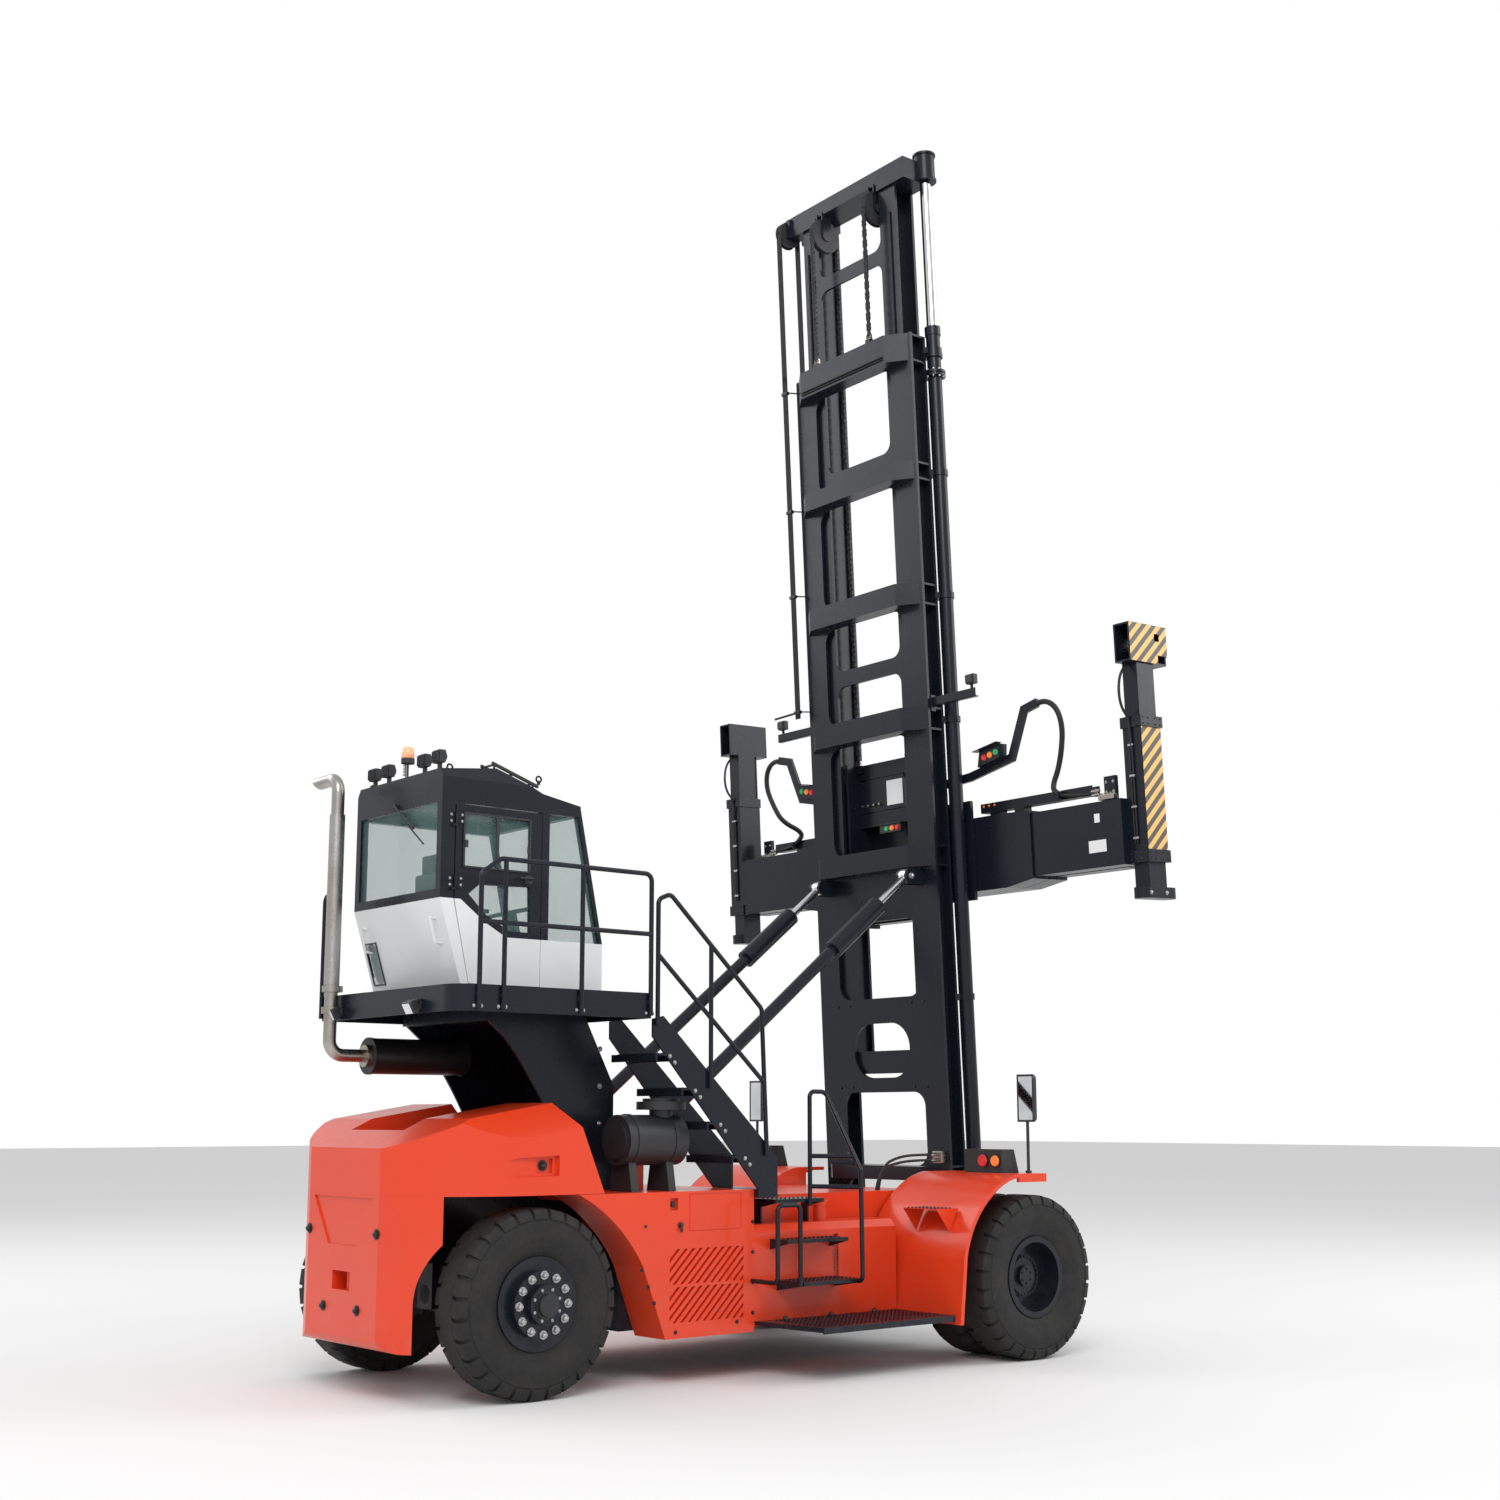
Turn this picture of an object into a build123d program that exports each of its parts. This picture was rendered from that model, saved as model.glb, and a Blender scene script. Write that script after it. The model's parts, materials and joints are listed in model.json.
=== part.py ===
from build123d import *
import math
import os

# Empty container handler. Millimetres, +X forward, +Y left, +Z up.
# Shapes are laid out from the steering axle (x = 0), the centre line and the ground,
# and are moved to the middle of the machine's length when they are written.

# Running gear
WHEELBASE = 4650.0
TYRE_RADIUS = 700.0
TYRE_WIDTH = 380.0
RIM_RADIUS = 345.0
BEAD_RADIUS = 322.0
WELL_RADIUS = 295.0
REAR_WHEEL_Y = 1090.0
FRONT_WHEEL_Y = 1640.0
DUAL_PITCH = 430.0
KINGPIN_Y = 880.0
SWING_RADIUS = 832.0

# Clearances
FIT = 0.3
PIN_FIT = 0.05
RUN_GAP = 10.0
OVERRUN = 20.0

# Chassis
REAR_OVERHANG = 970.0
SILL_Z = 360.0
BODY_Y = 1280.0
SPLIT_Z = 1492.0
CW_FRONT = -690.0
SPINE_Y = 320.0
SPINE_LOW = 960.0
FRAME_Y = 880.0
FRAME_REAR = 1000.0
FRAME_TOP = 1150.0
FRAME_LOW = 400.0
ENGINE_FRONT = 2060.0
TANK_TOP = 1200.0
FENDER_REAR = WHEELBASE - 985.0
FENDER_TOP = 1585.0
FENDER_Y = 2040.0
FENDER_IN_Y = FRAME_Y + FIT
HULL_TOP = 1420.0
HULL_Y = 850.0
HULL_FRONT = WHEELBASE - 110.0

# Mast, laid out upright from the drive axle and leaned back about its pivot
MAST_PIVOT_X = 350.0
MAST_PIVOT_Z = 620.0
MAST_LEAN = 2.66
OUTER_FOOT = 880.0
OUTER_REAR = 200.0
OUTER_FRONT = 430.0
FLANGE = 30.0
OUTER_IN_Y = 560.0
OUTER_OUT_Y = 850.0
WEB_IN_Y = 700.0
CROSS_REAR = 50.0
LIFT_X = 520.0
LIFT_Y = 855.0
LIFT_TUBE_R = 70.0
LIFT_ROD_R = 56.0
INNER_FOOT = 2500.0
INNER_TOP = 11590.0
OUTER_TOP = INNER_TOP - 1840.0
INNER_REAR = 243.0
INNER_FRONT = 545.0
INNER_IN_Y = 460.0
INNER_RAIL_Y = 690.0
INNER_WEB_Y = 505.0
INNER_OUT_Y = 650.0
CHAIN_Y = 390.0
SHEAVE_R = 172.0
SHEAVE_X = 262.0
SHEAVE_Z = INNER_TOP - 370.0

# Tilt cylinders
TILT_Y = 620.0
TILT_EYE_X = 30.0
TILT_EYE_Z = 4360.0
TILT_BASE_X = 1300.0
TILT_BASE_Z = 1790.0

# Carriage and spreader
CARRIAGE_LOW = 3950.0
CARRIAGE_TOP = 5600.0
CARRIAGE_Y = 440.0
PLATE_REAR = 610.0
PLATE_FRONT = 650.0
PLATE_Y = 950.0
SLEEVE_REAR = 660.0
SLEEVE_DEPTH = 240.0
SLEEVE_PITCH = 250.0
SLEEVE_Y = 1650.0
SLEEVE_LOW = 4260.0
SLEEVE_HIGH = 4900.0
SLEEVE_WALL = 14.0
BEAM_CLEAR = 8.0
BEAM_Y = 2620.0
BEAM_TAIL_Y = 2540.0
LEG_OUT_Y = 2915.0
LEG_WIDTH = 205.0
LEG_REAR = 770.0
LEG_DEPTH = 280.0
LEG_LOW = 4290.0
LEG_HIGH = 5610.0
LEG_WALL = 14.0
LEG_HEAD_LOW = 6100.0
LEG_HEAD_HIGH = 6455.0
FOOT_LOW = 3970.0
FOOT_HIGH = 4070.0
FOOT_FRONT = 1200.0

# Cab and its platform
CAB_Y = 690.0
CAB_REAR = -600.0
CAB_REAR_FOOT = -400.0
CAB_FRONT = 930.0
CAB_FLOOR = 3090.0
WAIST_REAR = 3745.0
WAIST_FRONT = 3470.0
EAVE_Z = 4570.0
EAVE_FRONT_X = 700.0
ROOF_REAR_Z = 4765.0
CAB_WALL = 40.0
GLASS = 8.0
POST = 70.0
DOOR_REAR = -480.0
DOOR_REAR_FOOT = -330.0
DOOR_FRONT = 330.0
PLATFORM_TOP = 3040.0
PLATFORM_LOW = 2840.0
PLATFORM_REAR = -820.0
PLATFORM_FRONT = 960.0
PLATFORM_RIGHT = -1330.0
PLATFORM_LEFT = 760.0
TOWER_Y = 650.0
TOWER_PLATE = 25.0
RAIL_R = 19.0


def leaned(x, z):
    """Where a point of the upright mast lies once the mast leans back."""
    turn = math.radians(MAST_LEAN)
    dx = x - MAST_PIVOT_X
    dz = z - MAST_PIVOT_Z
    return (
        WHEELBASE + MAST_PIVOT_X + dx * math.cos(turn) - dz * math.sin(turn),
        MAST_PIVOT_Z + dx * math.sin(turn) + dz * math.cos(turn),
    )


ORIGIN_X = (leaned(FOOT_FRONT, FOOT_LOW)[0] - REAR_OVERHANG) / 2


def lean(shape):
    """Set a piece of the upright mast over the drive axle and lean it back about the mast pivot."""
    axis = Axis((WHEELBASE + MAST_PIVOT_X, 0, MAST_PIVOT_Z), (0, 1, 0))
    return (Pos(WHEELBASE, 0, 0) * shape).rotate(axis, -MAST_LEAN)


def block(x, y, z):
    """Box between three pairs of coordinates."""
    centre = [(low + high) / 2 for low, high in (x, y, z)]
    sides = [abs(high - low) for low, high in (x, y, z)]
    return Pos(*centre) * Box(*sides)


def side_plate(points, y_low, y_high):
    """Prism along Y from an outline of (x, z) points."""
    face = make_face(Polyline([(px, y_low, pz) for px, pz in points], close=True))
    return extrude(face, amount=y_high - y_low, dir=(0, 1, 0))


def plan_plate(points, z_low, z_high):
    """Prism along Z from an outline of (x, y) points."""
    face = make_face(Polyline([(px, py, z_low) for px, py in points], close=True))
    return extrude(face, amount=z_high - z_low, dir=(0, 0, 1))


def cross_plate(points, x_low, x_high):
    """Prism along X from an outline of (y, z) points."""
    face = make_face(Polyline([(x_low, py, pz) for py, pz in points], close=True))
    return extrude(face, amount=x_high - x_low, dir=(1, 0, 0))


def rounded_hole(x_low, x_high, half, z_low, z_high, radius):
    """Prism along X with rounded corners, for a window between two x values."""
    plane = Plane(origin=(x_low, 0, (z_low + z_high) / 2), x_dir=(0, 1, 0), z_dir=(1, 0, 0))
    return extrude(plane * RectangleRounded(half * 2, z_high - z_low, radius), amount=x_high - x_low)


def bar(start, end, radius):
    """Round bar from one point to another."""
    start = Vector(*start)
    end = Vector(*end)
    plane = Plane(origin=start, z_dir=end - start)
    return Solid.make_cylinder(radius, (end - start).length, plane)


def pin_y(x, z, y_low, y_high, radius):
    """Round bar along Y."""
    return bar((x, y_low, z), (x, y_high, z), radius)


def bent_bar(points, radius, bends):
    """Round bar along straight runs joined by arcs."""
    path = FilletPolyline(*points, radius=bends)
    plane = Plane(origin=path @ 0, z_dir=path % 0)
    return sweep(plane * Circle(radius), path=path)


def fuse(parts):
    """One shape from a list of solids."""
    whole = parts[0]
    for part in parts[1:]:
        whole = whole + part
    return whole


def mirrored(shape):
    """Mirror image across the centre line."""
    return shape.mirror(Plane.XZ)


def both_sides(shape):
    """The shape and its mirror image across the centre line."""
    return [shape, mirrored(shape)]


def save(name, shapes):
    """Write a node's solids, moved to the machine's own origin."""
    listed = shapes if isinstance(shapes, list) else [shapes]
    moved = [Pos(-ORIGIN_X, 0, 0) * solid for shape in listed for solid in shape.solids()]
    node = Compound(children=moved) if len(moved) > 1 else moved[0]
    export_step(node, os.path.join("parts", name + ".step"))


# Wheels and tyres, about an axis through the origin, outer side towards +Y

RIM_LIP = 18.0
SHOULDER_DROP = 55.0
SHOULDER_IN = 12.0
BULGE_SHARE = 0.5
REAR_DISC_OUT = 70.0
FRONT_DISC_IN = 165.0
DISC = 24.0
HUB_R = 180.0
BOLT_CIRCLE_R = 215.0
BOLT_R = 17.0
BOLT_OUT = 34.0
REAR_BOLT_COUNT = 12
FRONT_BOLT_COUNT = 24
STUB_R = 90.0


def tyre(y):
    """One tyre centred on the given y."""
    half = TYRE_WIDTH / 2
    bead_y = half - SHOULDER_DROP
    bulge_r = BEAD_RADIUS + (TYRE_RADIUS - BEAD_RADIUS) * BULGE_SHARE
    low_r = TYRE_RADIUS - SHOULDER_DROP
    lip_r = RIM_RADIUS + FIT
    edges = [
        Line((-bead_y, TYRE_RADIUS), (bead_y, TYRE_RADIUS)),
        ThreePointArc((bead_y, TYRE_RADIUS), (half - SHOULDER_IN, low_r), (half, bulge_r)),
        Line((half, bulge_r), (bead_y, lip_r)),
        Line((bead_y, lip_r), (bead_y, BEAD_RADIUS)),
        Line((bead_y, BEAD_RADIUS), (-bead_y, BEAD_RADIUS)),
        Line((-bead_y, BEAD_RADIUS), (-bead_y, lip_r)),
        Line((-bead_y, lip_r), (-half, bulge_r)),
        ThreePointArc((-half, bulge_r), (-half + SHOULDER_IN, low_r), (-bead_y, TYRE_RADIUS)),
    ]
    return Pos(0, y, 0) * revolve(Plane.YZ * make_face(edges), Axis.Y)


def rim(y):
    """Rim of one tyre: a drum with a lip at each side."""
    half = TYRE_WIDTH / 2 - SHOULDER_DROP
    drum = pin_y(0, 0, y - half - RIM_LIP, y + half + RIM_LIP, BEAD_RADIUS - FIT)
    lips = [pin_y(0, 0, y + side * (half + RIM_LIP), y + side * (half + FIT), RIM_RADIUS) for side in (-1, 1)]
    hollow = pin_y(0, 0, y - half - RIM_LIP - OVERRUN, y + half + RIM_LIP + OVERRUN, WELL_RADIUS)
    return fuse([drum] + lips) - hollow


def bolt_ring(y_low, y_high, circle_r, bolt_r, count):
    """Ring of bolt heads between two y values."""
    heads = []
    for index in range(count):
        angle = math.radians(360 * index / count)
        x = circle_r * math.cos(angle)
        z = circle_r * math.sin(angle)
        heads.append(pin_y(x, z, y_low, y_high, bolt_r))
    return heads


def rear_wheel():
    """Steered wheel: rim, disc bulging outwards, bolts and hub cap."""
    face = TYRE_WIDTH / 2 - SHOULDER_DROP + RIM_LIP
    disc_y = face + REAR_DISC_OUT
    disc_r = BOLT_CIRCLE_R + BOLT_OUT
    disc = pin_y(0, 0, disc_y - DISC, disc_y, disc_r)
    skirt = pin_y(0, 0, face - DISC, disc_y, disc_r) - pin_y(0, 0, 0, disc_y + DISC, disc_r - DISC)
    web = pin_y(0, 0, face - DISC, face, WELL_RADIUS + FIT) - pin_y(0, 0, 0, disc_y, disc_r - DISC)
    cap = pin_y(0, 0, disc_y - DISC, disc_y + BOLT_OUT + DISC, HUB_R - BOLT_OUT)
    drum = pin_y(0, 0, STUB_SEAT_Y, disc_y, HUB_R - BOLT_OUT)
    bolts = bolt_ring(disc_y - DISC, disc_y + BOLT_OUT, BOLT_CIRCLE_R, BOLT_R, REAR_BOLT_COUNT)
    return fuse([rim(0), disc, skirt, web, cap, drum] + bolts)


def front_wheels():
    """Driven twin wheels, about the middle of the pair: two rims, deep disc and hub."""
    half_pitch = DUAL_PITCH / 2
    half = TYRE_WIDTH / 2 - SHOULDER_DROP + RIM_LIP
    disc_y = half_pitch + half - FRONT_DISC_IN
    spacer = pin_y(0, 0, half - half_pitch - FIT, half_pitch - half + FIT, BEAD_RADIUS - FIT)
    spacer -= pin_y(0, 0, -half_pitch, half_pitch, WELL_RADIUS)
    disc = pin_y(0, 0, disc_y - DISC, disc_y, WELL_RADIUS + FIT)
    hub = pin_y(0, 0, AXLE_END - FRONT_WHEEL_Y + FIT, disc_y + DISC, HUB_R)
    cap = pin_y(0, 0, disc_y, disc_y + BOLT_OUT + DISC, HUB_R / 2)
    bolts = bolt_ring(disc_y, disc_y + DISC + BOLT_R, HUB_R - BOLT_R, BOLT_R / 2, FRONT_BOLT_COUNT)
    return fuse([rim(-half_pitch), rim(half_pitch), spacer, disc, hub, cap] + bolts)


# Axles and knuckles

AXLE_R = 170.0
AXLE_END = 1190.0
BRAKE_R = 240.0
BRAKE_LONG = 160.0
DIFF_R = 290.0
DIFF_Y = 230.0
STEER_BEAM_X = 130.0
STEER_BEAM_LOW = 560.0
STEER_BEAM_HIGH = 850.0
STEER_BEAM_Y = 620.0
YOKE_Z = 165.0
YOKE = 50.0
KNUCKLE_R = 75.0
KNUCKLE_GAP = FIT
STUB_SEAT_Y = -60.0
STEER_ARM = 230.0
PIVOT_OUT = 110.0


def drive_axle():
    """Rigid drive axle with differential and brake drums."""
    x = WHEELBASE
    z = TYRE_RADIUS
    tube = pin_y(x, z, -AXLE_END, AXLE_END, AXLE_R)
    casing = Pos(x, 0, z) * Sphere(DIFF_R)
    casing &= block((x - DIFF_R, x + AXLE_R), (-DIFF_Y, DIFF_Y), (z - DIFF_R, z + DIFF_R))
    nose = bar((x - DIFF_R - YOKE, 0, z), (x, 0, z), AXLE_R / 2)
    drums = both_sides(pin_y(x, z, AXLE_END - BRAKE_LONG, AXLE_END, BRAKE_R))
    return fuse([tube, casing, nose] + drums)


def steer_axle():
    """Steering axle beam with a kingpin yoke at each end and a pivot shaft."""
    z = TYRE_RADIUS
    top = YOKE_Z + YOKE
    beam = block((-STEER_BEAM_X, STEER_BEAM_X), (-STEER_BEAM_Y, STEER_BEAM_Y),
        (STEER_BEAM_LOW, STEER_BEAM_HIGH))
    parts = [beam, bar((-STEER_BEAM_X - PIVOT_OUT, 0, z), (STEER_BEAM_X + PIVOT_OUT, 0, z), KNUCKLE_R)]
    for low in (z - top, z + YOKE_Z):
        arm = block((-KNUCKLE_R, KNUCKLE_R), (STEER_BEAM_Y - YOKE, KINGPIN_Y), (low, low + YOKE))
        eye = bar((0, KINGPIN_Y, low), (0, KINGPIN_Y, low + YOKE), KNUCKLE_R)
        parts += both_sides(arm) + both_sides(eye)
    cheek = block((-KNUCKLE_R, KNUCKLE_R), (STEER_BEAM_Y - YOKE, STEER_BEAM_Y + YOKE), (z - top, z + top))
    return fuse(parts + both_sides(cheek))


def knuckle():
    """Left steering knuckle: kingpin barrel, stub axle and steering arm."""
    z = TYRE_RADIUS
    reach = YOKE_Z - KNUCKLE_GAP
    barrel = bar((0, KINGPIN_Y, z - reach), (0, KINGPIN_Y, z + reach), KNUCKLE_R)
    stub = pin_y(0, z, KINGPIN_Y, REAR_WHEEL_Y + STUB_SEAT_Y - FIT, STUB_R)
    arm = block((-STEER_ARM, 0), (KINGPIN_Y - KNUCKLE_R, KINGPIN_Y - KNUCKLE_R + YOKE), (z - YOKE, z))
    return fuse([barrel, stub, arm])


# Frame

EAR_ROWS = ((570.0, 645.0), (775.0, 850.0))
EAR_REAR = WHEELBASE - 450.0
EAR_STEP_X = WHEELBASE + 95.0
EAR_NOSE_X = WHEELBASE + 420.0
EAR_LOW = 500.0
EAR_HIGH = 740.0
PIVOT_R = 45.0
MOUNT_LONG = 60.0
MOUNT_Y = 110.0


def frame():
    """Rear spine over the steering axle, wide middle box and ears for the mast."""
    parts = [
        block((CW_FRONT + FIT, FRAME_REAR + OVERRUN), (-SPINE_Y, SPINE_Y), (SPINE_LOW, SPLIT_Z - FIT)),
        block((FRAME_REAR, EAR_REAR + OVERRUN), (-FRAME_Y, FRAME_Y), (FRAME_LOW, FRAME_TOP)),
    ]
    mount_x = STEER_BEAM_X + PIVOT_OUT
    for side in (-1, 1):
        ends = sorted((side * (mount_x - MOUNT_LONG), side * mount_x))
        mount = block(ends, (-MOUNT_Y, MOUNT_Y), (TYRE_RADIUS - MOUNT_Y, SPINE_LOW))
        reach = mount_x + OVERRUN
        parts.append(mount - bar((-reach, 0, TYRE_RADIUS), (reach, 0, TYRE_RADIUS), KNUCKLE_R + FIT))
    outline = [
        (EAR_REAR, FRAME_LOW), (WHEELBASE, FRAME_LOW), (EAR_NOSE_X - EAR_LOW / 2, EAR_LOW), (EAR_NOSE_X,
            EAR_LOW),
        (EAR_NOSE_X, EAR_HIGH), (EAR_STEP_X, EAR_HIGH + MOUNT_LONG), (EAR_STEP_X, FRAME_TOP), (EAR_REAR,
            FRAME_TOP),
    ]
    hole = pin_y(WHEELBASE, TYRE_RADIUS, -AXLE_END, AXLE_END, AXLE_R + FIT)
    for y_low, y_high in EAR_ROWS:
        parts += both_sides(side_plate(outline, y_low, y_high) - hole)
    pin = pin_y(WHEELBASE + MAST_PIVOT_X, MAST_PIVOT_Z, EAR_ROWS[0][0], EAR_ROWS[1][1], PIVOT_R)
    return fuse(parts + both_sides(pin)) - engine_bay()


# Counterweight

CW_BACK_Y = 560.0
CW_CORNER = (-700.0, 1010.0)
CW_SIDE_X = -60.0
HOOD_REAR_Z = 1840.0
HOOD_CREASE = (-520.0, 2060.0)
HOOD_CREST = (210.0, 2180.0)
HOOD_BROW = (350.0, 2010.0)
HOOD_FOOT_X = 570.0
HOOD_SIDE_REAR_Z = 1790.0
HOOD_SIDE_FRONT_Z = 2020.0
HOOD_SHOULDER_Y = 930.0
DISH_Y = 420.0
DISH_DEEP = 70.0
DISH_REAR = -700.0
TOW_Y = 140.0
TOW_Z = (775.0, 915.0)
TOW_DEEP = 150.0
TOW_PIN_R = 20.0
PANEL_Z = (1110.0, 1470.0)
PANEL_LOW_Y = 230.0
PANEL_HIGH_Y = 480.0
PANEL_DEEP = 14.0
SIDE_POCKET = (
    (-350.0, 1680.0), (-300.0, 1740.0), (-210.0, 1770.0), (150.0, 1785.0), (150.0, 1635.0), (-210.0,
        1625.0), (-300.0, 1640.0),
)
SIDE_POCKET_DEEP = 36.0
SIDE_SEAT_X = (-40.0, 110.0)
SIDE_SEAT_Z = (1655.0, 1765.0)
SIDE_SEAT_DEEP = 62.0
CW_FOOT_ROUND = 90.0


def counterweight_plan(front, z_low, z_high):
    """Prism of the counterweight's rounded plan."""
    edges = [
        Line((-REAR_OVERHANG, -CW_BACK_Y), (-REAR_OVERHANG, CW_BACK_Y)),
        ThreePointArc((-REAR_OVERHANG, CW_BACK_Y), CW_CORNER, (CW_SIDE_X, BODY_Y)),
        Line((CW_SIDE_X, BODY_Y), (HOOD_FOOT_X, BODY_Y)),
        Line((HOOD_FOOT_X, BODY_Y), (HOOD_FOOT_X, -BODY_Y)),
        Line((HOOD_FOOT_X, -BODY_Y), (CW_SIDE_X, -BODY_Y)),
        ThreePointArc((CW_SIDE_X, -BODY_Y), (CW_CORNER[0], -CW_CORNER[1]), (-REAR_OVERHANG, -CW_BACK_Y)),
    ]
    body = extrude(Pos(0, 0, z_low) * make_face(edges), amount=z_high - z_low, dir=(0, 0, 1))
    return body & block((-REAR_OVERHANG - OVERRUN, front), (-BODY_Y, BODY_Y), (z_low, z_high))


def counterweight_upper():
    """Upper counterweight: faceted hood with a dished top and side pockets."""
    body = counterweight_plan(HOOD_FOOT_X, SPLIT_Z, HOOD_CREST[1])
    profile = [
        (-REAR_OVERHANG, SPLIT_Z), (-REAR_OVERHANG, HOOD_REAR_Z), HOOD_CREASE, HOOD_CREST, HOOD_BROW,
        (HOOD_FOOT_X, SPLIT_Z),
    ]
    body &= side_plate(profile, -BODY_Y, BODY_Y)
    sections = []
    for x, side_z in ((-REAR_OVERHANG, HOOD_SIDE_REAR_Z), (HOOD_FOOT_X, HOOD_SIDE_FRONT_Z)):
        rise = HOOD_CREST[1] - side_z
        points = [(-BODY_Y, SPLIT_Z), (BODY_Y, SPLIT_Z), (BODY_Y, side_z), (BODY_Y - rise, HOOD_CREST[1]),
                  (rise - BODY_Y, HOOD_CREST[1]), (-BODY_Y, side_z)]
        sections.append(make_face(Polyline([(x, y, z) for y, z in points], close=True)))
    body &= loft(sections, ruled=True)
    dish_low = [
        (DISH_REAR, HOOD_REAR_Z), (HOOD_FOOT_X, HOOD_CREST[1] - DISH_DEEP), (HOOD_FOOT_X,
            HOOD_CREST[1] + OVERRUN),
        (DISH_REAR, HOOD_CREST[1] + OVERRUN),
    ]
    body -= side_plate(dish_low, -DISH_Y, DISH_Y)
    pocket = side_plate(SIDE_POCKET, BODY_Y - SIDE_POCKET_DEEP, BODY_Y + OVERRUN)
    pocket += block(SIDE_SEAT_X, (BODY_Y - SIDE_SEAT_DEEP, BODY_Y + OVERRUN), SIDE_SEAT_Z)
    return body - pocket - mirrored(pocket)


def swing_space(side):
    """Space that a steered wheel sweeps about its kingpin."""
    ball = Pos(0, side * KINGPIN_Y, TYRE_RADIUS) * Sphere(SWING_RADIUS)
    low = bar((0, side * KINGPIN_Y, 0), (0, side * KINGPIN_Y, TYRE_RADIUS), SWING_RADIUS)
    return ball + low


def counterweight_lower():
    """Lower counterweight between the steered wheels, with the towing pocket."""
    body = counterweight_plan(CW_FRONT, SILL_Z, SPLIT_Z - FIT)
    middle = CW_FOOT_ROUND * (1 - math.sqrt(0.5))
    profile = [
        Line((-REAR_OVERHANG, 0, SPLIT_Z), (-REAR_OVERHANG, 0, SILL_Z + CW_FOOT_ROUND)),
        ThreePointArc(
            (-REAR_OVERHANG, 0, SILL_Z + CW_FOOT_ROUND), (middle - REAR_OVERHANG, 0, SILL_Z + middle),
            (CW_FOOT_ROUND - REAR_OVERHANG, 0, SILL_Z),
        ),
        Line((CW_FOOT_ROUND - REAR_OVERHANG, 0, SILL_Z), (CW_FRONT, 0, SILL_Z)),
        Line((CW_FRONT, 0, SILL_Z), (CW_FRONT, 0, SPLIT_Z)),
        Line((CW_FRONT, 0, SPLIT_Z), (-REAR_OVERHANG, 0, SPLIT_Z)),
    ]
    body &= extrude(make_face(profile), amount=BODY_Y, dir=(0, 1, 0), both=True)
    body -= swing_space(1)
    body -= swing_space(-1)
    body -= block((-REAR_OVERHANG - OVERRUN, TOW_DEEP - REAR_OVERHANG), (-TOW_Y, TOW_Y), TOW_Z)
    panel = [(-PANEL_LOW_Y, PANEL_Z[0]), (PANEL_LOW_Y, PANEL_Z[0]), (PANEL_HIGH_Y, PANEL_Z[1]),
        (-PANEL_HIGH_Y, PANEL_Z[1])]
    body -= cross_plate(panel, -REAR_OVERHANG - OVERRUN, PANEL_DEEP - REAR_OVERHANG)
    tow_x = TOW_DEEP / 2 - REAR_OVERHANG
    parts = [body, bar((tow_x, 0, TOW_Z[0] - OVERRUN), (tow_x, 0, TOW_Z[1] + OVERRUN), TOW_PIN_R)]
    return fuse(parts)


# Side bodies, tanks and fenders

ARCH_POINTS = ((1160.0, 360.0), (940.0, 928.0), (711.0, 1224.0), (330.0, 1489.0))
ARCH_BEND = (870.0, 1060.0)
GRILLE_X = (1200.0, 1950.0)
GRILLE_Z = (480.0, 1045.0)
GRILLE_BAR = 22.0
SLOT_PITCH = 75.0
SLOT_WIDE = 32.0
SLOT_DEEP = 30.0
DOOR_SEAM_X = (1394.0, 1925.0)
DOOR_SEAM_Z = (1179.0, 1470.0)
SEAM = 6.0
SWITCH_X = (1200.0, 1280.0)
SWITCH_Z = (1345.0, 1440.0)
TANK_ROUND = 60.0
FILLER_X = 3000.0
FILLER_Y = 1040.0
FILLER_R = 62.0
FILLER_Z = 1370.0
FILLER_CAP = 40.0
GAUGE_X = (2920.0, 2990.0)
GAUGE_Z = (740.0, 1100.0)
HULL_STEP_Z = 1489.0
HULL_REAR = 590.0
HULL_SKIRT = 70.0
NOSE_DROP = 90.0
NOSE_LOW = 150.0


def grille_slots():
    """Two rows of slanted slots for the right side body."""
    rows = []
    middle = (GRILLE_Z[0] + GRILLE_Z[1]) / 2
    span_x = GRILLE_X[1] - GRILLE_X[0]
    for low, high in ((GRILLE_Z[0], middle - GRILLE_BAR / 2), (middle + GRILLE_BAR / 2, GRILLE_Z[1])):
        tall = high - low
        window = block(GRILLE_X, (-BODY_Y - OVERRUN, SLOT_DEEP - BODY_Y), (low, high))
        for index in range(int((span_x + tall) / SLOT_PITCH)):
            x = GRILLE_X[0] - tall + (index + 1) * SLOT_PITCH
            outline = [(x, low), (x + SLOT_WIDE, low), (x + SLOT_WIDE + tall, high), (x + tall, high)]
            rows.append(side_plate(outline, -BODY_Y - OVERRUN, SLOT_DEEP - BODY_Y) & window)
    return rows


def door_seam():
    """Groove around the service door of the right side body, and the recess for the switch."""
    depth = (-BODY_Y - OVERRUN, SEAM - BODY_Y)
    x, z = DOOR_SEAM_X, DOOR_SEAM_Z
    groove = block(x, depth, z) - block((x[0] + SEAM, x[1] - SEAM), depth, (z[0] + SEAM, z[1] - SEAM))
    return groove + block(SWITCH_X, (-BODY_Y - OVERRUN, SLOT_DEEP - BODY_Y), SWITCH_Z)


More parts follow.
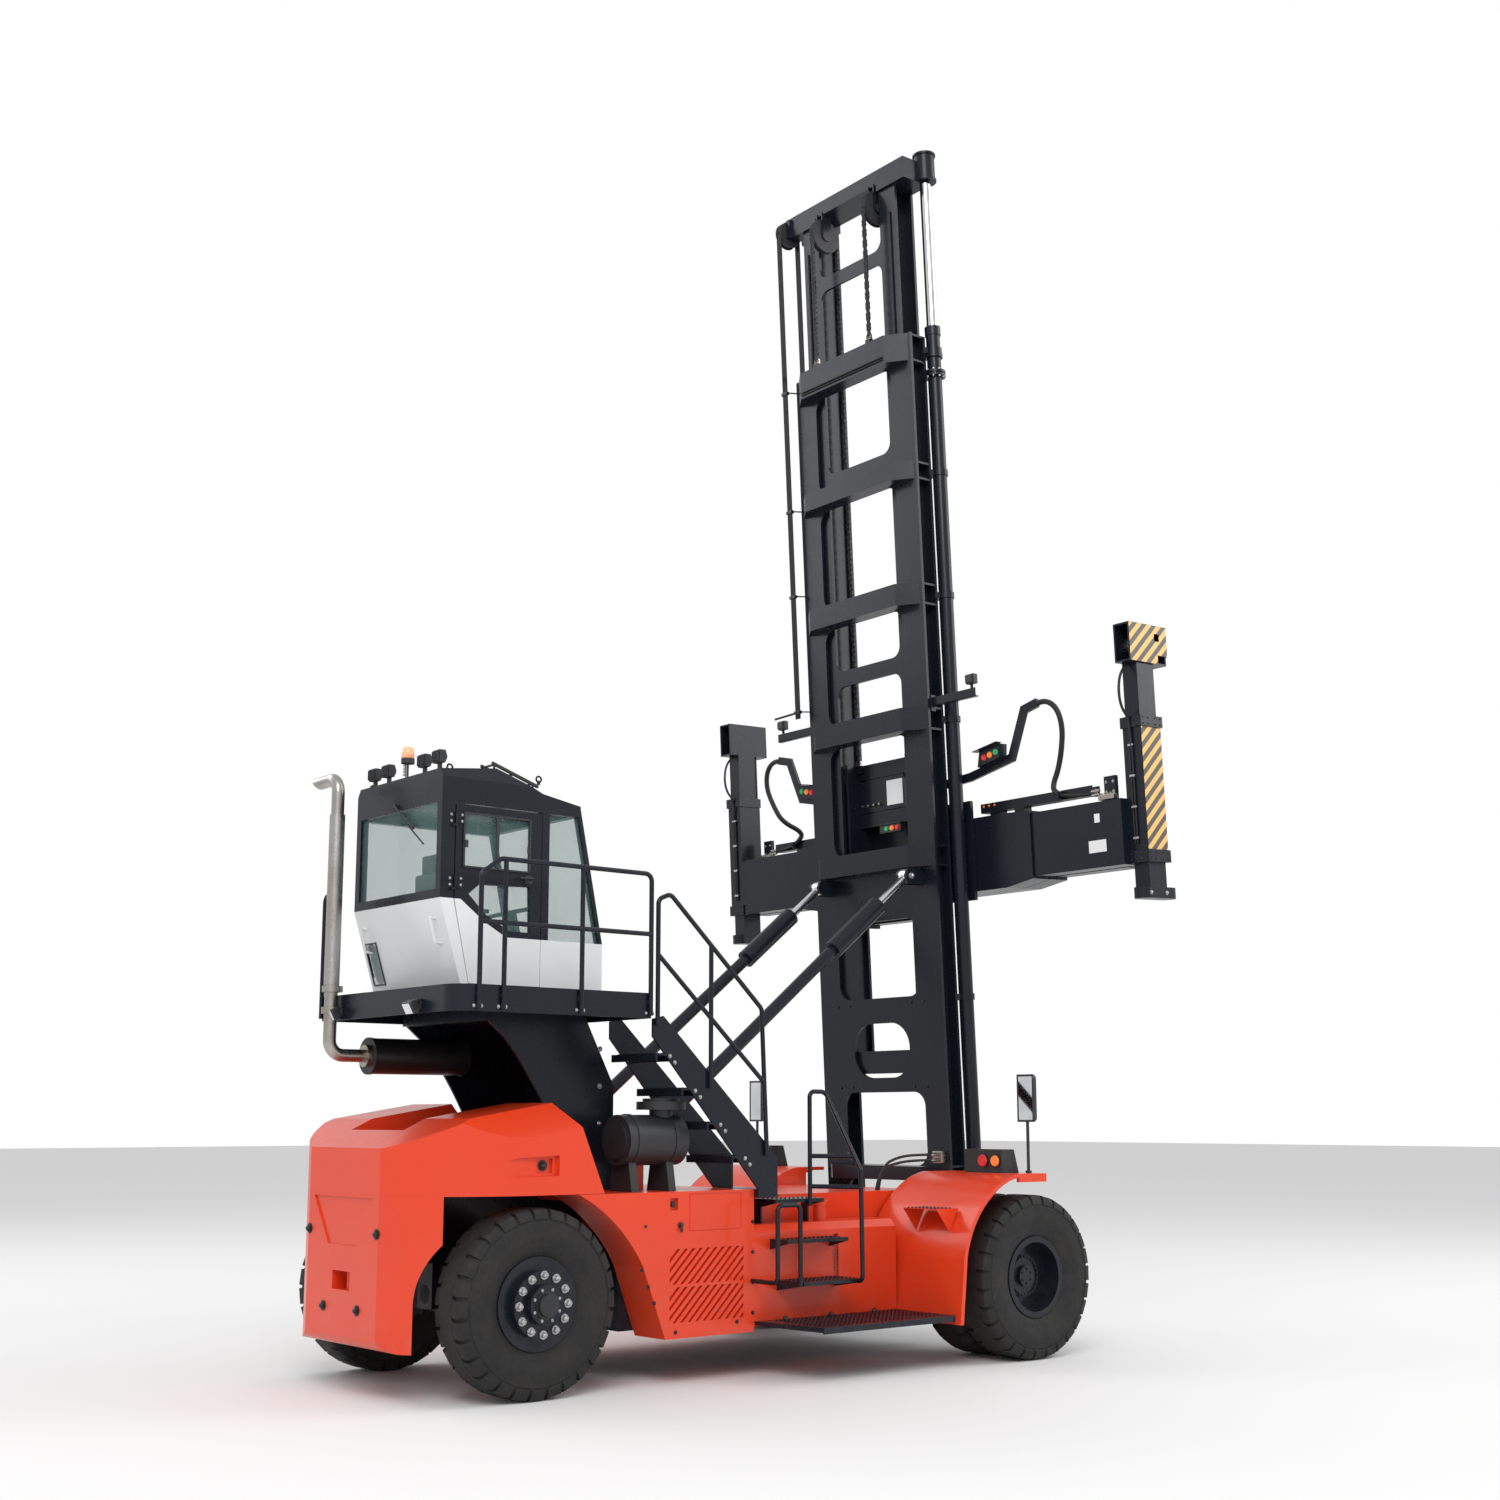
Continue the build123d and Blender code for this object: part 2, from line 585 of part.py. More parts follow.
def side_body(side):
    """Engine side body behind the steered wheel's arch."""
    low, knee, bend, top = [(x, 0, z) for x, z in (ARCH_POINTS[0], ARCH_POINTS[1], ARCH_BEND, ARCH_POINTS[3])]
    high = (ENGINE_FRONT - FIT, 0, ARCH_POINTS[3][1])
    foot = (ENGINE_FRONT - FIT, 0, SILL_Z)
    edges = [Line(low, knee), ThreePointArc(knee, (ARCH_POINTS[2][0], 0, ARCH_POINTS[2][1]), top),
        Line(top, high)]
    edges += [Line(high, foot), Line(foot, low)]
    inner, outer = sorted((side * (FRAME_Y + FIT), side * BODY_Y))
    body = Pos(0, inner, 0) * extrude(make_face(edges), amount=outer - inner, dir=(0, 1, 0))
    body -= swing_space(side)
    if side < 0:
        for slot in grille_slots():
            body -= slot
        body -= door_seam()
    return body


def side_tank(side):
    """Tank between the side body and the fender, with a filler neck on the right one."""
    inner = side * (FRAME_Y + FIT)
    outer = side * BODY_Y
    outline = [
        (inner, FRAME_LOW), (outer, FRAME_LOW), (outer, TANK_TOP - TANK_ROUND), (outer - side * TANK_ROUND,
            TANK_TOP),
        (inner, TANK_TOP),
    ]
    body = cross_plate(outline, ENGINE_FRONT, FENDER_REAR - FIT)
    if side > 0:
        return body
    neck = bar((FILLER_X, -FILLER_Y, TANK_TOP - OVERRUN), (FILLER_X, -FILLER_Y, FILLER_Z), FILLER_R)
    cap = bar((FILLER_X, -FILLER_Y, FILLER_Z - FILLER_CAP), (FILLER_X, -FILLER_Y, FILLER_Z),
        FILLER_R + SEAM * 2)
    gauge = block(GAUGE_X, (-BODY_Y - OVERRUN, SLOT_DEEP - BODY_Y), GAUGE_Z)
    return body + neck + cap - gauge


def hull():
    """Raised deck along the middle of the machine, with a sloping nose before the mast."""
    seat = FRAME_REAR + OVERRUN + FIT
    outline = [
        (HULL_REAR, HULL_STEP_Z - HULL_SKIRT), (seat, HULL_STEP_Z - HULL_SKIRT),
        (seat, FRAME_TOP + FIT), (HULL_FRONT, FRAME_TOP + FIT), (HULL_FRONT, HULL_TOP - NOSE_LOW),
        (HULL_FRONT - NOSE_DROP, HULL_TOP), (ENGINE_FRONT, HULL_TOP), (ENGINE_FRONT,
            HULL_STEP_Z), (HULL_REAR, HULL_STEP_Z),
    ]
    body = side_plate(outline, -HULL_Y, HULL_Y)
    return body - block((HULL_REAR - OVERRUN, seat), (-SPINE_Y - FIT, SPINE_Y + FIT), (SPINE_LOW, SPLIT_Z))


FENDER_OUT = (
    # behind the drive axle, height
    (-985.0, 360.0), (-925.0, 900.0), (-790.0, 1225.0), (-550.0, 1460.0), (-400.0, 1540.0), (-230.0, 1585.0),
    (130.0, 1585.0),
)
FENDER_IN = (
    (-945.0, 360.0), (-886.0, 908.0), (-762.0, 1200.0), (-530.0, 1430.0), (-388.0, 1510.0), (-226.0, 1553.0),
    (130.0, 1553.0),
)
FENDER_SKIN = 28.0
FENDER_LIP = 40.0


def fender_run(points):
    """Line, two arcs and a line through a mudguard outline."""
    at = [(WHEELBASE + x, 0, z) for x, z in points]
    return [Line(at[0], at[1]), ThreePointArc(at[1], at[2], at[3]), ThreePointArc(at[3], at[4], at[5]),
        Line(at[5], at[6])]


def fender(side):
    """Curved mudguard over the rear of the twin wheels, with a cheek against the frame."""
    outer = fender_run(FENDER_OUT)
    inner = fender_run(FENDER_IN)
    ends = [Line(outer[0] @ 0, inner[0] @ 0), Line(outer[-1] @ 1, inner[-1] @ 1)]
    skin = extrude(make_face(outer + inner + ends), amount=FENDER_Y - FENDER_IN_Y, dir=(0, 1, 0))
    skin = Pos(0, FENDER_IN_Y, 0) * skin
    deep = [Line((WHEELBASE + x, 0, z - FENDER_LIP), (WHEELBASE + bx, 0, bz - FENDER_LIP))
            for (x, z), (bx, bz) in zip(FENDER_IN[5:], FENDER_IN[6:])]
    start, end = deep[0] @ 0, deep[0] @ 1
    lip_face = make_face([inner[-1], deep[0], Line(inner[-1] @ 0, start), Line(inner[-1] @ 1, end)])
    lip = Pos(0, FENDER_Y - FENDER_SKIN, 0) * extrude(lip_face, amount=FENDER_SKIN, dir=(0, 1, 0))
    low = outer[0] @ 0
    front = (HULL_FRONT, 0, FENDER_TOP - FENDER_SKIN * 2)
    notch = (HULL_FRONT, 0, FRAME_TOP)
    root = (EAR_REAR, 0, FRAME_TOP)
    foot = (EAR_REAR, 0, SILL_Z)
    cheek_edges = outer + [
        Line(outer[-1] @ 1, front), Line(front, notch), Line(notch, root), Line(root, foot), Line(foot, low),
    ]
    cheek = Pos(0, FENDER_IN_Y, 0) * extrude(make_face(cheek_edges), amount=FENDER_SKIN, dir=(0, 1, 0))
    wheel = pin_y(WHEELBASE, TYRE_RADIUS, FENDER_IN_Y, FENDER_Y, TYRE_RADIUS + OVERRUN)
    body = fuse([skin, cheek, lip]) - wheel
    return body if side > 0 else mirrored(body)


# Engine block under the hull

ENGINE_X = (1120.0, 1980.0)
ENGINE_Y = 300.0
ENGINE_Z = (480.0, 1100.0)
ENGINE_GAP = 60.0
ENGINE_FOOT = 90.0


def engine_bay():
    """Space in the frame box around the engine."""
    return block(
        (ENGINE_X[0] - ENGINE_GAP, ENGINE_X[1] + ENGINE_GAP), (-ENGINE_Y - ENGINE_GAP, ENGINE_Y + ENGINE_GAP),
        (FRAME_LOW - OVERRUN, FRAME_TOP + OVERRUN),
    )


def engine():
    """Engine as one plain block on four mounts."""
    parts = [block(ENGINE_X, (-ENGINE_Y, ENGINE_Y), ENGINE_Z)]
    reach = ENGINE_Y + ENGINE_GAP - FIT
    for x in (ENGINE_X[0], ENGINE_X[1] - ENGINE_FOOT):
        parts.append(block((x, x + ENGINE_FOOT), (-reach, reach),
            (ENGINE_Z[0] + ENGINE_FOOT, ENGINE_Z[0] + ENGINE_FOOT * 2)))
    return fuse(parts)


# Boarding steps and hand rails on the right

STEP_ROWS = (
    # share of the tank's length at the rear and at the front, inner y, outer y, top z
    (0.145, 0.480, -1000.0, -1280.0, 1400.0),
    (0.106, 0.525, -1280.3, -1500.0, 1085.0),
    (0.150, 0.555, -1280.3, -1620.0, 755.0),
)
STEP_THICK = 30.0
STEP_CHEEK = 16.0
STEP_CHEEK_TALL = 85.0
WALK_REAR = 2065.0
WALK_Y = 2000.0
WALK_TOP = 440.0
WALK_THICK = 30.0
WALK_LIP = 50.0
WALK_CUT = 110.0
STRUT_R = 16.0
STRUT_X = 2200.0
STRUT_IN = 90.0


def tank_x(share):
    """Place along the tank, from its rear end at 0 to its front end at 1."""
    return ENGINE_FRONT + (FENDER_REAR - ENGINE_FRONT) * share


def step_plate(rear, front, inner, outer, top):
    """One tread with a tapered cheek at each end."""
    tread = block((rear, front), sorted((inner, outer)), (top - STEP_THICK, top))
    outline = [(inner, top), (inner, top - STEP_CHEEK_TALL), (outer, top - STEP_THICK), (outer, top)]
    cheeks = [cross_plate(outline, x, x + STEP_CHEEK) for x in (rear, front - STEP_CHEEK)]
    return fuse([tread] + cheeks)


def walkway():
    """Long walkway at sill height with a turned-down edge and a slanted strut under it."""
    front = FENDER_REAR - OVERRUN
    inner = -BODY_Y - FIT
    outline = [(WALK_REAR, inner), (front, inner), (front, -WALK_Y), (WALK_REAR + WALK_CUT, -WALK_Y)]
    plate = plan_plate(outline, WALK_TOP - WALK_THICK, WALK_TOP)
    lip = block((WALK_REAR + WALK_CUT, front), (-WALK_Y, -WALK_Y + STEP_CHEEK),
        (WALK_TOP - WALK_LIP, WALK_TOP))
    strut = bar((STRUT_X, STRUT_R - WALK_Y + OVERRUN, WALK_TOP - WALK_THICK),
        (STRUT_X, -BODY_Y + STRUT_IN, FRAME_LOW), STRUT_R)
    strut -= block((STRUT_X - OVERRUN, STRUT_X + OVERRUN), (inner, 0), (SILL_Z, WALK_TOP))
    return fuse([plate, lip, strut])


def boarding_steps():
    """Step plates on the tank and the walkway."""
    plates = [step_plate(tank_x(rear), tank_x(front), inner, outer, top) for rear, front, inner, outer,
        top in STEP_ROWS]
    rear, front, inner, outer, top = STEP_ROWS[0]
    legs = []
    for x in (tank_x(rear), tank_x(front) - STEP_CHEEK):
        legs.append(block((x, x + STEP_CHEEK), (inner - STEP_CHEEK_TALL, inner), (TANK_TOP, top)))
    plates[0] = fuse([plates[0]] + legs)
    return plates + [walkway()]


HOOP_SHARES = (0.371, 0.482, 0.500, 0.508)
HOOP_OUT_Y = 1700.0
HOOP_Z = (1340.0, 2285.0, 1640.0, 740.0)
HOOP_BEND = 50.0
HOOP_BARS = (1750.0, 1500.0)
LOW_HOOP_Y = 1600.0
LOW_HOOP_Z = (726.0, 1370.0, 760.0)


def tall_hoop():
    """Hoop from the top step's edge over and out to the lowest step, with two cross bars."""
    rear, crest, knee, foot = [tank_x(share) for share in HOOP_SHARES]
    inner = STEP_ROWS[0][3] - RAIL_R - FIT
    outer = -HOOP_OUT_Y
    low, high, bend, toe = HOOP_Z
    parts = [
        bent_bar(
            [
                (rear, inner, low), (rear, inner, high), (crest, inner, high), (knee, outer, bend), (foot,
                    outer, toe),
                (foot, STEP_ROWS[2][3] - FIT, toe),
            ],
            RAIL_R, HOOP_BEND,
        )
    ]
    for z in HOOP_BARS:
        fall = min((high - z) / (high - bend), 1)
        end = (crest + (knee - crest) * fall, inner + (outer - inner) * fall, z)
        parts.append(bar((rear, inner, z), end, RAIL_R - FIT))
    return fuse(parts)


def low_hoop():
    """Low hoop between the lowest step's rear end and the side body."""
    rear = ENGINE_FRONT - RAIL_R - FIT
    front = tank_x(STEP_ROWS[2][0]) - RAIL_R - FIT
    y = -LOW_HOOP_Y
    low, high, toe = LOW_HOOP_Z
    return bent_bar(
        [(front, y, low), (front, y, high), (rear, y, high), (rear, y, toe), (rear, -BODY_Y - FIT, toe)],
        RAIL_R, HOOP_BEND,
    )


def boarding_rails():
    """Hand rails at the boarding steps."""
    return [tall_hoop(), low_hoop()]


# Tower, platform and stairs

TOWER_FRONT_EDGE = ((-140.0, 2840.0), (820.0, 2840.0), (1090.0, 2325.0), (1090.0, 1489.3), (640.0, 1489.3))
TOWER_REAR_ARC = ((600.0, 1760.0), (395.0, 2200.0), (30.0, 2700.0))
TOWER_FRONT = ((780.0, 2840.0), (820.0, 2840.0), (1090.0, 2325.0), (1090.0, 1489.3), (1060.0, 1489.3),
    (1060.0, 2310.0))


def tower():
    """Two curved side plates and a front plate that carry the cab platform."""
    edges = [Line((x, 0, z), (bx, 0, bz)) for (x, z), (bx, bz) in zip(TOWER_FRONT_EDGE, TOWER_FRONT_EDGE[1:])]
    start = (TOWER_FRONT_EDGE[-1][0], 0, TOWER_FRONT_EDGE[-1][1])
    low, middle, high = [(x, 0, z) for x, z in TOWER_REAR_ARC]
    edges += [Line(start, low), ThreePointArc(low, middle, high)]
    edges.append(Line(high, (TOWER_FRONT_EDGE[0][0], 0, TOWER_FRONT_EDGE[0][1])))
    web = extrude(make_face(edges), amount=TOWER_PLATE, dir=(0, 1, 0))
    plates = both_sides(Pos(0, TOWER_Y - TOWER_PLATE, 0) * web)
    front = side_plate(TOWER_FRONT, TOWER_PLATE - TOWER_Y, TOWER_Y - TOWER_PLATE)
    lid = block((TOWER_FRONT_EDGE[0][0], TOWER_FRONT_EDGE[1][0]), (-TOWER_Y, TOWER_Y),
        (PLATFORM_LOW - TOWER_PLATE, PLATFORM_LOW - FIT))
    return fuse(plates + [front, lid])


PLATFORM_CUT = 170.0
PLATFORM_SKIRT = 12.0
PLATFORM_FLOOR = 30.0
MOUNT_R = 60.0
CAB_MOUNTS = ((-300.0, 560.0), (780.0, 560.0))


def platform_plan(inset, z_low, z_high):
    """Prism of the platform's plan, with its rounded rear right corner, set in by an inset."""
    rear = PLATFORM_REAR + inset
    right = PLATFORM_RIGHT + inset
    front = PLATFORM_FRONT - inset
    left = PLATFORM_LEFT - inset
    turn = PLATFORM_CUT * (1 - math.sqrt(0.5))
    corner = (PLATFORM_REAR + PLATFORM_CUT, right)
    edges = [
        Line((rear, left), (rear, PLATFORM_RIGHT + PLATFORM_CUT)),
        ThreePointArc((rear, PLATFORM_RIGHT + PLATFORM_CUT), (rear + turn, right + turn), corner),
        Line(corner, (front, right)),
        Line((front, right), (front, left)),
        Line((front, left), (rear, left)),
    ]
    return extrude(Pos(0, 0, z_low) * make_face(edges), amount=z_high - z_low, dir=(0, 0, 1))


def platform():
    """Cab platform: floor plate with a deep skirt and four cab mounts."""
    body = platform_plan(0, PLATFORM_LOW, PLATFORM_TOP)
    body -= platform_plan(PLATFORM_SKIRT, PLATFORM_LOW - OVERRUN, PLATFORM_TOP - PLATFORM_FLOOR)
    span = (TOWER_FRONT_EDGE[0][0], TOWER_FRONT_EDGE[1][0])
    rib = block(span, (-TOWER_Y, TOWER_Y), (PLATFORM_LOW, PLATFORM_TOP - PLATFORM_FLOOR))
    mounts = []
    for x, y in CAB_MOUNTS:
        mounts += both_sides(bar((x, y, PLATFORM_TOP - PLATFORM_FLOOR), (x, y, CAB_FLOOR - FIT), MOUNT_R))
    return fuse([body, rib] + mounts)


RAIL_Z = (2860.0, 3865.0, 3985.0, 3505.0)
RAIL_X = (-420.0, 280.0)
RAIL_BEND = 60.0
REAR_RAIL_Y = (570.0, 740.0)


def platform_railing():
    """Two-bar railing along the platform's right edge and a short one at its rear left."""
    y = PLATFORM_RIGHT - RAIL_R - FIT
    rear = PLATFORM_REAR + PLATFORM_CUT + RAIL_R
    front = PLATFORM_FRONT - RAIL_R
    top = bent_bar(
        [(rear, y, RAIL_Z[0]), (rear, y, RAIL_Z[1]), (rear + PLATFORM_CUT, y, RAIL_Z[2]),
            (front, y, RAIL_Z[2]), (front, y, RAIL_Z[0])],
        RAIL_R, RAIL_BEND,
    )
    parts = [top, bar((rear, y, RAIL_Z[3]), (front, y, RAIL_Z[3]), RAIL_R - FIT)]
    for x in RAIL_X:
        parts.append(bar((x, y, RAIL_Z[0]), (x, y, RAIL_Z[2]), RAIL_R - FIT))
    x = PLATFORM_REAR - RAIL_R - FIT
    hoop = bent_bar(
        [(x, REAR_RAIL_Y[0], RAIL_Z[0]), (x, REAR_RAIL_Y[0], RAIL_Z[1]), (x, REAR_RAIL_Y[1], RAIL_Z[1]),
            (x, REAR_RAIL_Y[1], RAIL_Z[0])],
        RAIL_R, RAIL_BEND,
    )
    return [fuse(parts), hoop]


STRINGER_POINTS = ((980.0, 2700.0), (980.0, 2840.0), (1085.0, 2865.0), (2272.0, 1744.0), (2272.0, 1491.0),
    (2065.0, 1491.0))
STRINGER = 20.0
STAIR_IN_Y = -750.0
TREADS = 4
TREAD_DEEP = 230.0
TREAD_THICK = 35.0
TREAD_LIP = 60.0


def stairs():
    """Flight from the deck up to the platform: two plate stringers and treads."""
    outer = PLATFORM_RIGHT
    plates = [
        side_plate(STRINGER_POINTS, outer, outer + STRINGER),
        side_plate(STRINGER_POINTS, STAIR_IN_Y, STAIR_IN_Y + STRINGER),
    ]
    low = STRINGER_POINTS[3]
    high = STRINGER_POINTS[1]
    for index in range(1, TREADS + 1):
        share = index / (TREADS + 1)
        x = low[0] + (high[0] - low[0]) * share
        z = STRINGER_POINTS[4][1] + (high[1] - STRINGER_POINTS[4][1]) * share
        plates.append(block((x - TREAD_DEEP, x), (outer, STAIR_IN_Y + STRINGER), (z - TREAD_THICK / 2, z)))
        for edge in (x - TREAD_DEEP, x - TREAD_THICK / 2):
            plates.append(block((edge, edge + TREAD_THICK / 2), (outer, STAIR_IN_Y + STRINGER),
                (z - TREAD_LIP, z)))
    foot = STRINGER_POINTS[5]
    plates.append(block((foot[0], low[0]), (outer, STAIR_IN_Y + STRINGER), (HULL_TOP + FIT, foot[1])))
    return fuse(plates)


STAIR_RAIL = (
    (1010.0, 2790.0), (1010.0, 3790.0), (1130.0, 3840.0), (2085.0, 2958.0), (2140.0, 1760.0),
)
STAIR_POST = (1550.0, 2300.0)


def stair_railing():
    """Two-bar rail on the outer stringer."""
    y = PLATFORM_RIGHT - RAIL_R - FIT
    top = bent_bar([(x, y, z) for x, z in STAIR_RAIL], RAIL_R, RAIL_BEND)
    low_start = (STAIR_RAIL[1][0], y, (STAIR_RAIL[0][1] + STAIR_RAIL[1][1]) / 2 + RAIL_BEND)
    low_end = (STAIR_RAIL[3][0] + RAIL_R, y, (STAIR_RAIL[3][1] + STAIR_RAIL[4][1]) / 2)
    run = (STAIR_POST[0] - STAIR_RAIL[2][0]) / (STAIR_RAIL[3][0] - STAIR_RAIL[2][0])
    high = STAIR_RAIL[2][1] + (STAIR_RAIL[3][1] - STAIR_RAIL[2][1]) * run
    post = bar((STAIR_POST[0], y, STAIR_POST[1]), (STAIR_POST[0], y, high), RAIL_R - FIT)
    return fuse([top, bar(low_start, low_end, RAIL_R - FIT), post])


# Cab

SIDE_DROP = ((0.0, 3470.0), (-200.0, 3580.0), (-420.0, 3745.0))
PORT_Y = 545.0
PORT_HALF = 85.0
PORT_Z = (3150.0, 3470.0)
PORT_ROUND = 60.0


def cab_side(points, side):
    """Panel in one of the cab's side walls."""
    return side_plate(points, *sorted((side * (CAB_Y - CAB_WALL), side * CAB_Y)))


def port_hole(inset):
    """Prism through the rear panel with the outline of its small rounded window."""
    half = PORT_HALF - inset
    hole = rounded_hole(CAB_REAR, CAB_REAR_FOOT + CAB_WALL, half, PORT_Z[0] + inset, PORT_Z[1] - inset,
        PORT_ROUND)
    return Pos(0, PORT_Y, 0) * hole


def cab_lower():
    """White lower shell: floor, slanted rear panel, front panel and side panels."""
    wall = CAB_WALL
    rear = side_plate(
        [(CAB_REAR_FOOT, CAB_FLOOR), (CAB_REAR, WAIST_REAR), (CAB_REAR + wall, WAIST_REAR),
            (CAB_REAR_FOOT + wall, CAB_FLOOR)],
        -CAB_Y, CAB_Y,
    )
    rear -= port_hole(0)
    floor = block((CAB_REAR_FOOT, CAB_FRONT), (wall - CAB_Y, CAB_Y - wall), (CAB_FLOOR, CAB_FLOOR + wall))
    front = block((CAB_FRONT - wall, CAB_FRONT), (-CAB_Y, CAB_Y), (CAB_FLOOR, WAIST_FRONT))
    left = cab_side(
        [(CAB_REAR_FOOT, CAB_FLOOR), (CAB_FRONT, CAB_FLOOR),
            (CAB_FRONT, WAIST_FRONT)] + list(SIDE_DROP) + [(CAB_REAR, WAIST_REAR)], 1
    )
    right_rear = cab_side(
        [(CAB_REAR_FOOT, CAB_FLOOR), (DOOR_REAR_FOOT, CAB_FLOOR), (DOOR_REAR, WAIST_REAR),
            (CAB_REAR, WAIST_REAR)], -1
    )
    right_front = cab_side(
        [(DOOR_FRONT, CAB_FLOOR), (CAB_FRONT, CAB_FLOOR), (CAB_FRONT, WAIST_FRONT),
            (DOOR_FRONT, WAIST_FRONT)], -1
    )
    return fuse([rear, floor, front, left, right_rear, right_front])


def cab_frame():
    """Dark upper frame: corner posts, door posts, waist rails and eave rails."""
    low = WAIST_REAR + FIT
    parts = []
    eave = EAVE_Z - POST
    for side in (-1, 1):
        outer = sorted((side * (CAB_Y - POST), side * CAB_Y))
        rear_edge = DOOR_REAR if side < 0 else CAB_REAR + POST
        parts.append(block((CAB_REAR, rear_edge), outer, (low, EAVE_Z)))
        parts.append(block((CAB_REAR, EAVE_FRONT_X), outer, (eave, EAVE_Z)))
        parts.append(block((DOOR_FRONT, DOOR_FRONT + POST), outer, (WAIST_FRONT + FIT, EAVE_Z)))
        front = [
            (CAB_FRONT - POST / 2, WAIST_FRONT + FIT), (CAB_FRONT, WAIST_FRONT + FIT),
            (EAVE_FRONT_X, EAVE_Z), (EAVE_FRONT_X - POST / 2, EAVE_Z),
        ]
        parts.append(side_plate(front, *outer))
    parts.append(block((CAB_REAR, CAB_REAR + CAB_WALL), (-CAB_Y, CAB_Y), (low, low + POST)))
    parts.append(block((CAB_REAR, CAB_REAR + CAB_WALL), (-CAB_Y, CAB_Y), (eave, EAVE_Z)))
    parts.append(block((EAVE_FRONT_X - POST, EAVE_FRONT_X), (-CAB_Y, CAB_Y), (eave, EAVE_Z)))
    return fuse(parts + hinge_straps())


ROOF_POINTS = (
    (-600.0, 4570.3), (-600.0, 4765.0), (-500.0, 4775.0), (-60.0, 4830.0), (330.0, 4655.0), (700.0,
        4590.0), (700.0, 4570.3),
)
ROOF_SHOULDER_Z = 4700.0
ROOF_TOP_Y = 600.0
ROOF_TOP_Z = 4840.0
FASCIA_Y = 520.0
FASCIA_POINTS = ((330.0, 4640.0), (330.0, 4690.0), (560.0, 4650.0), (680.0, 4590.0))


def cab_roof():
    """Roof cap with sloping shoulders, high at the rear and falling to the windscreen."""
    section = [
        (-CAB_Y, EAVE_Z), (CAB_Y, EAVE_Z), (CAB_Y, ROOF_SHOULDER_Z), (ROOF_TOP_Y, ROOF_TOP_Z),
        (-ROOF_TOP_Y, ROOF_TOP_Z), (-CAB_Y, ROOF_SHOULDER_Z),
    ]
    shell = side_plate(ROOF_POINTS, -CAB_Y, CAB_Y) & cross_plate(section, CAB_REAR, CAB_FRONT)
    return shell + side_plate(FASCIA_POINTS, -FASCIA_Y, FASCIA_Y)


def pane(points, side):
    """Side window pane set in the middle of its frame."""
    middle = CAB_Y - POST / 2
    return side_plate(points, *sorted((side * middle, side * (middle + GLASS))))


def cab_glass():
    """Rear, left, quarter and front panes."""
    eave = EAVE_Z - POST - FIT
    inset = CAB_REAR + CAB_WALL / 2
    post = DOOR_FRONT + POST + FIT
    rear = block((inset, inset + GLASS), (POST + FIT - CAB_Y, CAB_Y - POST - FIT),
        (WAIST_REAR + POST + FIT * 2, eave))
    slope = (CAB_FRONT - EAVE_FRONT_X) / (EAVE_Z - WAIST_FRONT)
    top_x = CAB_FRONT - slope * (eave - WAIST_FRONT)
    low_z = WAIST_FRONT + FIT
    quarter = [
        (post, low_z), (CAB_FRONT - POST / 2 - FIT * 2, low_z), (top_x - POST / 2 - FIT * 2, eave), (post,
            eave),
    ]
    left = [(DOOR_FRONT - FIT, low_z), (SIDE_DROP[0][0], low_z), (SIDE_DROP[1][0], SIDE_DROP[1][1] + FIT),
        (SIDE_DROP[2][0], SIDE_DROP[2][1] + FIT),
            (CAB_REAR + POST + FIT, WAIST_REAR + FIT), (CAB_REAR + POST + FIT, eave), (DOOR_FRONT - FIT,
                eave)]
    screen = side_plate(
        [(CAB_FRONT - GLASS, low_z), (CAB_FRONT, low_z), (top_x, eave), (top_x - GLASS, eave)],
        POST + FIT - CAB_Y, CAB_Y - POST - FIT,
    )
    shift = CAB_WALL / 2
    port = side_plate(
        [(CAB_REAR_FOOT + shift, CAB_FLOOR), (CAB_REAR + shift, WAIST_REAR),
            (CAB_REAR + shift + GLASS, WAIST_REAR),
         (CAB_REAR_FOOT + shift + GLASS, CAB_FLOOR)],
        -CAB_Y, CAB_Y,
    )
    return [rear, pane(quarter, -1), pane(quarter, 1), pane(left, 1), screen, port & port_hole(FIT)]


DOOR_GAP = 5.0
DOOR_WALL = 35.0
DOOR_TOP = 4490.0
DOOR_UPPER = ((-405.0, 4430.0), (215.0, 4430.0), (215.0, 4005.0), (-405.0, 3995.0))
DOOR_LOWER = ((-345.0, 3790.0), (-250.0, 3870.0), (215.0, 3885.0), (225.0, 3520.0), (40.0, 3520.0),
    (-190.0, 3640.0))


HINGE_X = -474.0
HINGE_OUT = 12.0
HINGE_R = 10.0
HINGE_LONG = 90.0
HINGE_ROWS = (3830.0, 4330.0)
HINGE_LEAF = 40.0


def door_hinges():
    """Hinge barrels and leaves on the door's rear edge."""
    y = -CAB_Y - HINGE_OUT
    parts = []
    for z in HINGE_ROWS:
        parts.append(bar((HINGE_X, y, z), (HINGE_X, y, z + HINGE_LONG), HINGE_R))
        parts.append(block((HINGE_X, HINGE_X + HINGE_LEAF), (y - HINGE_R / 2, -CAB_Y), (z, z + HINGE_LONG)))
    return parts


def hinge_straps():
    """Straps on the cab's rear post, one under each hinge barrel."""
    y = -CAB_Y - HINGE_OUT
    straps = []
    for z in HINGE_ROWS:
        low = z - HINGE_R * 2
        straps.append(block((HINGE_X - HINGE_LEAF, HINGE_X), (y - HINGE_R, -CAB_Y), (low, z - FIT)))
        straps.append(bar((HINGE_X, y, low), (HINGE_X, y, z - FIT), HINGE_R))
    return straps


def door_plate(points):
    """Plate in the plane of the door."""
    return side_plate(points, -CAB_Y, DOOR_WALL - CAB_Y)


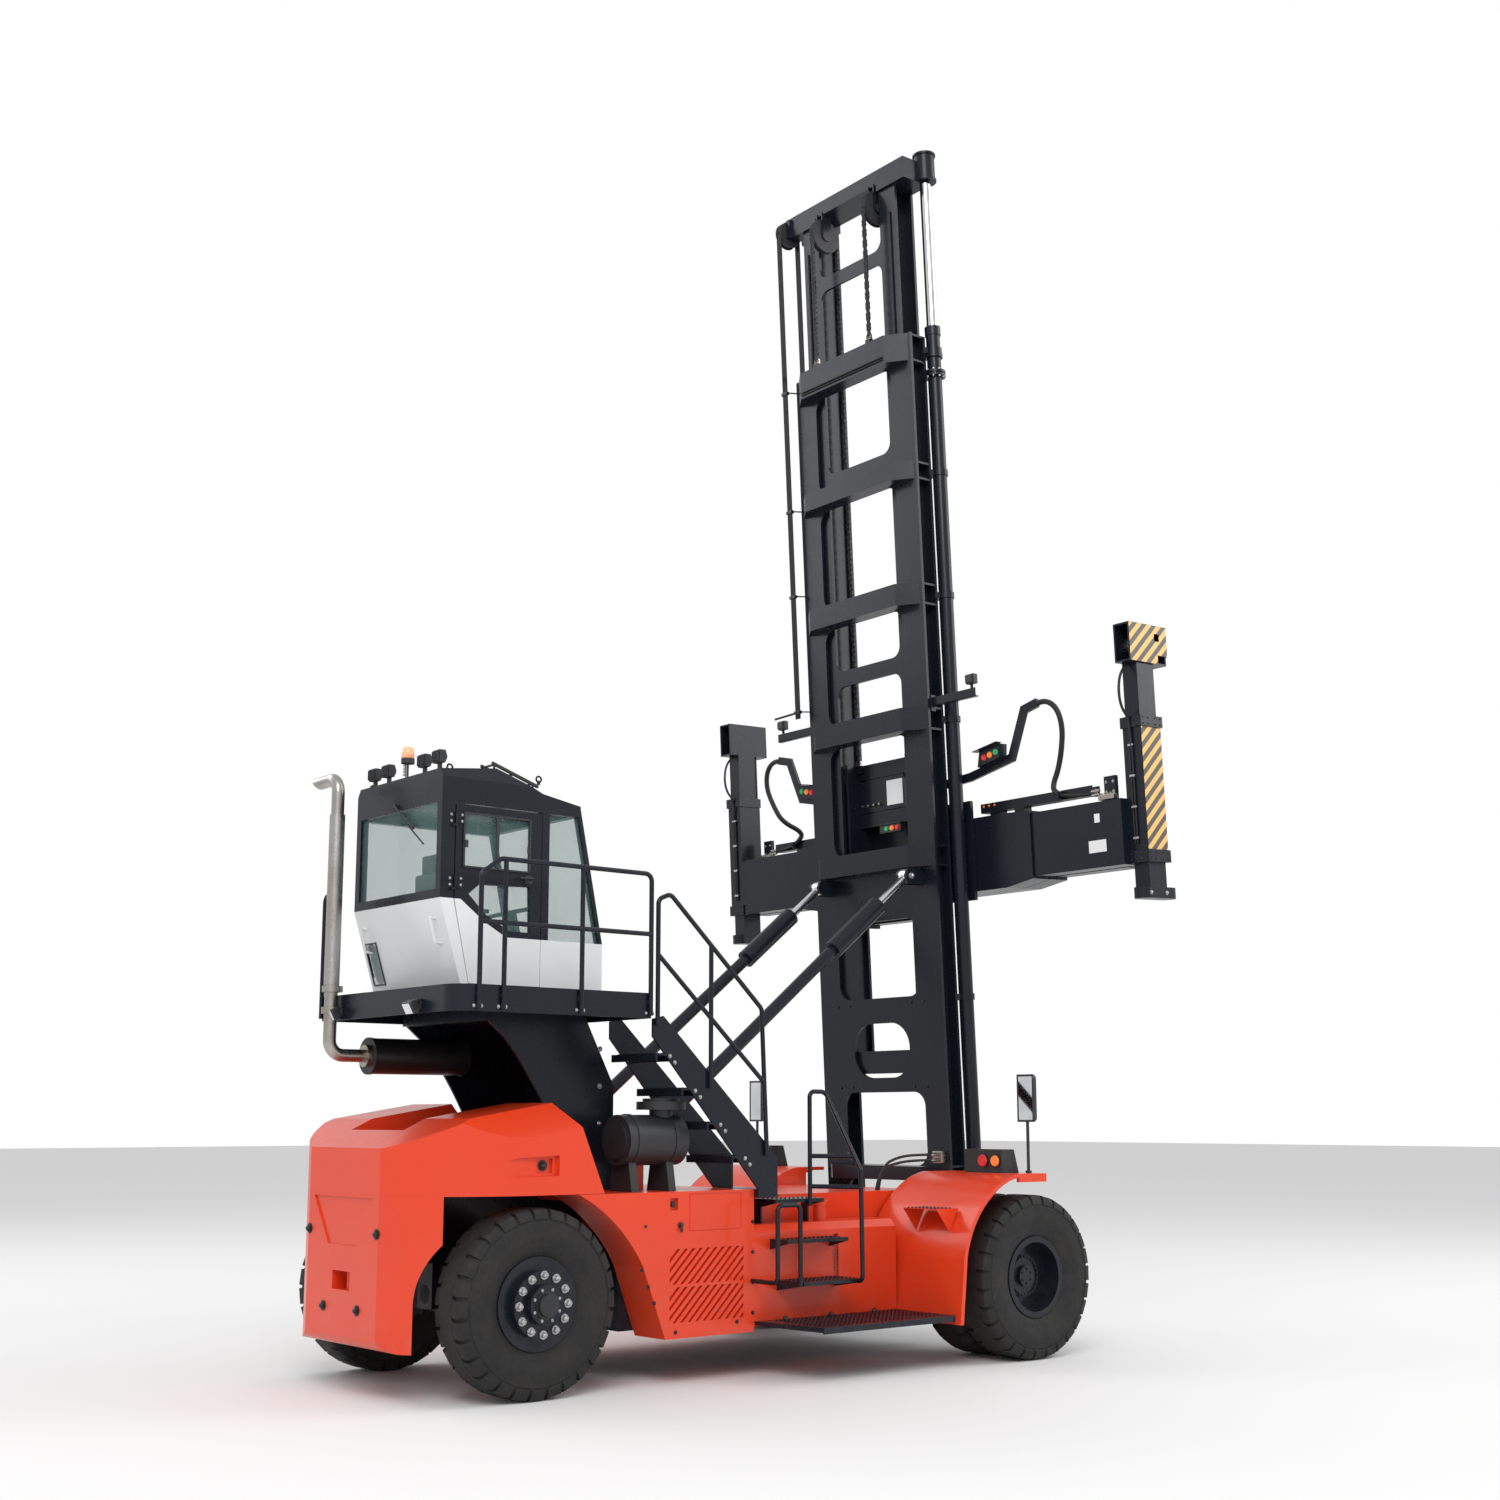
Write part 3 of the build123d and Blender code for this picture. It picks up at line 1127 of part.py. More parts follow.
def door_lower():
    """White lower half of the door."""
    low = CAB_FLOOR + DOOR_GAP
    front = DOOR_FRONT - DOOR_GAP
    drop = [(x + DOOR_GAP, z - FIT) for x, z in SIDE_DROP]
    points = [(DOOR_REAR_FOOT + DOOR_GAP, low), (front, low),
        (front, drop[0][1])] + drop + [(DOOR_REAR + DOOR_GAP * 2, drop[2][1])]
    return door_plate(points)


def door_frame():
    """Dark upper half of the door around its two windows."""
    front = DOOR_FRONT - DOOR_GAP
    drop = [(x + DOOR_GAP, z) for x, z in SIDE_DROP]
    points = [(front, drop[0][1])] + drop + [(DOOR_REAR + DOOR_GAP * 2, drop[2][1]),
        (DOOR_REAR + DOOR_GAP * 2, DOOR_TOP), (front, DOOR_TOP)]
    return fuse([door_plate(points) - door_plate(DOOR_UPPER) - door_plate(DOOR_LOWER)] + door_hinges())


def door_glass():
    """Two door panes, a hair inside their openings."""
    panes = []
    for points in (DOOR_UPPER, DOOR_LOWER):
        face = make_face(Polyline([(x, 0, z) for x, z in points], close=True))
        smaller = offset(face, amount=-FIT)
        panes.append(Pos(0, DOOR_WALL / 2 - CAB_Y, 0) * extrude(smaller, amount=GLASS, dir=(0, 1, 0)))
    return panes


SEAT_X = (-330.0, 180.0)
SEAT_Y = 240.0
SEAT_Z = 3560.0
SEAT_THICK = 110.0
SEAT_BACK = 110.0
SEAT_TOP = 4190.0


def seat():
    """Operator's seat: pedestal, cushion and back rest."""
    base = block((SEAT_X[0] + SEAT_BACK, SEAT_X[1] - SEAT_BACK), (SEAT_BACK - SEAT_Y, SEAT_Y - SEAT_BACK),
        (CAB_FLOOR + CAB_WALL, SEAT_Z - SEAT_THICK))
    cushion = block(SEAT_X, (-SEAT_Y, SEAT_Y), (SEAT_Z - SEAT_THICK, SEAT_Z))
    back = block((SEAT_X[0], SEAT_X[0] + SEAT_BACK), (-SEAT_Y, SEAT_Y), (SEAT_Z, SEAT_TOP))
    return fuse([base, cushion, back])


COLUMN_X = 640.0
COLUMN_R = 45.0
HANDWHEEL = (480.0, 3760.0)
HANDWHEEL_R = 190.0
HANDWHEEL_GRIP_R = 14.0


def console():
    """Steering column with its handwheel."""
    foot = block((COLUMN_X - COLUMN_R * 2, COLUMN_X + COLUMN_R * 2), (-COLUMN_R * 2, COLUMN_R * 2),
        (CAB_FLOOR + CAB_WALL + FIT, CAB_FLOOR + CAB_WALL + COLUMN_R))
    column = bar((COLUMN_X, 0, CAB_FLOOR + CAB_WALL + COLUMN_R), (HANDWHEEL[0], 0, HANDWHEEL[1]), COLUMN_R)
    tilt = Plane(origin=(HANDWHEEL[0], 0, HANDWHEEL[1]), z_dir=(HANDWHEEL[0] - COLUMN_X, 0,
        HANDWHEEL[1] - CAB_FLOOR - CAB_WALL))
    ring = tilt * Torus(HANDWHEEL_R, HANDWHEEL_GRIP_R)
    spoke = tilt * Box(HANDWHEEL_R * 2, COLUMN_R, HANDWHEEL_GRIP_R)
    return fuse([foot, column, ring, spoke])


# Exhaust and air cleaner

STACK_X = -895.0
STACK_Y = 470.0
STACK_R = 52.0
SHIELD_R = 62.0
SHIELD_Z = (3115.0, 4500.0)
MUFFLER_X = (-550.0, 330.0)
MUFFLER_Z = 2560.0
MUFFLER_R = 143.0
MUFFLER_CAP_R = 90.0
MUFFLER_CAP = 40.0
OUTLET = (830.0, 4805.0)
OUTLET_CUT = 60.0
STACK_BEND = 120.0
CLAMP_ROWS = (2890.0, 3060.0)


def exhaust():
    """Muffler under the platform, riser with heat shield and outlet cut on a slant."""
    y = STACK_Y
    muffler = bar((MUFFLER_X[0], y, MUFFLER_Z), (MUFFLER_X[1], y, MUFFLER_Z), MUFFLER_R)
    neck = bar((MUFFLER_X[0] - MUFFLER_CAP, y, MUFFLER_Z), (MUFFLER_X[0], y, MUFFLER_Z), MUFFLER_CAP_R)
    pipe = bent_bar(
        [
            (MUFFLER_X[0], y, MUFFLER_Z), (STACK_X, y, MUFFLER_Z), (STACK_X, y, OUTLET[1]),
            (STACK_X, OUTLET[0] + OUTLET_CUT, OUTLET[1]),
        ],
        STACK_R, STACK_BEND,
    )
    low = OUTLET[1] - STACK_R - OVERRUN
    high = OUTLET[1] + STACK_R + OVERRUN
    slant = [(OUTLET[0] - OUTLET_CUT, low), (OUTLET[0] + OUTLET_CUT, high),
        (OUTLET[0] + OUTLET_CUT * 2, high),
             (OUTLET[0] + OUTLET_CUT * 2, low)]
    pipe -= cross_plate(slant, STACK_X - STACK_R - OVERRUN, STACK_X + STACK_R + OVERRUN)
    shield = bar((STACK_X, y, SHIELD_Z[0]), (STACK_X, y, SHIELD_Z[1]), SHIELD_R)
    clamps = []
    for z in CLAMP_ROWS:
        clamps.append(block((STACK_X, PLATFORM_REAR - FIT), (y - STACK_R, y + STACK_R), (z, z + YOKE)))
        clamps.append(bar((STACK_X, y, z), (STACK_X, y, z + YOKE), SHIELD_R + PLATFORM_SKIRT))
    return fuse([muffler, neck, pipe, shield] + clamps)


CLEANER_X = (880.0, 1460.0)
CLEANER_Y = -990.0
CLEANER_Z = 1890.0
CLEANER_R = 200.0
CLEANER_BANDS = (960.0, 1330.0)
BAND_WIDE = 36.0
BAND_OUT = 7.0
LID_R = 150.0
LID_OUT = 18.0
CAP_X = 1320.0
CAP_Z = (2130.0, 2195.0)
CAP_BOWL_R = 200.0
CAP_STEM_R = 95.0
CAP_CROWN = 25.0
FOOT_LONG = 70.0
FOOT_HALF = 150.0


def air_cleaner():
    """Intake air cleaner with band clamps on two feet, and its rain cap."""
    y, z = CLEANER_Y, CLEANER_Z
    body = bar((CLEANER_X[0], y, z), (CLEANER_X[1], y, z), CLEANER_R)
    lid = bar((CLEANER_X[0] - LID_OUT, y, z), (CLEANER_X[0], y, z), LID_R)
    bands = [bar((x, y, z), (x + BAND_WIDE, y, z), CLEANER_R + BAND_OUT) for x in CLEANER_BANDS]
    stem = bar((CAP_X, y, z), (CAP_X, y, CAP_Z[1]), CAP_STEM_R)
    bowl = bar((CAP_X, y, CAP_Z[0]), (CAP_X, y, CAP_Z[1]), CAP_BOWL_R)
    crown = bar((CAP_X, y, CAP_Z[1]), (CAP_X, y, CAP_Z[1] + CAP_CROWN), CAP_BOWL_R - CLEANER_R / 4)
    feet = []
    for x in CLEANER_BANDS:
        outline = [(y - FOOT_HALF, ARCH_POINTS[3][1] + FIT), (y + FOOT_HALF, ARCH_POINTS[3][1] + FIT),
            (y + LID_R / 2, z), (y - LID_R / 2, z)]
        feet.append(cross_plate(outline, x - FOOT_LONG / 2, x + FOOT_LONG / 2))
    return fuse([body, lid, stem, bowl, crown] + bands + feet)


# Mirrors and lamps

MIRROR_X = WHEELBASE + 90.0
MIRROR_Y = 1870.0
MIRROR_Z = (2030.0, 2450.0)
MIRROR_HALF = 95.0
MIRROR_THICK = 40.0
MIRROR_ROUND = 40.0
MIRROR_POST_R = 14.0
LAMP_BOX_X = (WHEELBASE - 170.0, WHEELBASE + 50.0)
LAMP_BOX_Y = (1340.0, 1790.0)
LAMP_BOX_Z = 1790.0
LAMP_BOX_SLANT = 60.0


def mirrors():
    """Wing mirrors with rounded heads on posts at the fenders' front edges."""
    post = bar((MIRROR_X, MIRROR_Y, FENDER_TOP + FIT), (MIRROR_X, MIRROR_Y, MIRROR_Z[0] + OVERRUN),
        MIRROR_POST_R)
    foot = bar((MIRROR_X, MIRROR_Y, FENDER_TOP + FIT), (MIRROR_X, MIRROR_Y, FENDER_TOP + OVERRUN),
        MIRROR_POST_R * 2)
    half = MIRROR_THICK / 2
    head = Pos(0, MIRROR_Y, 0) * rounded_hole(MIRROR_X - half, MIRROR_X + half, MIRROR_HALF, *MIRROR_Z,
        MIRROR_ROUND)
    return both_sides(fuse([post, foot, head]))


def lamp_boxes():
    """Lamp housings with slanted fronts on top of the fenders."""
    rear, front = LAMP_BOX_X
    low = FENDER_TOP + FIT
    outline = [(rear, low), (front, low), (front - LAMP_BOX_SLANT, LAMP_BOX_Z), (rear, LAMP_BOX_Z)]
    return both_sides(side_plate(outline, *LAMP_BOX_Y))


ROOF_LAMPS = (480.0, 250.0, -330.0, -560.0)
ROOF_LAMP_X = -555.0
ROOF_LAMP_Z = 4750.0
ROOF_LAMP = (70.0, 110.0, 100.0)
ROOF_LAMP_POST = 70.0
BEACON_Y = -50.0
BEACON_R = 55.0
BEACON_Z = (4890.0, 4930.0)
GUARD_Y = (330.0, 500.0)
GUARD_RUN = ((-40.0, 4905.0), (400.0, 4760.0))
GUARD_BAR = 24.0
GUARD_POSTS = ((-20.0, 4780.0, 110.0), (350.0, 4660.0, 100.0))
GUARD_STRIPS = ((-20.0, 4900.0), (160.0, 4840.0), (340.0, 4782.0))


def roof_guard():
    """Sloping two-bar guard over the right half of the roof's front."""
    parts = []
    for y in GUARD_Y:
        outline = [(x, z) for x, z in GUARD_RUN] + [(x, z - GUARD_BAR) for x, z in reversed(GUARD_RUN)]
        parts.append(side_plate(outline, -y - GUARD_BAR / 2, GUARD_BAR / 2 - y))
    for x, z in GUARD_STRIPS:
        parts.append(block((x - GUARD_BAR / 2, x + GUARD_BAR / 2), (-GUARD_Y[1], -GUARD_Y[0]),
            (z - GUARD_BAR, z - GUARD_BAR / 2)))
    for x, z, tall in GUARD_POSTS:
        for y in GUARD_Y:
            parts.append(bar((x, -y, z), (x, -y, z + tall), RAIL_R / 2))
    return fuse(parts)


def roof_lamps():
    """Work lamps along the roof's rear edge, the beacon's stem and the roof guards."""
    lamps = []
    half_x, half_y, tall = ROOF_LAMP[0] / 2, ROOF_LAMP[1] / 2, ROOF_LAMP[2]
    for y in ROOF_LAMPS:
        post = bar((ROOF_LAMP_X, y, ROOF_LAMP_Z), (ROOF_LAMP_X, y, ROOF_LAMP_Z + ROOF_LAMP_POST), RAIL_R)
        low = ROOF_LAMP_Z + ROOF_LAMP_POST - FIT
        lens = [
            (ROOF_LAMP_X - half_x, low), (ROOF_LAMP_X + half_x / 2, low), (ROOF_LAMP_X + half_x,
                low + tall / 2),
            (ROOF_LAMP_X + half_x / 2, low + tall), (ROOF_LAMP_X - half_x, low + tall),
        ]
        lamps.append(fuse([post, side_plate(lens, y - half_y, y + half_y)]))
    stem = bar((ROOF_LAMP_X, BEACON_Y, ROOF_LAMP_Z), (ROOF_LAMP_X, BEACON_Y, BEACON_Z[0]), RAIL_R / 2)
    base = bar((ROOF_LAMP_X, BEACON_Y, BEACON_Z[0]), (ROOF_LAMP_X, BEACON_Y, BEACON_Z[1]), BEACON_R)
    seat_form = Pos(0, 0, FIT) * cab_roof()
    return [piece - seat_form for piece in lamps + [fuse([stem, base])] + both_sides(roof_guard())]


# Outer mast

LOW_CROSS = (1500.0, 1630.0)
PLATE_CROSS = (4450.0, 4660.0)
TOP_CROSS_TALL = 280.0
UPPER_CROSS = (
    # share of the legs above the window plate, height
    (0.218, 225.0),
    (0.461, 215.0),
    (0.708, 180.0),
)
CROSS_FACE_Y = 620.0
WEB_PLATE_LOW = 2320.0
WEB_WINDOW_Z = (3230.0, 3980.0)
WEB_HOLE_Y = 385.0
WEB_HOLE_Z = (2460.0, 2985.0)
WEB_HOLE_ROUND = 240.0
WINDOW_ROUND = 140.0
LUG_LOW = 520.0
LUG_Y = (655.0, 765.0)
CLAMP_LOW_ROWS = (960.0, 1600.0, 3200.0)
CLAMP_R = 82.0
CLAMP_THICK = 60.0
EYE_Y = (565.0, 675.0)
EYE_GAP_Y = (577.5, 662.5)
EYE_R = 75.0
TILT_PIN_R = 25.0
TILT_DRIFT = 3.0
EYE_PLATE = 25.0
STIFFENER = 20.0
ANCHOR_TALL = 40.0
ANCHOR_HALF = 30.0


def cross_rows():
    """Low and high edges of the outer mast's cross members, from the bottom up."""
    span = OUTER_TOP - PLATE_CROSS[1]
    rows = [LOW_CROSS, PLATE_CROSS]
    for share, height in UPPER_CROSS:
        low = PLATE_CROSS[1] + span * share
        rows.append((low, low + height))
    return rows + [(OUTER_TOP - TOP_CROSS_TALL, OUTER_TOP)]


def mast_windows():
    """Half width, low edge, high edge and corner radius of the openings in the rear plate."""
    rows = cross_rows()
    windows = [
        (OUTER_IN_Y, OUTER_FOOT - OUTER_IN_Y, LOW_CROSS[0], WINDOW_ROUND),
        (OUTER_IN_Y, LOW_CROSS[1], WEB_PLATE_LOW, WINDOW_ROUND),
        (WEB_HOLE_Y, WEB_HOLE_Z[0], WEB_HOLE_Z[1], WEB_HOLE_ROUND),
        (OUTER_IN_Y, WEB_WINDOW_Z[0], WEB_WINDOW_Z[1], WINDOW_ROUND),
    ]
    for below, above in zip(rows[1:], rows[2:]):
        windows.append((OUTER_IN_Y, below[1], above[0], WINDOW_ROUND))
    return windows


def rear_plate():
    """Rear flanges of both legs as one plate with rounded windows between the cross members."""
    plate = block((OUTER_REAR, OUTER_REAR + FLANGE), (-OUTER_OUT_Y, OUTER_OUT_Y), (OUTER_FOOT, OUTER_TOP))
    for half, low, high, radius in mast_windows():
        plate -= rounded_hole(OUTER_REAR - OVERRUN, OUTER_REAR + FLANGE + OVERRUN, half, low, high, radius)
    return plate


def outer_leg():
    """Left leg of the outer mast: web, front flange, stiffeners and the lug for the mast pivot."""
    height = (OUTER_FOOT, OUTER_TOP)
    outer = OUTER_OUT_Y - OVERRUN
    parts = [
        block((OUTER_REAR, OUTER_FRONT), (WEB_IN_Y, WEB_IN_Y + FLANGE), height),
        block((OUTER_FRONT - FLANGE, OUTER_FRONT), (OUTER_IN_Y, outer), height),
    ]
    for low, high in cross_rows():
        for z in (low, high - STIFFENER):
            parts.append(block((OUTER_REAR, OUTER_FRONT), (WEB_IN_Y, outer), (z, z + STIFFENER)))
    lug = block((OUTER_REAR + FLANGE, OUTER_FRONT), LUG_Y, (LUG_LOW, OUTER_FOOT + FLANGE))
    lug -= pin_y(MAST_PIVOT_X, MAST_PIVOT_Z, LUG_Y[0] - OVERRUN, LUG_Y[1] + OVERRUN, PIVOT_R + PIN_FIT)
    return fuse(parts + [lug])


def cross_member(low, high):
    """Box member behind the legs, with ends that slant to the legs' outer edges."""
    outline = [
        (CROSS_REAR, -CROSS_FACE_Y), (CROSS_REAR, CROSS_FACE_Y), (OUTER_REAR + FLANGE, OUTER_OUT_Y),
        (OUTER_REAR + FLANGE, -OUTER_OUT_Y),
    ]
    return plan_plate(outline, low, high)


def lift_clamp(z):
    """Bracket that holds a lift cylinder to the left leg: a tapered plate and a ring."""
    low = z - CLAMP_THICK / 2
    high = z + CLAMP_THICK / 2
    ring = bar((LIFT_X, LIFT_Y, low), (LIFT_X, LIFT_Y, high), CLAMP_R)
    outline = [
        (OUTER_FRONT - FLANGE, WEB_IN_Y), (OUTER_FRONT - FLANGE, OUTER_OUT_Y - OVERRUN),
        (LIFT_X, LIFT_Y + CLAMP_R - FLANGE), (LIFT_X, LIFT_Y - CLAMP_R + FIT), (OUTER_FRONT, WEB_IN_Y),
    ]
    hole = bar((LIFT_X, LIFT_Y, low - OVERRUN), (LIFT_X, LIFT_Y, high + OVERRUN), LIFT_TUBE_R + FIT)
    return ring + plan_plate(outline, low, high) - hole


def tilt_lug():
    """Two rounded ears on the left leg for the tilt cylinder's eye."""
    ears = []
    for y in EYE_Y:
        tongue = block((TILT_EYE_X, OUTER_REAR + FLANGE), (y - EYE_PLATE / 2, y + EYE_PLATE / 2),
                       (TILT_EYE_Z - EYE_R, TILT_EYE_Z + EYE_R))
        nose = pin_y(TILT_EYE_X, TILT_EYE_Z, y - EYE_PLATE / 2, y + EYE_PLATE / 2, EYE_R)
        ears += [tongue, nose]
    ears.append(pin_y(TILT_EYE_X, TILT_EYE_Z, EYE_Y[0], EYE_Y[1], TILT_PIN_R))
    return ears


def chain_anchor():
    """Block on the top cross member that holds the left chain's fixed end."""
    x = SHEAVE_X - SHEAVE_R
    return block((x - ANCHOR_HALF, x + ANCHOR_HALF), (CHAIN_Y - ANCHOR_HALF, CHAIN_Y + ANCHOR_HALF),
                 (OUTER_TOP - STIFFENER, OUTER_TOP + ANCHOR_TALL))


def outer_mast():
    """Outer mast: two legs, cross members, window plate and cylinder brackets."""
    parts = [rear_plate()] + both_sides(outer_leg()) + both_sides(chain_anchor())
    rows = cross_rows()
    for low, high in rows:
        parts.append(cross_member(low, high))
    middles = [(low + high) / 2 for low, high in rows[2:]]
    for z in CLAMP_LOW_ROWS + tuple(middles):
        parts += both_sides(lift_clamp(z))
    for ear in tilt_lug():
        parts += both_sides(ear)
    return lean(fuse(parts))


LIFT_LOW = 640.0
LIFT_HEAD = OUTER_TOP + 110.0
GLAND_R = 79.0
GLAND_TALL = 90.0


def lift_barrels():
    """Barrels of the two lift cylinders with their glands."""
    tube = bar((LIFT_X, LIFT_Y, LIFT_LOW), (LIFT_X, LIFT_Y, LIFT_HEAD), LIFT_TUBE_R)
    gland = bar((LIFT_X, LIFT_Y, LIFT_HEAD - GLAND_TALL), (LIFT_X, LIFT_Y, LIFT_HEAD), GLAND_R)
    bore = bar((LIFT_X, LIFT_Y, BORE_LOW), (LIFT_X, LIFT_Y, LIFT_HEAD + OVERRUN), LIFT_ROD_R + PIN_FIT)
    return [lean(shape) for shape in both_sides(tube + gland - bore)]


# Inner mast

INNER_FOOT_CROSS = (20.0, 220.0)
INNER_CROSS_ROWS = (
    # drop of the low edge under the top, height
    (5190.0, 160.0),
    (3090.0, 140.0),
    (970.0, 145.0),
)
INNER_ROUND = 110.0
TOP_BEAM_TALL = 220.0
TOP_BRIDGE_TALL = 150.0
TOP_CAP_R = 104.0
TOP_RIM_R = 116.0
TOP_RIM = 22.0
TOP_CAP_RISE = 90.0
SHEAVE_WIDE = 60.0
SHEAVE_FLANGE = 22.0
FORK_PLATE = 16.0
FORK_R = 60.0
SHAFT_R = 38.0
CHAIN_WIDE = 50.0
CHAIN_THICK = 26.0
LINK_PITCH = 110.0
LINK_NECK = 10.0
ROD_LOW = 2500.0
BORE_LOW = 720.0
HOSE_SHEAVE_X = 240.0
HOSE_SHEAVE_Y = 930.0
HOSE_SHEAVE_R = 118.0
HOSE_SHEAVE_WIDE = 84.0


def inner_rows():
    """Low and high edges of the inner mast's cross plates, from the bottom up."""
    rows = [(INNER_FOOT + INNER_FOOT_CROSS[0], INNER_FOOT + INNER_FOOT_CROSS[1])]
    for drop, height in INNER_CROSS_ROWS:
        rows.append((INNER_TOP - drop, INNER_TOP - drop + height))
    return rows + [(INNER_TOP - TOP_BRIDGE_TALL, INNER_TOP)]


def inner_rear_plate():
    """Rear flanges of both inner legs as one plate with rounded windows."""
    plate = block((INNER_REAR, INNER_REAR + FLANGE), (-INNER_RAIL_Y, INNER_RAIL_Y), (INNER_FOOT, INNER_TOP))
    rows = inner_rows()
    for below, above in zip(rows, rows[1:]):
        plate -= rounded_hole(
            INNER_REAR - OVERRUN, INNER_REAR + FLANGE + OVERRUN, INNER_IN_Y, below[1], above[0], INNER_ROUND
        )
    return plate


def inner_leg():
    """Web and front flange of the inner mast's left leg."""
    height = (INNER_FOOT, INNER_TOP)
    web = block((INNER_REAR, INNER_FRONT), (INNER_WEB_Y, INNER_WEB_Y + FLANGE), height)
    front = block((INNER_FRONT - FLANGE, INNER_FRONT), (INNER_IN_Y, INNER_OUT_Y), height)
    return web + front


def top_end():
    """Left end of the top beam: a deep box that ends in a flared cap over the lift rod."""
    box = block((INNER_REAR - FLANGE, LIFT_X + TOP_CAP_R / 2), (INNER_IN_Y, LIFT_Y),
        (INNER_TOP - TOP_BEAM_TALL, INNER_TOP))
    low = INNER_TOP - TOP_BEAM_TALL + TOP_RIM
    high = INNER_TOP + TOP_CAP_RISE
    cap = bar((LIFT_X, LIFT_Y, low), (LIFT_X, LIFT_Y, high), TOP_CAP_R)
    rims = [bar((LIFT_X, LIFT_Y, z), (LIFT_X, LIFT_Y, z + TOP_RIM), TOP_RIM_R) for z in (low, high - TOP_RIM)]
    return fuse([box, cap] + rims)


def sheave_fork():
    """Two plates that hang the left chain wheel under the top beam."""
    plates = []
    reach = SHEAVE_WIDE / 2 + FORK_PLATE / 2 + FIT
    for y in (CHAIN_Y - reach, CHAIN_Y + reach):
        across = (y - FORK_PLATE / 2, y + FORK_PLATE / 2)
        hanger = block((SHEAVE_X - FORK_R, SHEAVE_X + FORK_R), across,
            (SHEAVE_Z, INNER_TOP - TOP_BRIDGE_TALL + OVERRUN))
        hanger += pin_y(SHEAVE_X, SHEAVE_Z, *across, FORK_R)
        plates.append(hanger - pin_y(SHEAVE_X, SHEAVE_Z, 0, OUTER_OUT_Y, SHAFT_R + PIN_FIT))
    return plates


def hose_fork():
    """Plate on the left end of the top beam that carries the hose wheel."""
    inner = LIFT_Y - OVERRUN
    outer = HOSE_SHEAVE_Y - HOSE_SHEAVE_WIDE / 2 - FIT
    low = INNER_TOP - TOP_BEAM_TALL
    arm = block((HOSE_SHEAVE_X - FORK_R, HOSE_SHEAVE_X + FORK_R), (inner, outer), (low, INNER_TOP - TOP_RIM))
    shaft = pin_y(HOSE_SHEAVE_X, low + FORK_R, inner, HOSE_SHEAVE_Y + HOSE_SHEAVE_WIDE / 2 + FORK_PLATE,
        SHAFT_R)
    return arm + shaft


def inner_mast():
    """Inner mast with its top beam over the lift rods."""
    parts = [inner_rear_plate()] + both_sides(inner_leg()) + both_sides(top_end())
    bridge = block((INNER_REAR - FLANGE, INNER_FRONT), (-INNER_IN_Y - OVERRUN, INNER_IN_Y + OVERRUN),
                   (INNER_TOP - TOP_BRIDGE_TALL, INNER_TOP))
    parts.append(bridge)
    for plate in sheave_fork():
        parts += both_sides(plate)
    parts.append(hose_fork())
    return lean(fuse(parts))


def lift_rods():
    """Chromed rods of the lift cylinders, up to the inner mast's top beam."""
    high = INNER_TOP - TOP_BEAM_TALL - FIT
    rod = bar((LIFT_X, LIFT_Y, ROD_LOW), (LIFT_X, LIFT_Y, high), LIFT_ROD_R)
    return [lean(shape) for shape in both_sides(rod)]


CHAIN_GUIDE = 4.0


def grooved_wheel(x, z, y, radius, width):
    """Wheel about a Y axis with a rim at each side of its groove."""
    half = width / 2
    wheel = pin_y(x, z, y - half, y + half, radius)
    for side in (-1, 1):
        rim_y = sorted((y + side * half, y + side * (half - CHAIN_GUIDE)))
        wheel += pin_y(x, z, *rim_y, radius + SHEAVE_FLANGE)
    return wheel


def chain_wheels():
    """Two chain wheels on their shafts and the hose wheel."""
    reach = SHEAVE_WIDE / 2 + FORK_PLATE + FIT
    shafts = both_sides(pin_y(SHEAVE_X, SHEAVE_Z, CHAIN_Y - reach, CHAIN_Y + reach, SHAFT_R))
    tread = SHEAVE_R - CHAIN_THICK / 2 - FIT
    wheel = grooved_wheel(SHEAVE_X, SHEAVE_Z, CHAIN_Y, tread, SHEAVE_WIDE)
    pair = [lean(fuse([shaft, rolled])) for shaft, rolled in zip(shafts, both_sides(wheel))]
    hose_z = INNER_TOP - TOP_BEAM_TALL + FORK_R
    hose = grooved_wheel(HOSE_SHEAVE_X, hose_z, HOSE_SHEAVE_Y, HOSE_SHEAVE_R, HOSE_SHEAVE_WIDE)
    hose -= pin_y(HOSE_SHEAVE_X, hose_z, LIFT_Y, HOSE_SHEAVE_Y + HOSE_SHEAVE_WIDE, SHAFT_R + PIN_FIT)
    return pair + [lean(hose)]


def chain_strand(x, z_low, z_high):
    """Straight leaf chain strand: wide links and narrow necks."""
    half = CHAIN_WIDE / 2
    neck = half - LINK_NECK
    count = max(int((z_high - z_low) / LINK_PITCH), 1)
    pitch = (z_high - z_low) / count
    right = []
    for index in range(count):
        z = z_low + index * pitch
        right += [(half, z), (half, z + pitch - LINK_NECK * 2), (neck, z + pitch - LINK_NECK * 2),
            (neck, z + pitch)]
    left = [(-y, z) for y, z in reversed(right)]
    outline = [(CHAIN_Y + y, z) for y, z in right + left]
    return cross_plate(outline, x - CHAIN_THICK / 2, x + CHAIN_THICK / 2)


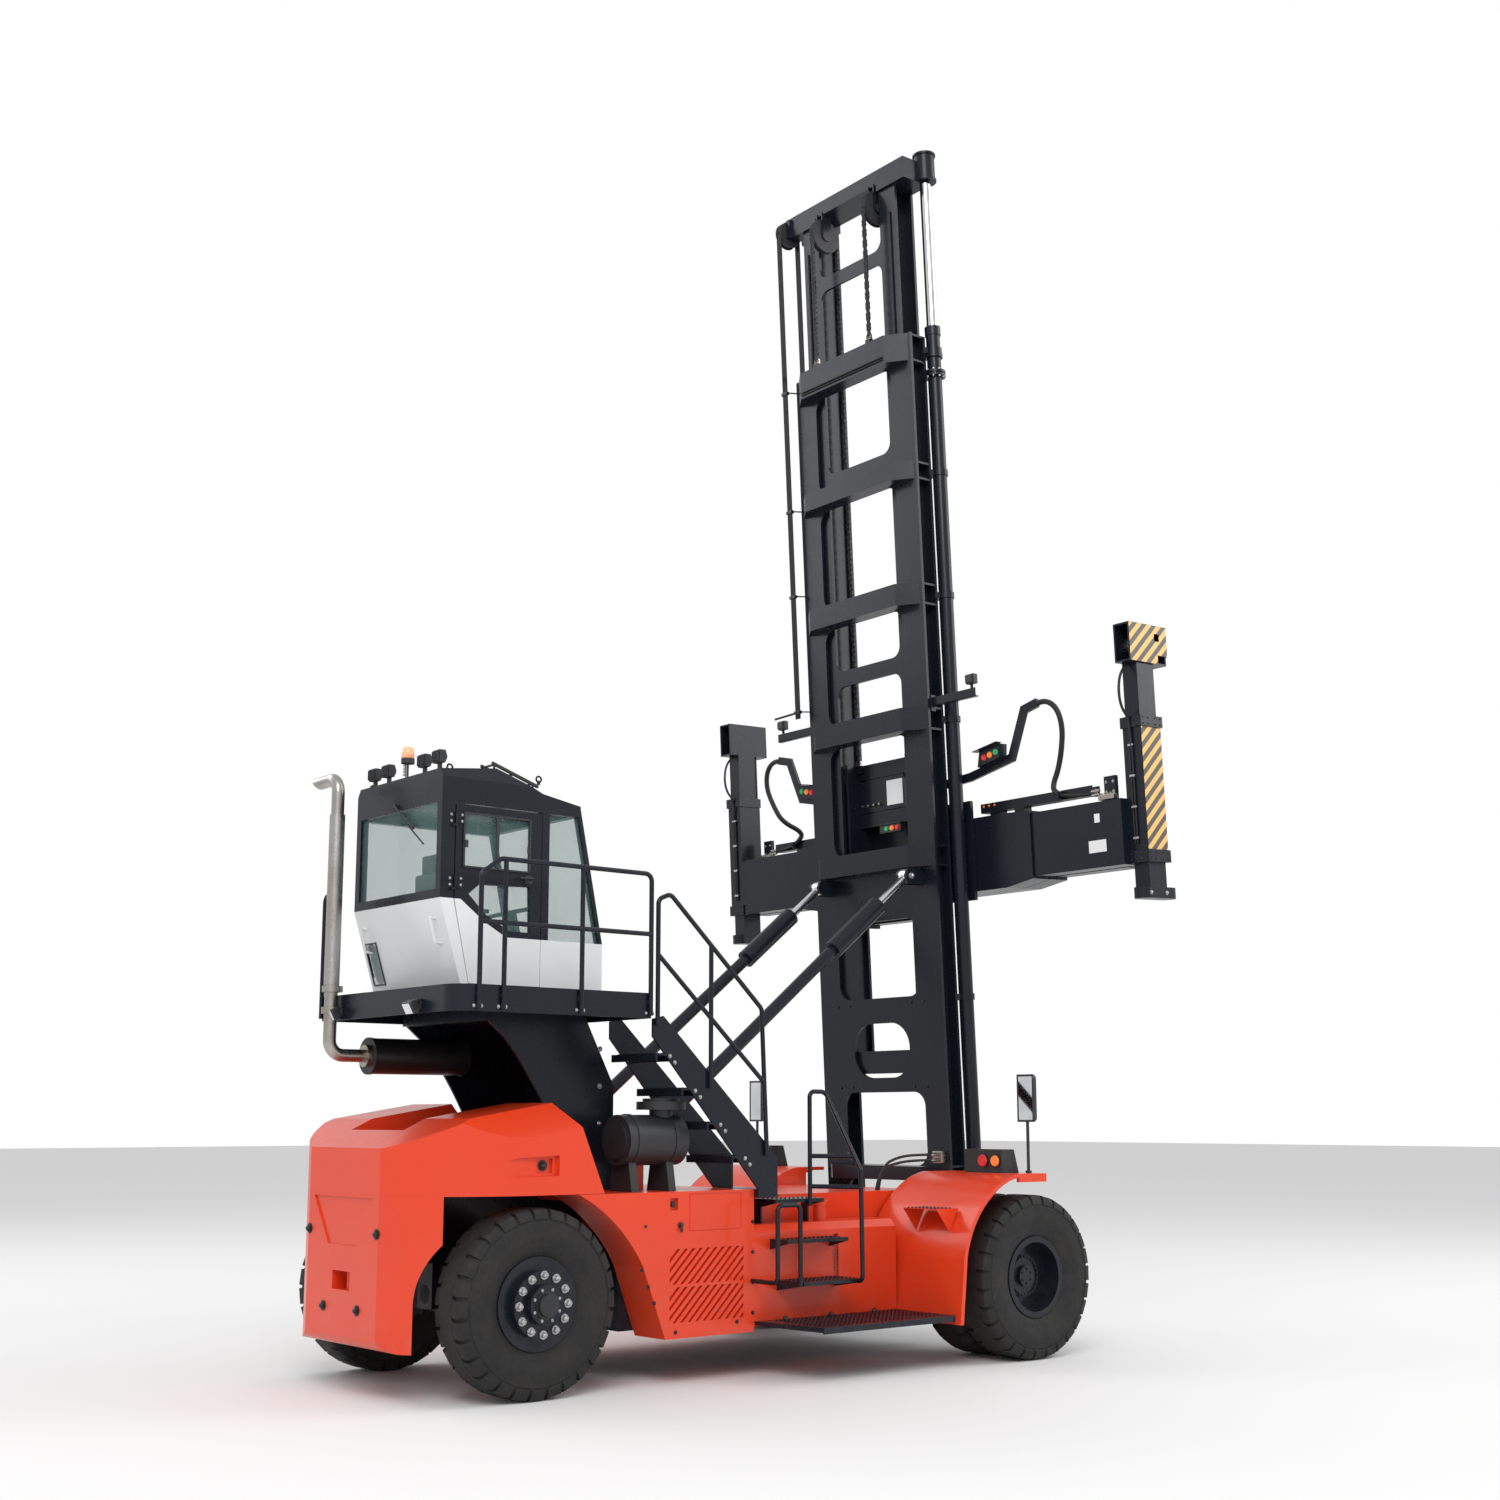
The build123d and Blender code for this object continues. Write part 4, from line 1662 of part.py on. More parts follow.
def lift_chains():
    """Leaf chains over the chain wheels, down to the outer mast and the carriage."""
    strands = [
        chain_strand(SHEAVE_X - SHEAVE_R, OUTER_TOP + ANCHOR_TALL + FIT, SHEAVE_Z),
        chain_strand(SHEAVE_X + SHEAVE_R, CARRIAGE_TOP + FIT, SHEAVE_Z),
    ]
    half = CHAIN_WIDE / 2
    over = pin_y(SHEAVE_X, SHEAVE_Z, CHAIN_Y - half, CHAIN_Y + half, SHEAVE_R + CHAIN_THICK / 2)
    over -= pin_y(SHEAVE_X, SHEAVE_Z, CHAIN_Y - CHAIN_WIDE, CHAIN_Y + CHAIN_WIDE, SHEAVE_R - CHAIN_THICK / 2)
    reach = SHEAVE_R * 2
    over &= block((SHEAVE_X - reach, SHEAVE_X + reach), (0, CHAIN_Y * 2), (SHEAVE_Z, SHEAVE_Z + reach))
    return both_sides(lean(fuse(strands + [over])))


HOSE_R = 11.0
HOSE_PITCH = 24.0


def mast_hoses():
    """Three hoses over the hose wheel, down behind and in front of the left leg."""
    z = INNER_TOP - TOP_BEAM_TALL + FORK_R
    reach = HOSE_SHEAVE_R + HOSE_R + FIT
    hoses = []
    for index in (-1, 0, 1):
        y = HOSE_SHEAVE_Y + index * HOSE_PITCH
        path = Wire([
            Line((HOSE_SHEAVE_X - reach, y, OUTER_TOP + ANCHOR_TALL), (HOSE_SHEAVE_X - reach, y, z)),
            ThreePointArc((HOSE_SHEAVE_X - reach, y, z), (HOSE_SHEAVE_X, y, z + reach),
                (HOSE_SHEAVE_X + reach, y, z)),
            Line((HOSE_SHEAVE_X + reach, y, z), (HOSE_SHEAVE_X + reach, y, CARRIAGE_TOP)),
        ])
        plane = Plane(origin=path @ 0, z_dir=path % 0)
        hoses.append(lean(sweep(plane * Circle(HOSE_R), path=path)))
    return hoses


# Carriage and spreader

CARRIAGE_REAR = 290.0
CARRIAGE_PLATE = 30.0
CARRIAGE_CROSS = 450.0
CARRIAGE_LUG_REAR = 415.0
CARRIAGE_ROWS = ((3980.0, 4180.0), (4960.0, 5100.0), (5450.0, 5600.0))
CARRIAGE_PLATE_Z = (4120.0, 5080.0)
VALVE_Z = (5110.0, 5440.0)
ROLLER_ROWS = (4080.0, 5470.0)
ROLLER_OUT_Y = 500.0
ARM_ROUTE = ((430.0, 5270.0), (960.0, 5310.0), (1500.0, 5420.0), (1680.0, 5850.0), (1850.0, 5890.0))
ARM_TALL = 84.0
ARM_THICK = 34.0
SIGNAL_POINTS = ((1150.0, 5370.0), (1430.0, 5425.0), (1440.0, 5560.0), (1180.0, 5520.0))
SIGNAL_DEEP = 90.0


def carriage_roller(z):
    """Roller between the flanges of the inner mast's left leg."""
    x = (INNER_REAR + INNER_FRONT) / 2
    radius = (INNER_FRONT - INNER_REAR) / 2 - FLANGE - FIT
    return pin_y(x, z, CARRIAGE_Y, ROLLER_OUT_Y, radius)


def hose_arm():
    """Cranked arm on the carriage's left side that holds up the hoses, with its signal lamps."""
    x = PLATE_FRONT - ARM_THICK / 2
    path = Polyline([(x, y, z) for y, z in ARM_ROUTE])
    plane = Plane(origin=path @ 0, x_dir=(1, 0, 0), z_dir=path % 0)
    arm = sweep(plane * Rectangle(ARM_THICK, ARM_TALL), path=path, transition=Transition.RIGHT)
    lamps = cross_plate(SIGNAL_POINTS, PLATE_FRONT - ARM_THICK - SIGNAL_DEEP, PLATE_FRONT - ARM_THICK / 2)
    return arm + lamps


def carriage():
    """Carriage: side plates inside the inner mast, cross bars, face plate and hose arms."""
    outline = [
        (CARRIAGE_REAR, CARRIAGE_LOW + SLEEVE_DEPTH / 2), (CARRIAGE_CROSS, CARRIAGE_LOW), (PLATE_FRONT,
            CARRIAGE_LOW),
        (PLATE_FRONT, CARRIAGE_TOP), (CARRIAGE_REAR, CARRIAGE_TOP),
    ]
    parts = both_sides(side_plate(outline, CARRIAGE_Y - CARRIAGE_PLATE, CARRIAGE_Y))
    for low, high in CARRIAGE_ROWS:
        parts.append(block((CARRIAGE_CROSS, PLATE_FRONT), (-CARRIAGE_Y, CARRIAGE_Y), (low, high)))
    lug = block((CARRIAGE_LUG_REAR, CARRIAGE_CROSS + OVERRUN),
        (CHAIN_Y - CHAIN_WIDE, CHAIN_Y + CARRIAGE_PLATE),
                (CARRIAGE_TOP - ARM_TALL, CARRIAGE_TOP))
    parts += both_sides(lug)
    parts.append(block((PLATE_REAR, PLATE_FRONT), (-PLATE_Y, PLATE_Y), CARRIAGE_PLATE_Z))
    parts.append(block((CARRIAGE_CROSS, PLATE_FRONT), (-CARRIAGE_Y / 2, CARRIAGE_Y - CARRIAGE_PLATE),
        VALVE_Z))
    for z in ROLLER_ROWS:
        parts += both_sides(carriage_roller(z))
    return lean(fuse(parts + both_sides(hose_arm())))


SLEEVE_BELLY = 55.0
SLEEVE_TAPER = 330.0


def sleeve(index):
    """One of the spreader's two beam sleeves, deeper towards its middle."""
    rear = SLEEVE_REAR + index * SLEEVE_PITCH
    half = SLEEVE_Y - SLEEVE_TAPER
    outline = [
        (-SLEEVE_Y, SLEEVE_LOW), (-half, SLEEVE_LOW - SLEEVE_BELLY), (half, SLEEVE_LOW - SLEEVE_BELLY),
        (SLEEVE_Y, SLEEVE_LOW), (SLEEVE_Y, SLEEVE_HIGH), (half, SLEEVE_HIGH + SLEEVE_WALL),
        (-half, SLEEVE_HIGH + SLEEVE_WALL), (-SLEEVE_Y, SLEEVE_HIGH),
    ]
    outer = cross_plate(outline, rear, rear + SLEEVE_DEPTH)
    wall = SLEEVE_WALL
    reach = SLEEVE_Y + OVERRUN
    return outer - block((rear + wall, rear + SLEEVE_DEPTH - wall), (-reach, reach),
        (SLEEVE_LOW + wall, SLEEVE_HIGH - wall))


PAD_LOW = 4285.0
PAD_HIGH = 4815.0
PAD_TALL = 60.0
PAD_Y = 650.0
WEAR_Y = 90.0


def wear_pads(index):
    """Pads in a sleeve's two mouths, under the beam."""
    rear = SLEEVE_REAR + index * SLEEVE_PITCH + SLEEVE_WALL
    front = rear + SLEEVE_DEPTH - SLEEVE_WALL * 2
    low = SLEEVE_LOW + SLEEVE_WALL
    return both_sides(block((rear, front), (SLEEVE_Y - WEAR_Y, SLEEVE_Y), (low, low + BEAM_CLEAR - FIT)))


TROUGH_Y = (980.0, 2360.0)
TROUGH_LOW = 4955.0
TROUGH_TALL = 90.0
TROUGH_WIDE = 110.0
TROUGH_WALL = 8.0
TROUGH_FOOT = 120.0


def trough(side, index):
    """Open trough for the energy chain along the top of a sleeve, reaching over the beam."""
    middle = SLEEVE_REAR + index * SLEEVE_PITCH + SLEEVE_DEPTH / 2
    half = TROUGH_WIDE / 2
    along = sorted((side * TROUGH_Y[0], side * TROUGH_Y[1]))
    high = TROUGH_LOW + TROUGH_TALL
    body = block((middle - half, middle + half), along, (TROUGH_LOW, high))
    body -= block((middle - half + TROUGH_WALL, middle + half - TROUGH_WALL), along,
        (TROUGH_LOW + TROUGH_WALL, high + OVERRUN))
    feet = []
    for y in (TROUGH_Y[0] + TROUGH_FOOT, SLEEVE_Y - TROUGH_FOOT * 2):
        across = sorted((side * y, side * (y + TROUGH_FOOT)))
        feet.append(block((middle - half, middle + half), across,
            (SLEEVE_HIGH - SLEEVE_WALL / 2, TROUGH_LOW + TROUGH_WALL)))
    return [body] + feet


def spreader_frame():
    """Spreader frame: twin sleeves joined by ribs, slide pads and energy chain troughs."""
    parts = [sleeve(0), sleeve(1)] + wear_pads(0) + wear_pads(1)
    for z in (PAD_LOW, PAD_HIGH):
        parts.append(block((PLATE_FRONT + FIT, SLEEVE_REAR), (-PAD_Y, PAD_Y), (z, z + PAD_TALL)))
    low = SLEEVE_LOW - SLEEVE_BELLY
    for z_low, z_high in ((low, low + SLEEVE_WALL), (SLEEVE_HIGH, SLEEVE_HIGH + SLEEVE_WALL)):
        parts.append(block((SLEEVE_REAR, SLEEVE_REAR + SLEEVE_PITCH + SLEEVE_DEPTH), (-PLATE_Y, PLATE_Y),
            (z_low, z_high)))
    parts += trough(-1, 0) + trough(1, 1)
    return lean(fuse(parts))


COLLAR = 15.0
COLLAR_ROWS = ((4290.0, 4400.0), (5510.0, 5610.0))
DROP_X = 1095.0
DROP_R = 40.0
DROP_ROD_R = 24.0
DROP_Z = (4420.0, 5560.0)
DROP_BORE = 4450.0
BEAM_END_PLATE = 20.0
VALVE_Y = (2470.0, 2600.0)
VALVE_TALL = 230.0


def leg_tube(side):
    """Outer tube of a lifting leg with a collar at each end and the barrel of its cylinder."""
    leg_in = LEG_OUT_Y - LEG_WIDTH
    rear = LEG_REAR
    front = LEG_REAR + LEG_DEPTH
    parts = [block((rear, front), sorted((side * leg_in, side * LEG_OUT_Y)), (LEG_LOW, LEG_HIGH))]
    for z_low, z_high in COLLAR_ROWS:
        across = sorted((side * (leg_in - COLLAR), side * (LEG_OUT_Y + COLLAR)))
        parts.append(block((rear - COLLAR, front + COLLAR), across, (z_low, z_high)))
    y = side * (LEG_OUT_Y - LEG_WIDTH / 2)
    parts.append(bar((DROP_X, y, DROP_Z[0]), (DROP_X, y, DROP_Z[1]), DROP_R))
    parts.append(block((front, DROP_X), (y - DROP_R / 2, y + DROP_R / 2),
        (DROP_Z[0], DROP_Z[0] + DROP_R * 2)))
    bore = bar((DROP_X, y, DROP_BORE), (DROP_X, y, DROP_Z[1] + OVERRUN), DROP_ROD_R + PIN_FIT)
    return fuse(parts) - bore


LEG_CLEAR = 8.0
LEG_PAD = 80.0


def beam(side, index):
    """Telescopic beam with the outer tube of its lifting leg; side 1 is the left end."""
    wall = SLEEVE_WALL + BEAM_CLEAR
    rear = SLEEVE_REAR + index * SLEEVE_PITCH + wall
    front = rear + SLEEVE_DEPTH - wall * 2
    low = SLEEVE_LOW + wall
    high = SLEEVE_HIGH - wall
    tube = block((rear, front), sorted((-side * BEAM_TAIL_Y, side * BEAM_Y)), (low, high))
    leg_in = LEG_OUT_Y - LEG_WIDTH
    flange = block((min(rear, LEG_REAR), max(front, LEG_REAR + LEG_DEPTH)),
        sorted((side * BEAM_Y, side * leg_in)), (low, high))
    valve_x = (rear + front) / 2
    valve = block((valve_x - BEAM_END_PLATE, valve_x + BEAM_END_PLATE),
        sorted((side * VALVE_Y[0], side * VALVE_Y[1])),
                  (high - BEAM_END_PLATE, high + VALVE_TALL))
    body = fuse([tube, flange, leg_tube(side), valve])
    wall = LEG_WALL
    bore = block(
        (LEG_REAR + wall, LEG_REAR + LEG_DEPTH - wall), sorted((side * (leg_in + wall),
            side * (LEG_OUT_Y - wall))),
        (LEG_LOW - OVERRUN, LEG_HIGH + OVERRUN),
    )
    pads = []
    across = sorted((side * (leg_in + wall), side * (LEG_OUT_Y - wall)))
    for x in (LEG_REAR + wall, LEG_REAR + LEG_DEPTH - wall - LEG_CLEAR + FIT):
        for z in (LEG_LOW, LEG_HIGH - LEG_PAD):
            pads.append(block((x, x + LEG_CLEAR - FIT), across, (z, z + LEG_PAD)))
    return lean(fuse([body - bore] + pads))


HEAD_REAR = 685.0
HEAD_FRONT = 1220.0
HEAD_PLATE = 16.0
HEAD_NOTCH = (1080.0, 80.0)
HEAD_HOLE = (1040.0, 6310.0)
HEAD_HOLE_SIZE = 70.0
FOOT_REAR = 710.0
FOOT_IN = 30.0


def leg_head(side):
    """Head box of a leg: a channel open to the rear with a notched outer plate."""
    leg_in = LEG_OUT_Y - LEG_WIDTH + FOOT_IN
    edge = side * LEG_OUT_Y
    outer = block((HEAD_REAR, HEAD_FRONT), sorted((side * leg_in, edge)), (LEG_HEAD_LOW, LEG_HEAD_HIGH))
    inside = block(
        (HEAD_REAR - OVERRUN, HEAD_FRONT - HEAD_PLATE), sorted((side * (leg_in + HEAD_PLATE),
            side * (LEG_OUT_Y - HEAD_PLATE))),
        (LEG_HEAD_LOW + HEAD_PLATE, LEG_HEAD_HIGH - HEAD_PLATE),
    )
    cheek = sorted((side * (LEG_OUT_Y - HEAD_PLATE - FIT), side * (LEG_OUT_Y + OVERRUN)))
    notch = block((HEAD_NOTCH[0], HEAD_FRONT + OVERRUN), cheek,
        (LEG_HEAD_LOW - OVERRUN, LEG_HEAD_LOW + HEAD_NOTCH[1]))
    hole = block((HEAD_HOLE[0], HEAD_HOLE[0] + HEAD_HOLE_SIZE), cheek,
        (HEAD_HOLE[1], HEAD_HOLE[1] + HEAD_HOLE_SIZE))
    return outer - inside - notch - hole


def leg(side):
    """Lifting leg: inner tube, head box, cylinder rod and the foot that grips the container."""
    gap = LEG_WALL + LEG_CLEAR
    leg_in = LEG_OUT_Y - LEG_WIDTH
    across = sorted((side * (leg_in + gap), side * (LEG_OUT_Y - gap)))
    tube = block((LEG_REAR + gap, LEG_REAR + LEG_DEPTH - gap), across,
        (FOOT_LOW + OVERRUN, LEG_HEAD_LOW + OVERRUN))
    y = side * (LEG_OUT_Y - LEG_WIDTH / 2)
    rod = bar((DROP_X, y, (DROP_BORE + DROP_Z[1]) / 2), (DROP_X, y, LEG_HEAD_LOW + HEAD_PLATE), DROP_ROD_R)
    half = (across[1] - across[0]) / 2
    foot = block((FOOT_REAR + half, FOOT_FRONT - half), across, (FOOT_LOW, FOOT_HIGH))
    ends = [bar((x, y, FOOT_LOW), (x, y, FOOT_HIGH), half) for x in (FOOT_REAR + half, FOOT_FRONT - half)]
    return lean(fuse([tube, leg_head(side), rod, foot] + ends))


# Tilt cylinders, at the mast's rest lean

TILT_STRUT_R = 55.0
TILT_TUBE_R = 88.0
TILT_TUBE_SHARES = (0.70, 0.88)
TILT_ROD_R = 38.0
TILT_ROD_SHARE = 0.62
TILT_EYE_R = 70.0
TILT_NECK_SHARE = 0.03


def tilt_line(share):
    """Point on the tilt cylinder's axis, from its base at 0 to the mast eye at 1."""
    eye_x, eye_z = leaned(TILT_EYE_X, TILT_EYE_Z)
    return (TILT_BASE_X + (eye_x - TILT_BASE_X) * share, TILT_Y, TILT_BASE_Z + (eye_z - TILT_BASE_Z) * share)


def tilt_barrel():
    """Left tilt cylinder's barrel on its long tail strut."""
    neck = bar(tilt_line(0), tilt_line(TILT_NECK_SHARE), TILT_ROD_R)
    strut = bar(tilt_line(TILT_NECK_SHARE), tilt_line(TILT_TUBE_SHARES[0]), TILT_STRUT_R)
    tube = bar(tilt_line(TILT_TUBE_SHARES[0]), tilt_line(TILT_TUBE_SHARES[1]), TILT_TUBE_R)
    eye = pin_y(TILT_BASE_X, TILT_BASE_Z, EYE_GAP_Y[0] + FIT, EYE_GAP_Y[1] - FIT, TILT_EYE_R)
    hole = pin_y(TILT_BASE_X, TILT_BASE_Z, EYE_Y[0], EYE_Y[1], TILT_PIN_R + PIN_FIT)
    bore = bar(tilt_line(TILT_ROD_SHARE), tilt_line(1), TILT_ROD_R + PIN_FIT)
    return fuse([neck, strut, tube, eye]) - bore - hole


def tilt_rod():
    """Left tilt cylinder's rod and eye."""
    start = TILT_ROD_SHARE + (TILT_TUBE_SHARES[0] - TILT_ROD_SHARE) / 2
    rod = bar(tilt_line(start), tilt_line(1), TILT_ROD_R)
    eye_x, eye_z = leaned(TILT_EYE_X, TILT_EYE_Z)
    eye = pin_y(eye_x, eye_z, EYE_GAP_Y[0] + FIT, EYE_GAP_Y[1] - FIT, TILT_EYE_R)
    hole = pin_y(eye_x, eye_z, EYE_Y[0], EYE_Y[1], TILT_PIN_R + TILT_DRIFT)
    return rod + eye - hole


def tilt_brackets():
    """Brackets on the hull that carry the tilt cylinders' tail eyes."""
    ears = []
    for y in EYE_Y:
        post = block((TILT_BASE_X - EYE_R, TILT_BASE_X + EYE_R), (y - EYE_PLATE / 2, y + EYE_PLATE / 2),
            (HULL_STEP_Z, TILT_BASE_Z))
        nose = pin_y(TILT_BASE_X, TILT_BASE_Z, y - EYE_PLATE / 2, y + EYE_PLATE / 2, EYE_R)
        ears += both_sides(post) + both_sides(nose)
    ears += both_sides(pin_y(TILT_BASE_X, TILT_BASE_Z, EYE_Y[0], EYE_Y[1], TILT_PIN_R))
    return ears


def wheel_sets():
    """Wheels and tyres at their axles."""
    rear = Pos(0, REAR_WHEEL_Y, TYRE_RADIUS) * rear_wheel()
    rear_tyre = Pos(0, REAR_WHEEL_Y, TYRE_RADIUS) * tyre(0)
    front = Pos(WHEELBASE, FRONT_WHEEL_Y, TYRE_RADIUS) * front_wheels()
    front_tyres = [Pos(WHEELBASE, FRONT_WHEEL_Y, TYRE_RADIUS) * tyre(y)
        for y in (-DUAL_PITCH / 2, DUAL_PITCH / 2)]
    save("wheel_rear_left", rear)
    save("wheel_rear_right", mirrored(rear))
    save("tyre_rear_left", rear_tyre)
    save("tyre_rear_right", mirrored(rear_tyre))
    save("wheels_front_left", front)
    save("wheels_front_right", mirrored(front))
    save("tyres_front_left", front_tyres)
    save("tyres_front_right", [mirrored(shape) for shape in front_tyres])


def main():
    """Build every node and write it."""
    os.makedirs("parts", exist_ok=True)
    save("frame", frame())
    save("drive_axle", drive_axle())
    save("steer_axle", steer_axle())
    save("counterweight_upper", counterweight_upper())
    save("counterweight_lower", counterweight_lower())
    save("side_bodies", [side_body(-1), side_body(1)])
    save("tanks", [side_tank(-1), side_tank(1)])
    save("hull", fuse([hull()] + tilt_brackets()))
    save("fenders", [fender(-1), fender(1)])
    save("engine", engine())
    save("boarding_steps", boarding_steps())
    save("boarding_rails", boarding_rails())
    save("tower", tower())
    save("platform", platform())
    save("platform_railing", platform_railing())
    save("stairs", stairs())
    save("stair_railing", stair_railing())
    save("cab_lower", cab_lower())
    save("cab_frame", cab_frame())
    save("cab_roof", cab_roof())
    save("cab_glass", cab_glass())
    save("door_lower", door_lower())
    save("door_frame", door_frame())
    save("door_glass", door_glass())
    save("seat", seat())
    save("console", console())
    save("exhaust", exhaust())
    save("air_cleaner", air_cleaner())
    save("mirrors", mirrors())
    save("lamp_boxes", lamp_boxes())
    save("roof_lamps", roof_lamps())
    save("knuckle_left", knuckle())
    save("knuckle_right", mirrored(knuckle()))
    wheel_sets()
    save("outer_mast", outer_mast())
    save("lift_barrels", lift_barrels())
    save("inner_mast", inner_mast())
    save("lift_rods", lift_rods())
    save("chain_wheels", chain_wheels())
    save("lift_chains", lift_chains())
    save("mast_hoses", mast_hoses())
    save("carriage", carriage())
    save("spreader_frame", spreader_frame())
    save("beam_left", beam(1, 1))
    save("beam_right", beam(-1, 0))
    save("leg_left", leg(1))
    save("leg_right", leg(-1))
    save("tilt_barrel_left", tilt_barrel())
    save("tilt_barrel_right", mirrored(tilt_barrel()))
    save("tilt_rod_left", tilt_rod())
    save("tilt_rod_right", mirrored(tilt_rod()))


main()
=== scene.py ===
"""Dresses the empty container handler: finishes, tyres, trim, seat and studio."""

import json
import logging
import math
from dataclasses import dataclass, field
from enum import Enum
from typing import Iterable, Optional, Sequence, Union

import bmesh
import bpy
from mathutils import Matrix, Vector

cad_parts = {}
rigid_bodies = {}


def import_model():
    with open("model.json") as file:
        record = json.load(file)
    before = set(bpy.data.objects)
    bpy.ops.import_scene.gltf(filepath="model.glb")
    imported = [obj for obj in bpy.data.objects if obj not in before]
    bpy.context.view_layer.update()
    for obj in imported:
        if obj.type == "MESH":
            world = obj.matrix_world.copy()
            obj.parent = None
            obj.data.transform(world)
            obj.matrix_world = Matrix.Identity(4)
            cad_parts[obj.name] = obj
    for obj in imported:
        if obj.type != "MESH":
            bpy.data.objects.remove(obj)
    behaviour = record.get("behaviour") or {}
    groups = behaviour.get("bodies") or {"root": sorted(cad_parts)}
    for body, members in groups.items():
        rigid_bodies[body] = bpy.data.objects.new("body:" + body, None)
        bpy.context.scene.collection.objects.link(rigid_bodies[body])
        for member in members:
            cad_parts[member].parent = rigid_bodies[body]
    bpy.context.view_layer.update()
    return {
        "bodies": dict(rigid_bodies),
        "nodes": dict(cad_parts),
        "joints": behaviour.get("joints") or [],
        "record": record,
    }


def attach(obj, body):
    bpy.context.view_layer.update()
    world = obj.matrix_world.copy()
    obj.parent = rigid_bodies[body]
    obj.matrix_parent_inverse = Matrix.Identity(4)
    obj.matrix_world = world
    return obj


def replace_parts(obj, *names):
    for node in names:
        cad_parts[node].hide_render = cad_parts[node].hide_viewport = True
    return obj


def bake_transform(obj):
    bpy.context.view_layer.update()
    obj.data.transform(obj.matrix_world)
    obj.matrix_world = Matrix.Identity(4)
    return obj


LOG = logging.getLogger("handler")

Point = tuple[float, float, float]
Colour = tuple[float, float, float, float]
Span = Sequence[float]
Shape = bmesh.types.BMesh
Mesh = bpy.types.Mesh
Piece = bpy.types.Object
Socket = bpy.types.NodeSocket


class Side(Enum):
    """The two sides of the machine, by the sign of y."""

    LEFT = 1
    RIGHT = -1

    @property
    def word(self) -> str:
        """The side's name in lower case."""
        return self.name.lower()

    def span(self, inner: float, outer: float) -> list[float]:
        """The span between two distances from the middle plane, in rising order."""
        return sorted((self.value * inner, self.value * outer))


WHEELBASE = 4.65
STEER_AXLE_X = -2.36180686
DRIVE_AXLE_X = STEER_AXLE_X + WHEELBASE
MAST_LEAN = math.radians(2.66)
MAST_PIVOT = Vector((0.35, 0.0, 0.62))


class Layout(Enum):
    """How a sub-assembly's own coordinates lie in the row frame."""

    CHASSIS = "from the steering axle, level"
    MAST = "from the drive axle, upright, then leaned back with the mast"

    @property
    def matrix(self) -> Matrix:
        """The transform from the layout's coordinates to the row frame."""
        if self is Layout.CHASSIS:
            return Matrix.Translation((STEER_AXLE_X, 0.0, 0.0))
        turn = Matrix.Rotation(-MAST_LEAN, 4, "Y")
        over = Matrix.Translation((DRIVE_AXLE_X, 0.0, 0.0)) @ Matrix.Translation(MAST_PIVOT)
        return over @ turn @ Matrix.Translation(-MAST_PIVOT)

    def place(self, x: float, y: float, z: float) -> Vector:
        """A point of the layout, in the row frame."""
        return self.matrix @ Vector((x, y, z))


class Network:
    """A node tree with short ways to add, set and link its nodes."""

    def __init__(self, tree: bpy.types.NodeTree) -> None:
        """Work on a tree.

        Args:
            tree: the node tree.
        """
        self.tree = tree

    def join(self, value: object, socket: Socket) -> None:
        """Link a socket to an input, or set the input to a plain value."""
        if isinstance(value, bpy.types.NodeSocket):
            self.tree.links.new(value, socket)
        else:
            socket.default_value = value

    def add(self, kind: str, links: Optional[dict] = None, **values: object) -> bpy.types.Node:
        """Add a node, set its properties and fill its inputs.

        Args:
            kind: the node's type name.
            links: input name or index to an output socket or a plain value.
            **values: properties of the node.

        Returns:
            The new node.
        """
        node = self.tree.nodes.new(kind)
        for key, value in values.items():
            setattr(node, key, value)
        for key, value in (links or {}).items():
            self.join(value, node.inputs[key])
        return node

    def maths(self, operation: str, *values: object) -> Socket:
        """A maths node over values or sockets; returns its result."""
        return self.add("ShaderNodeMath", dict(enumerate(values)), operation=operation).outputs[0]


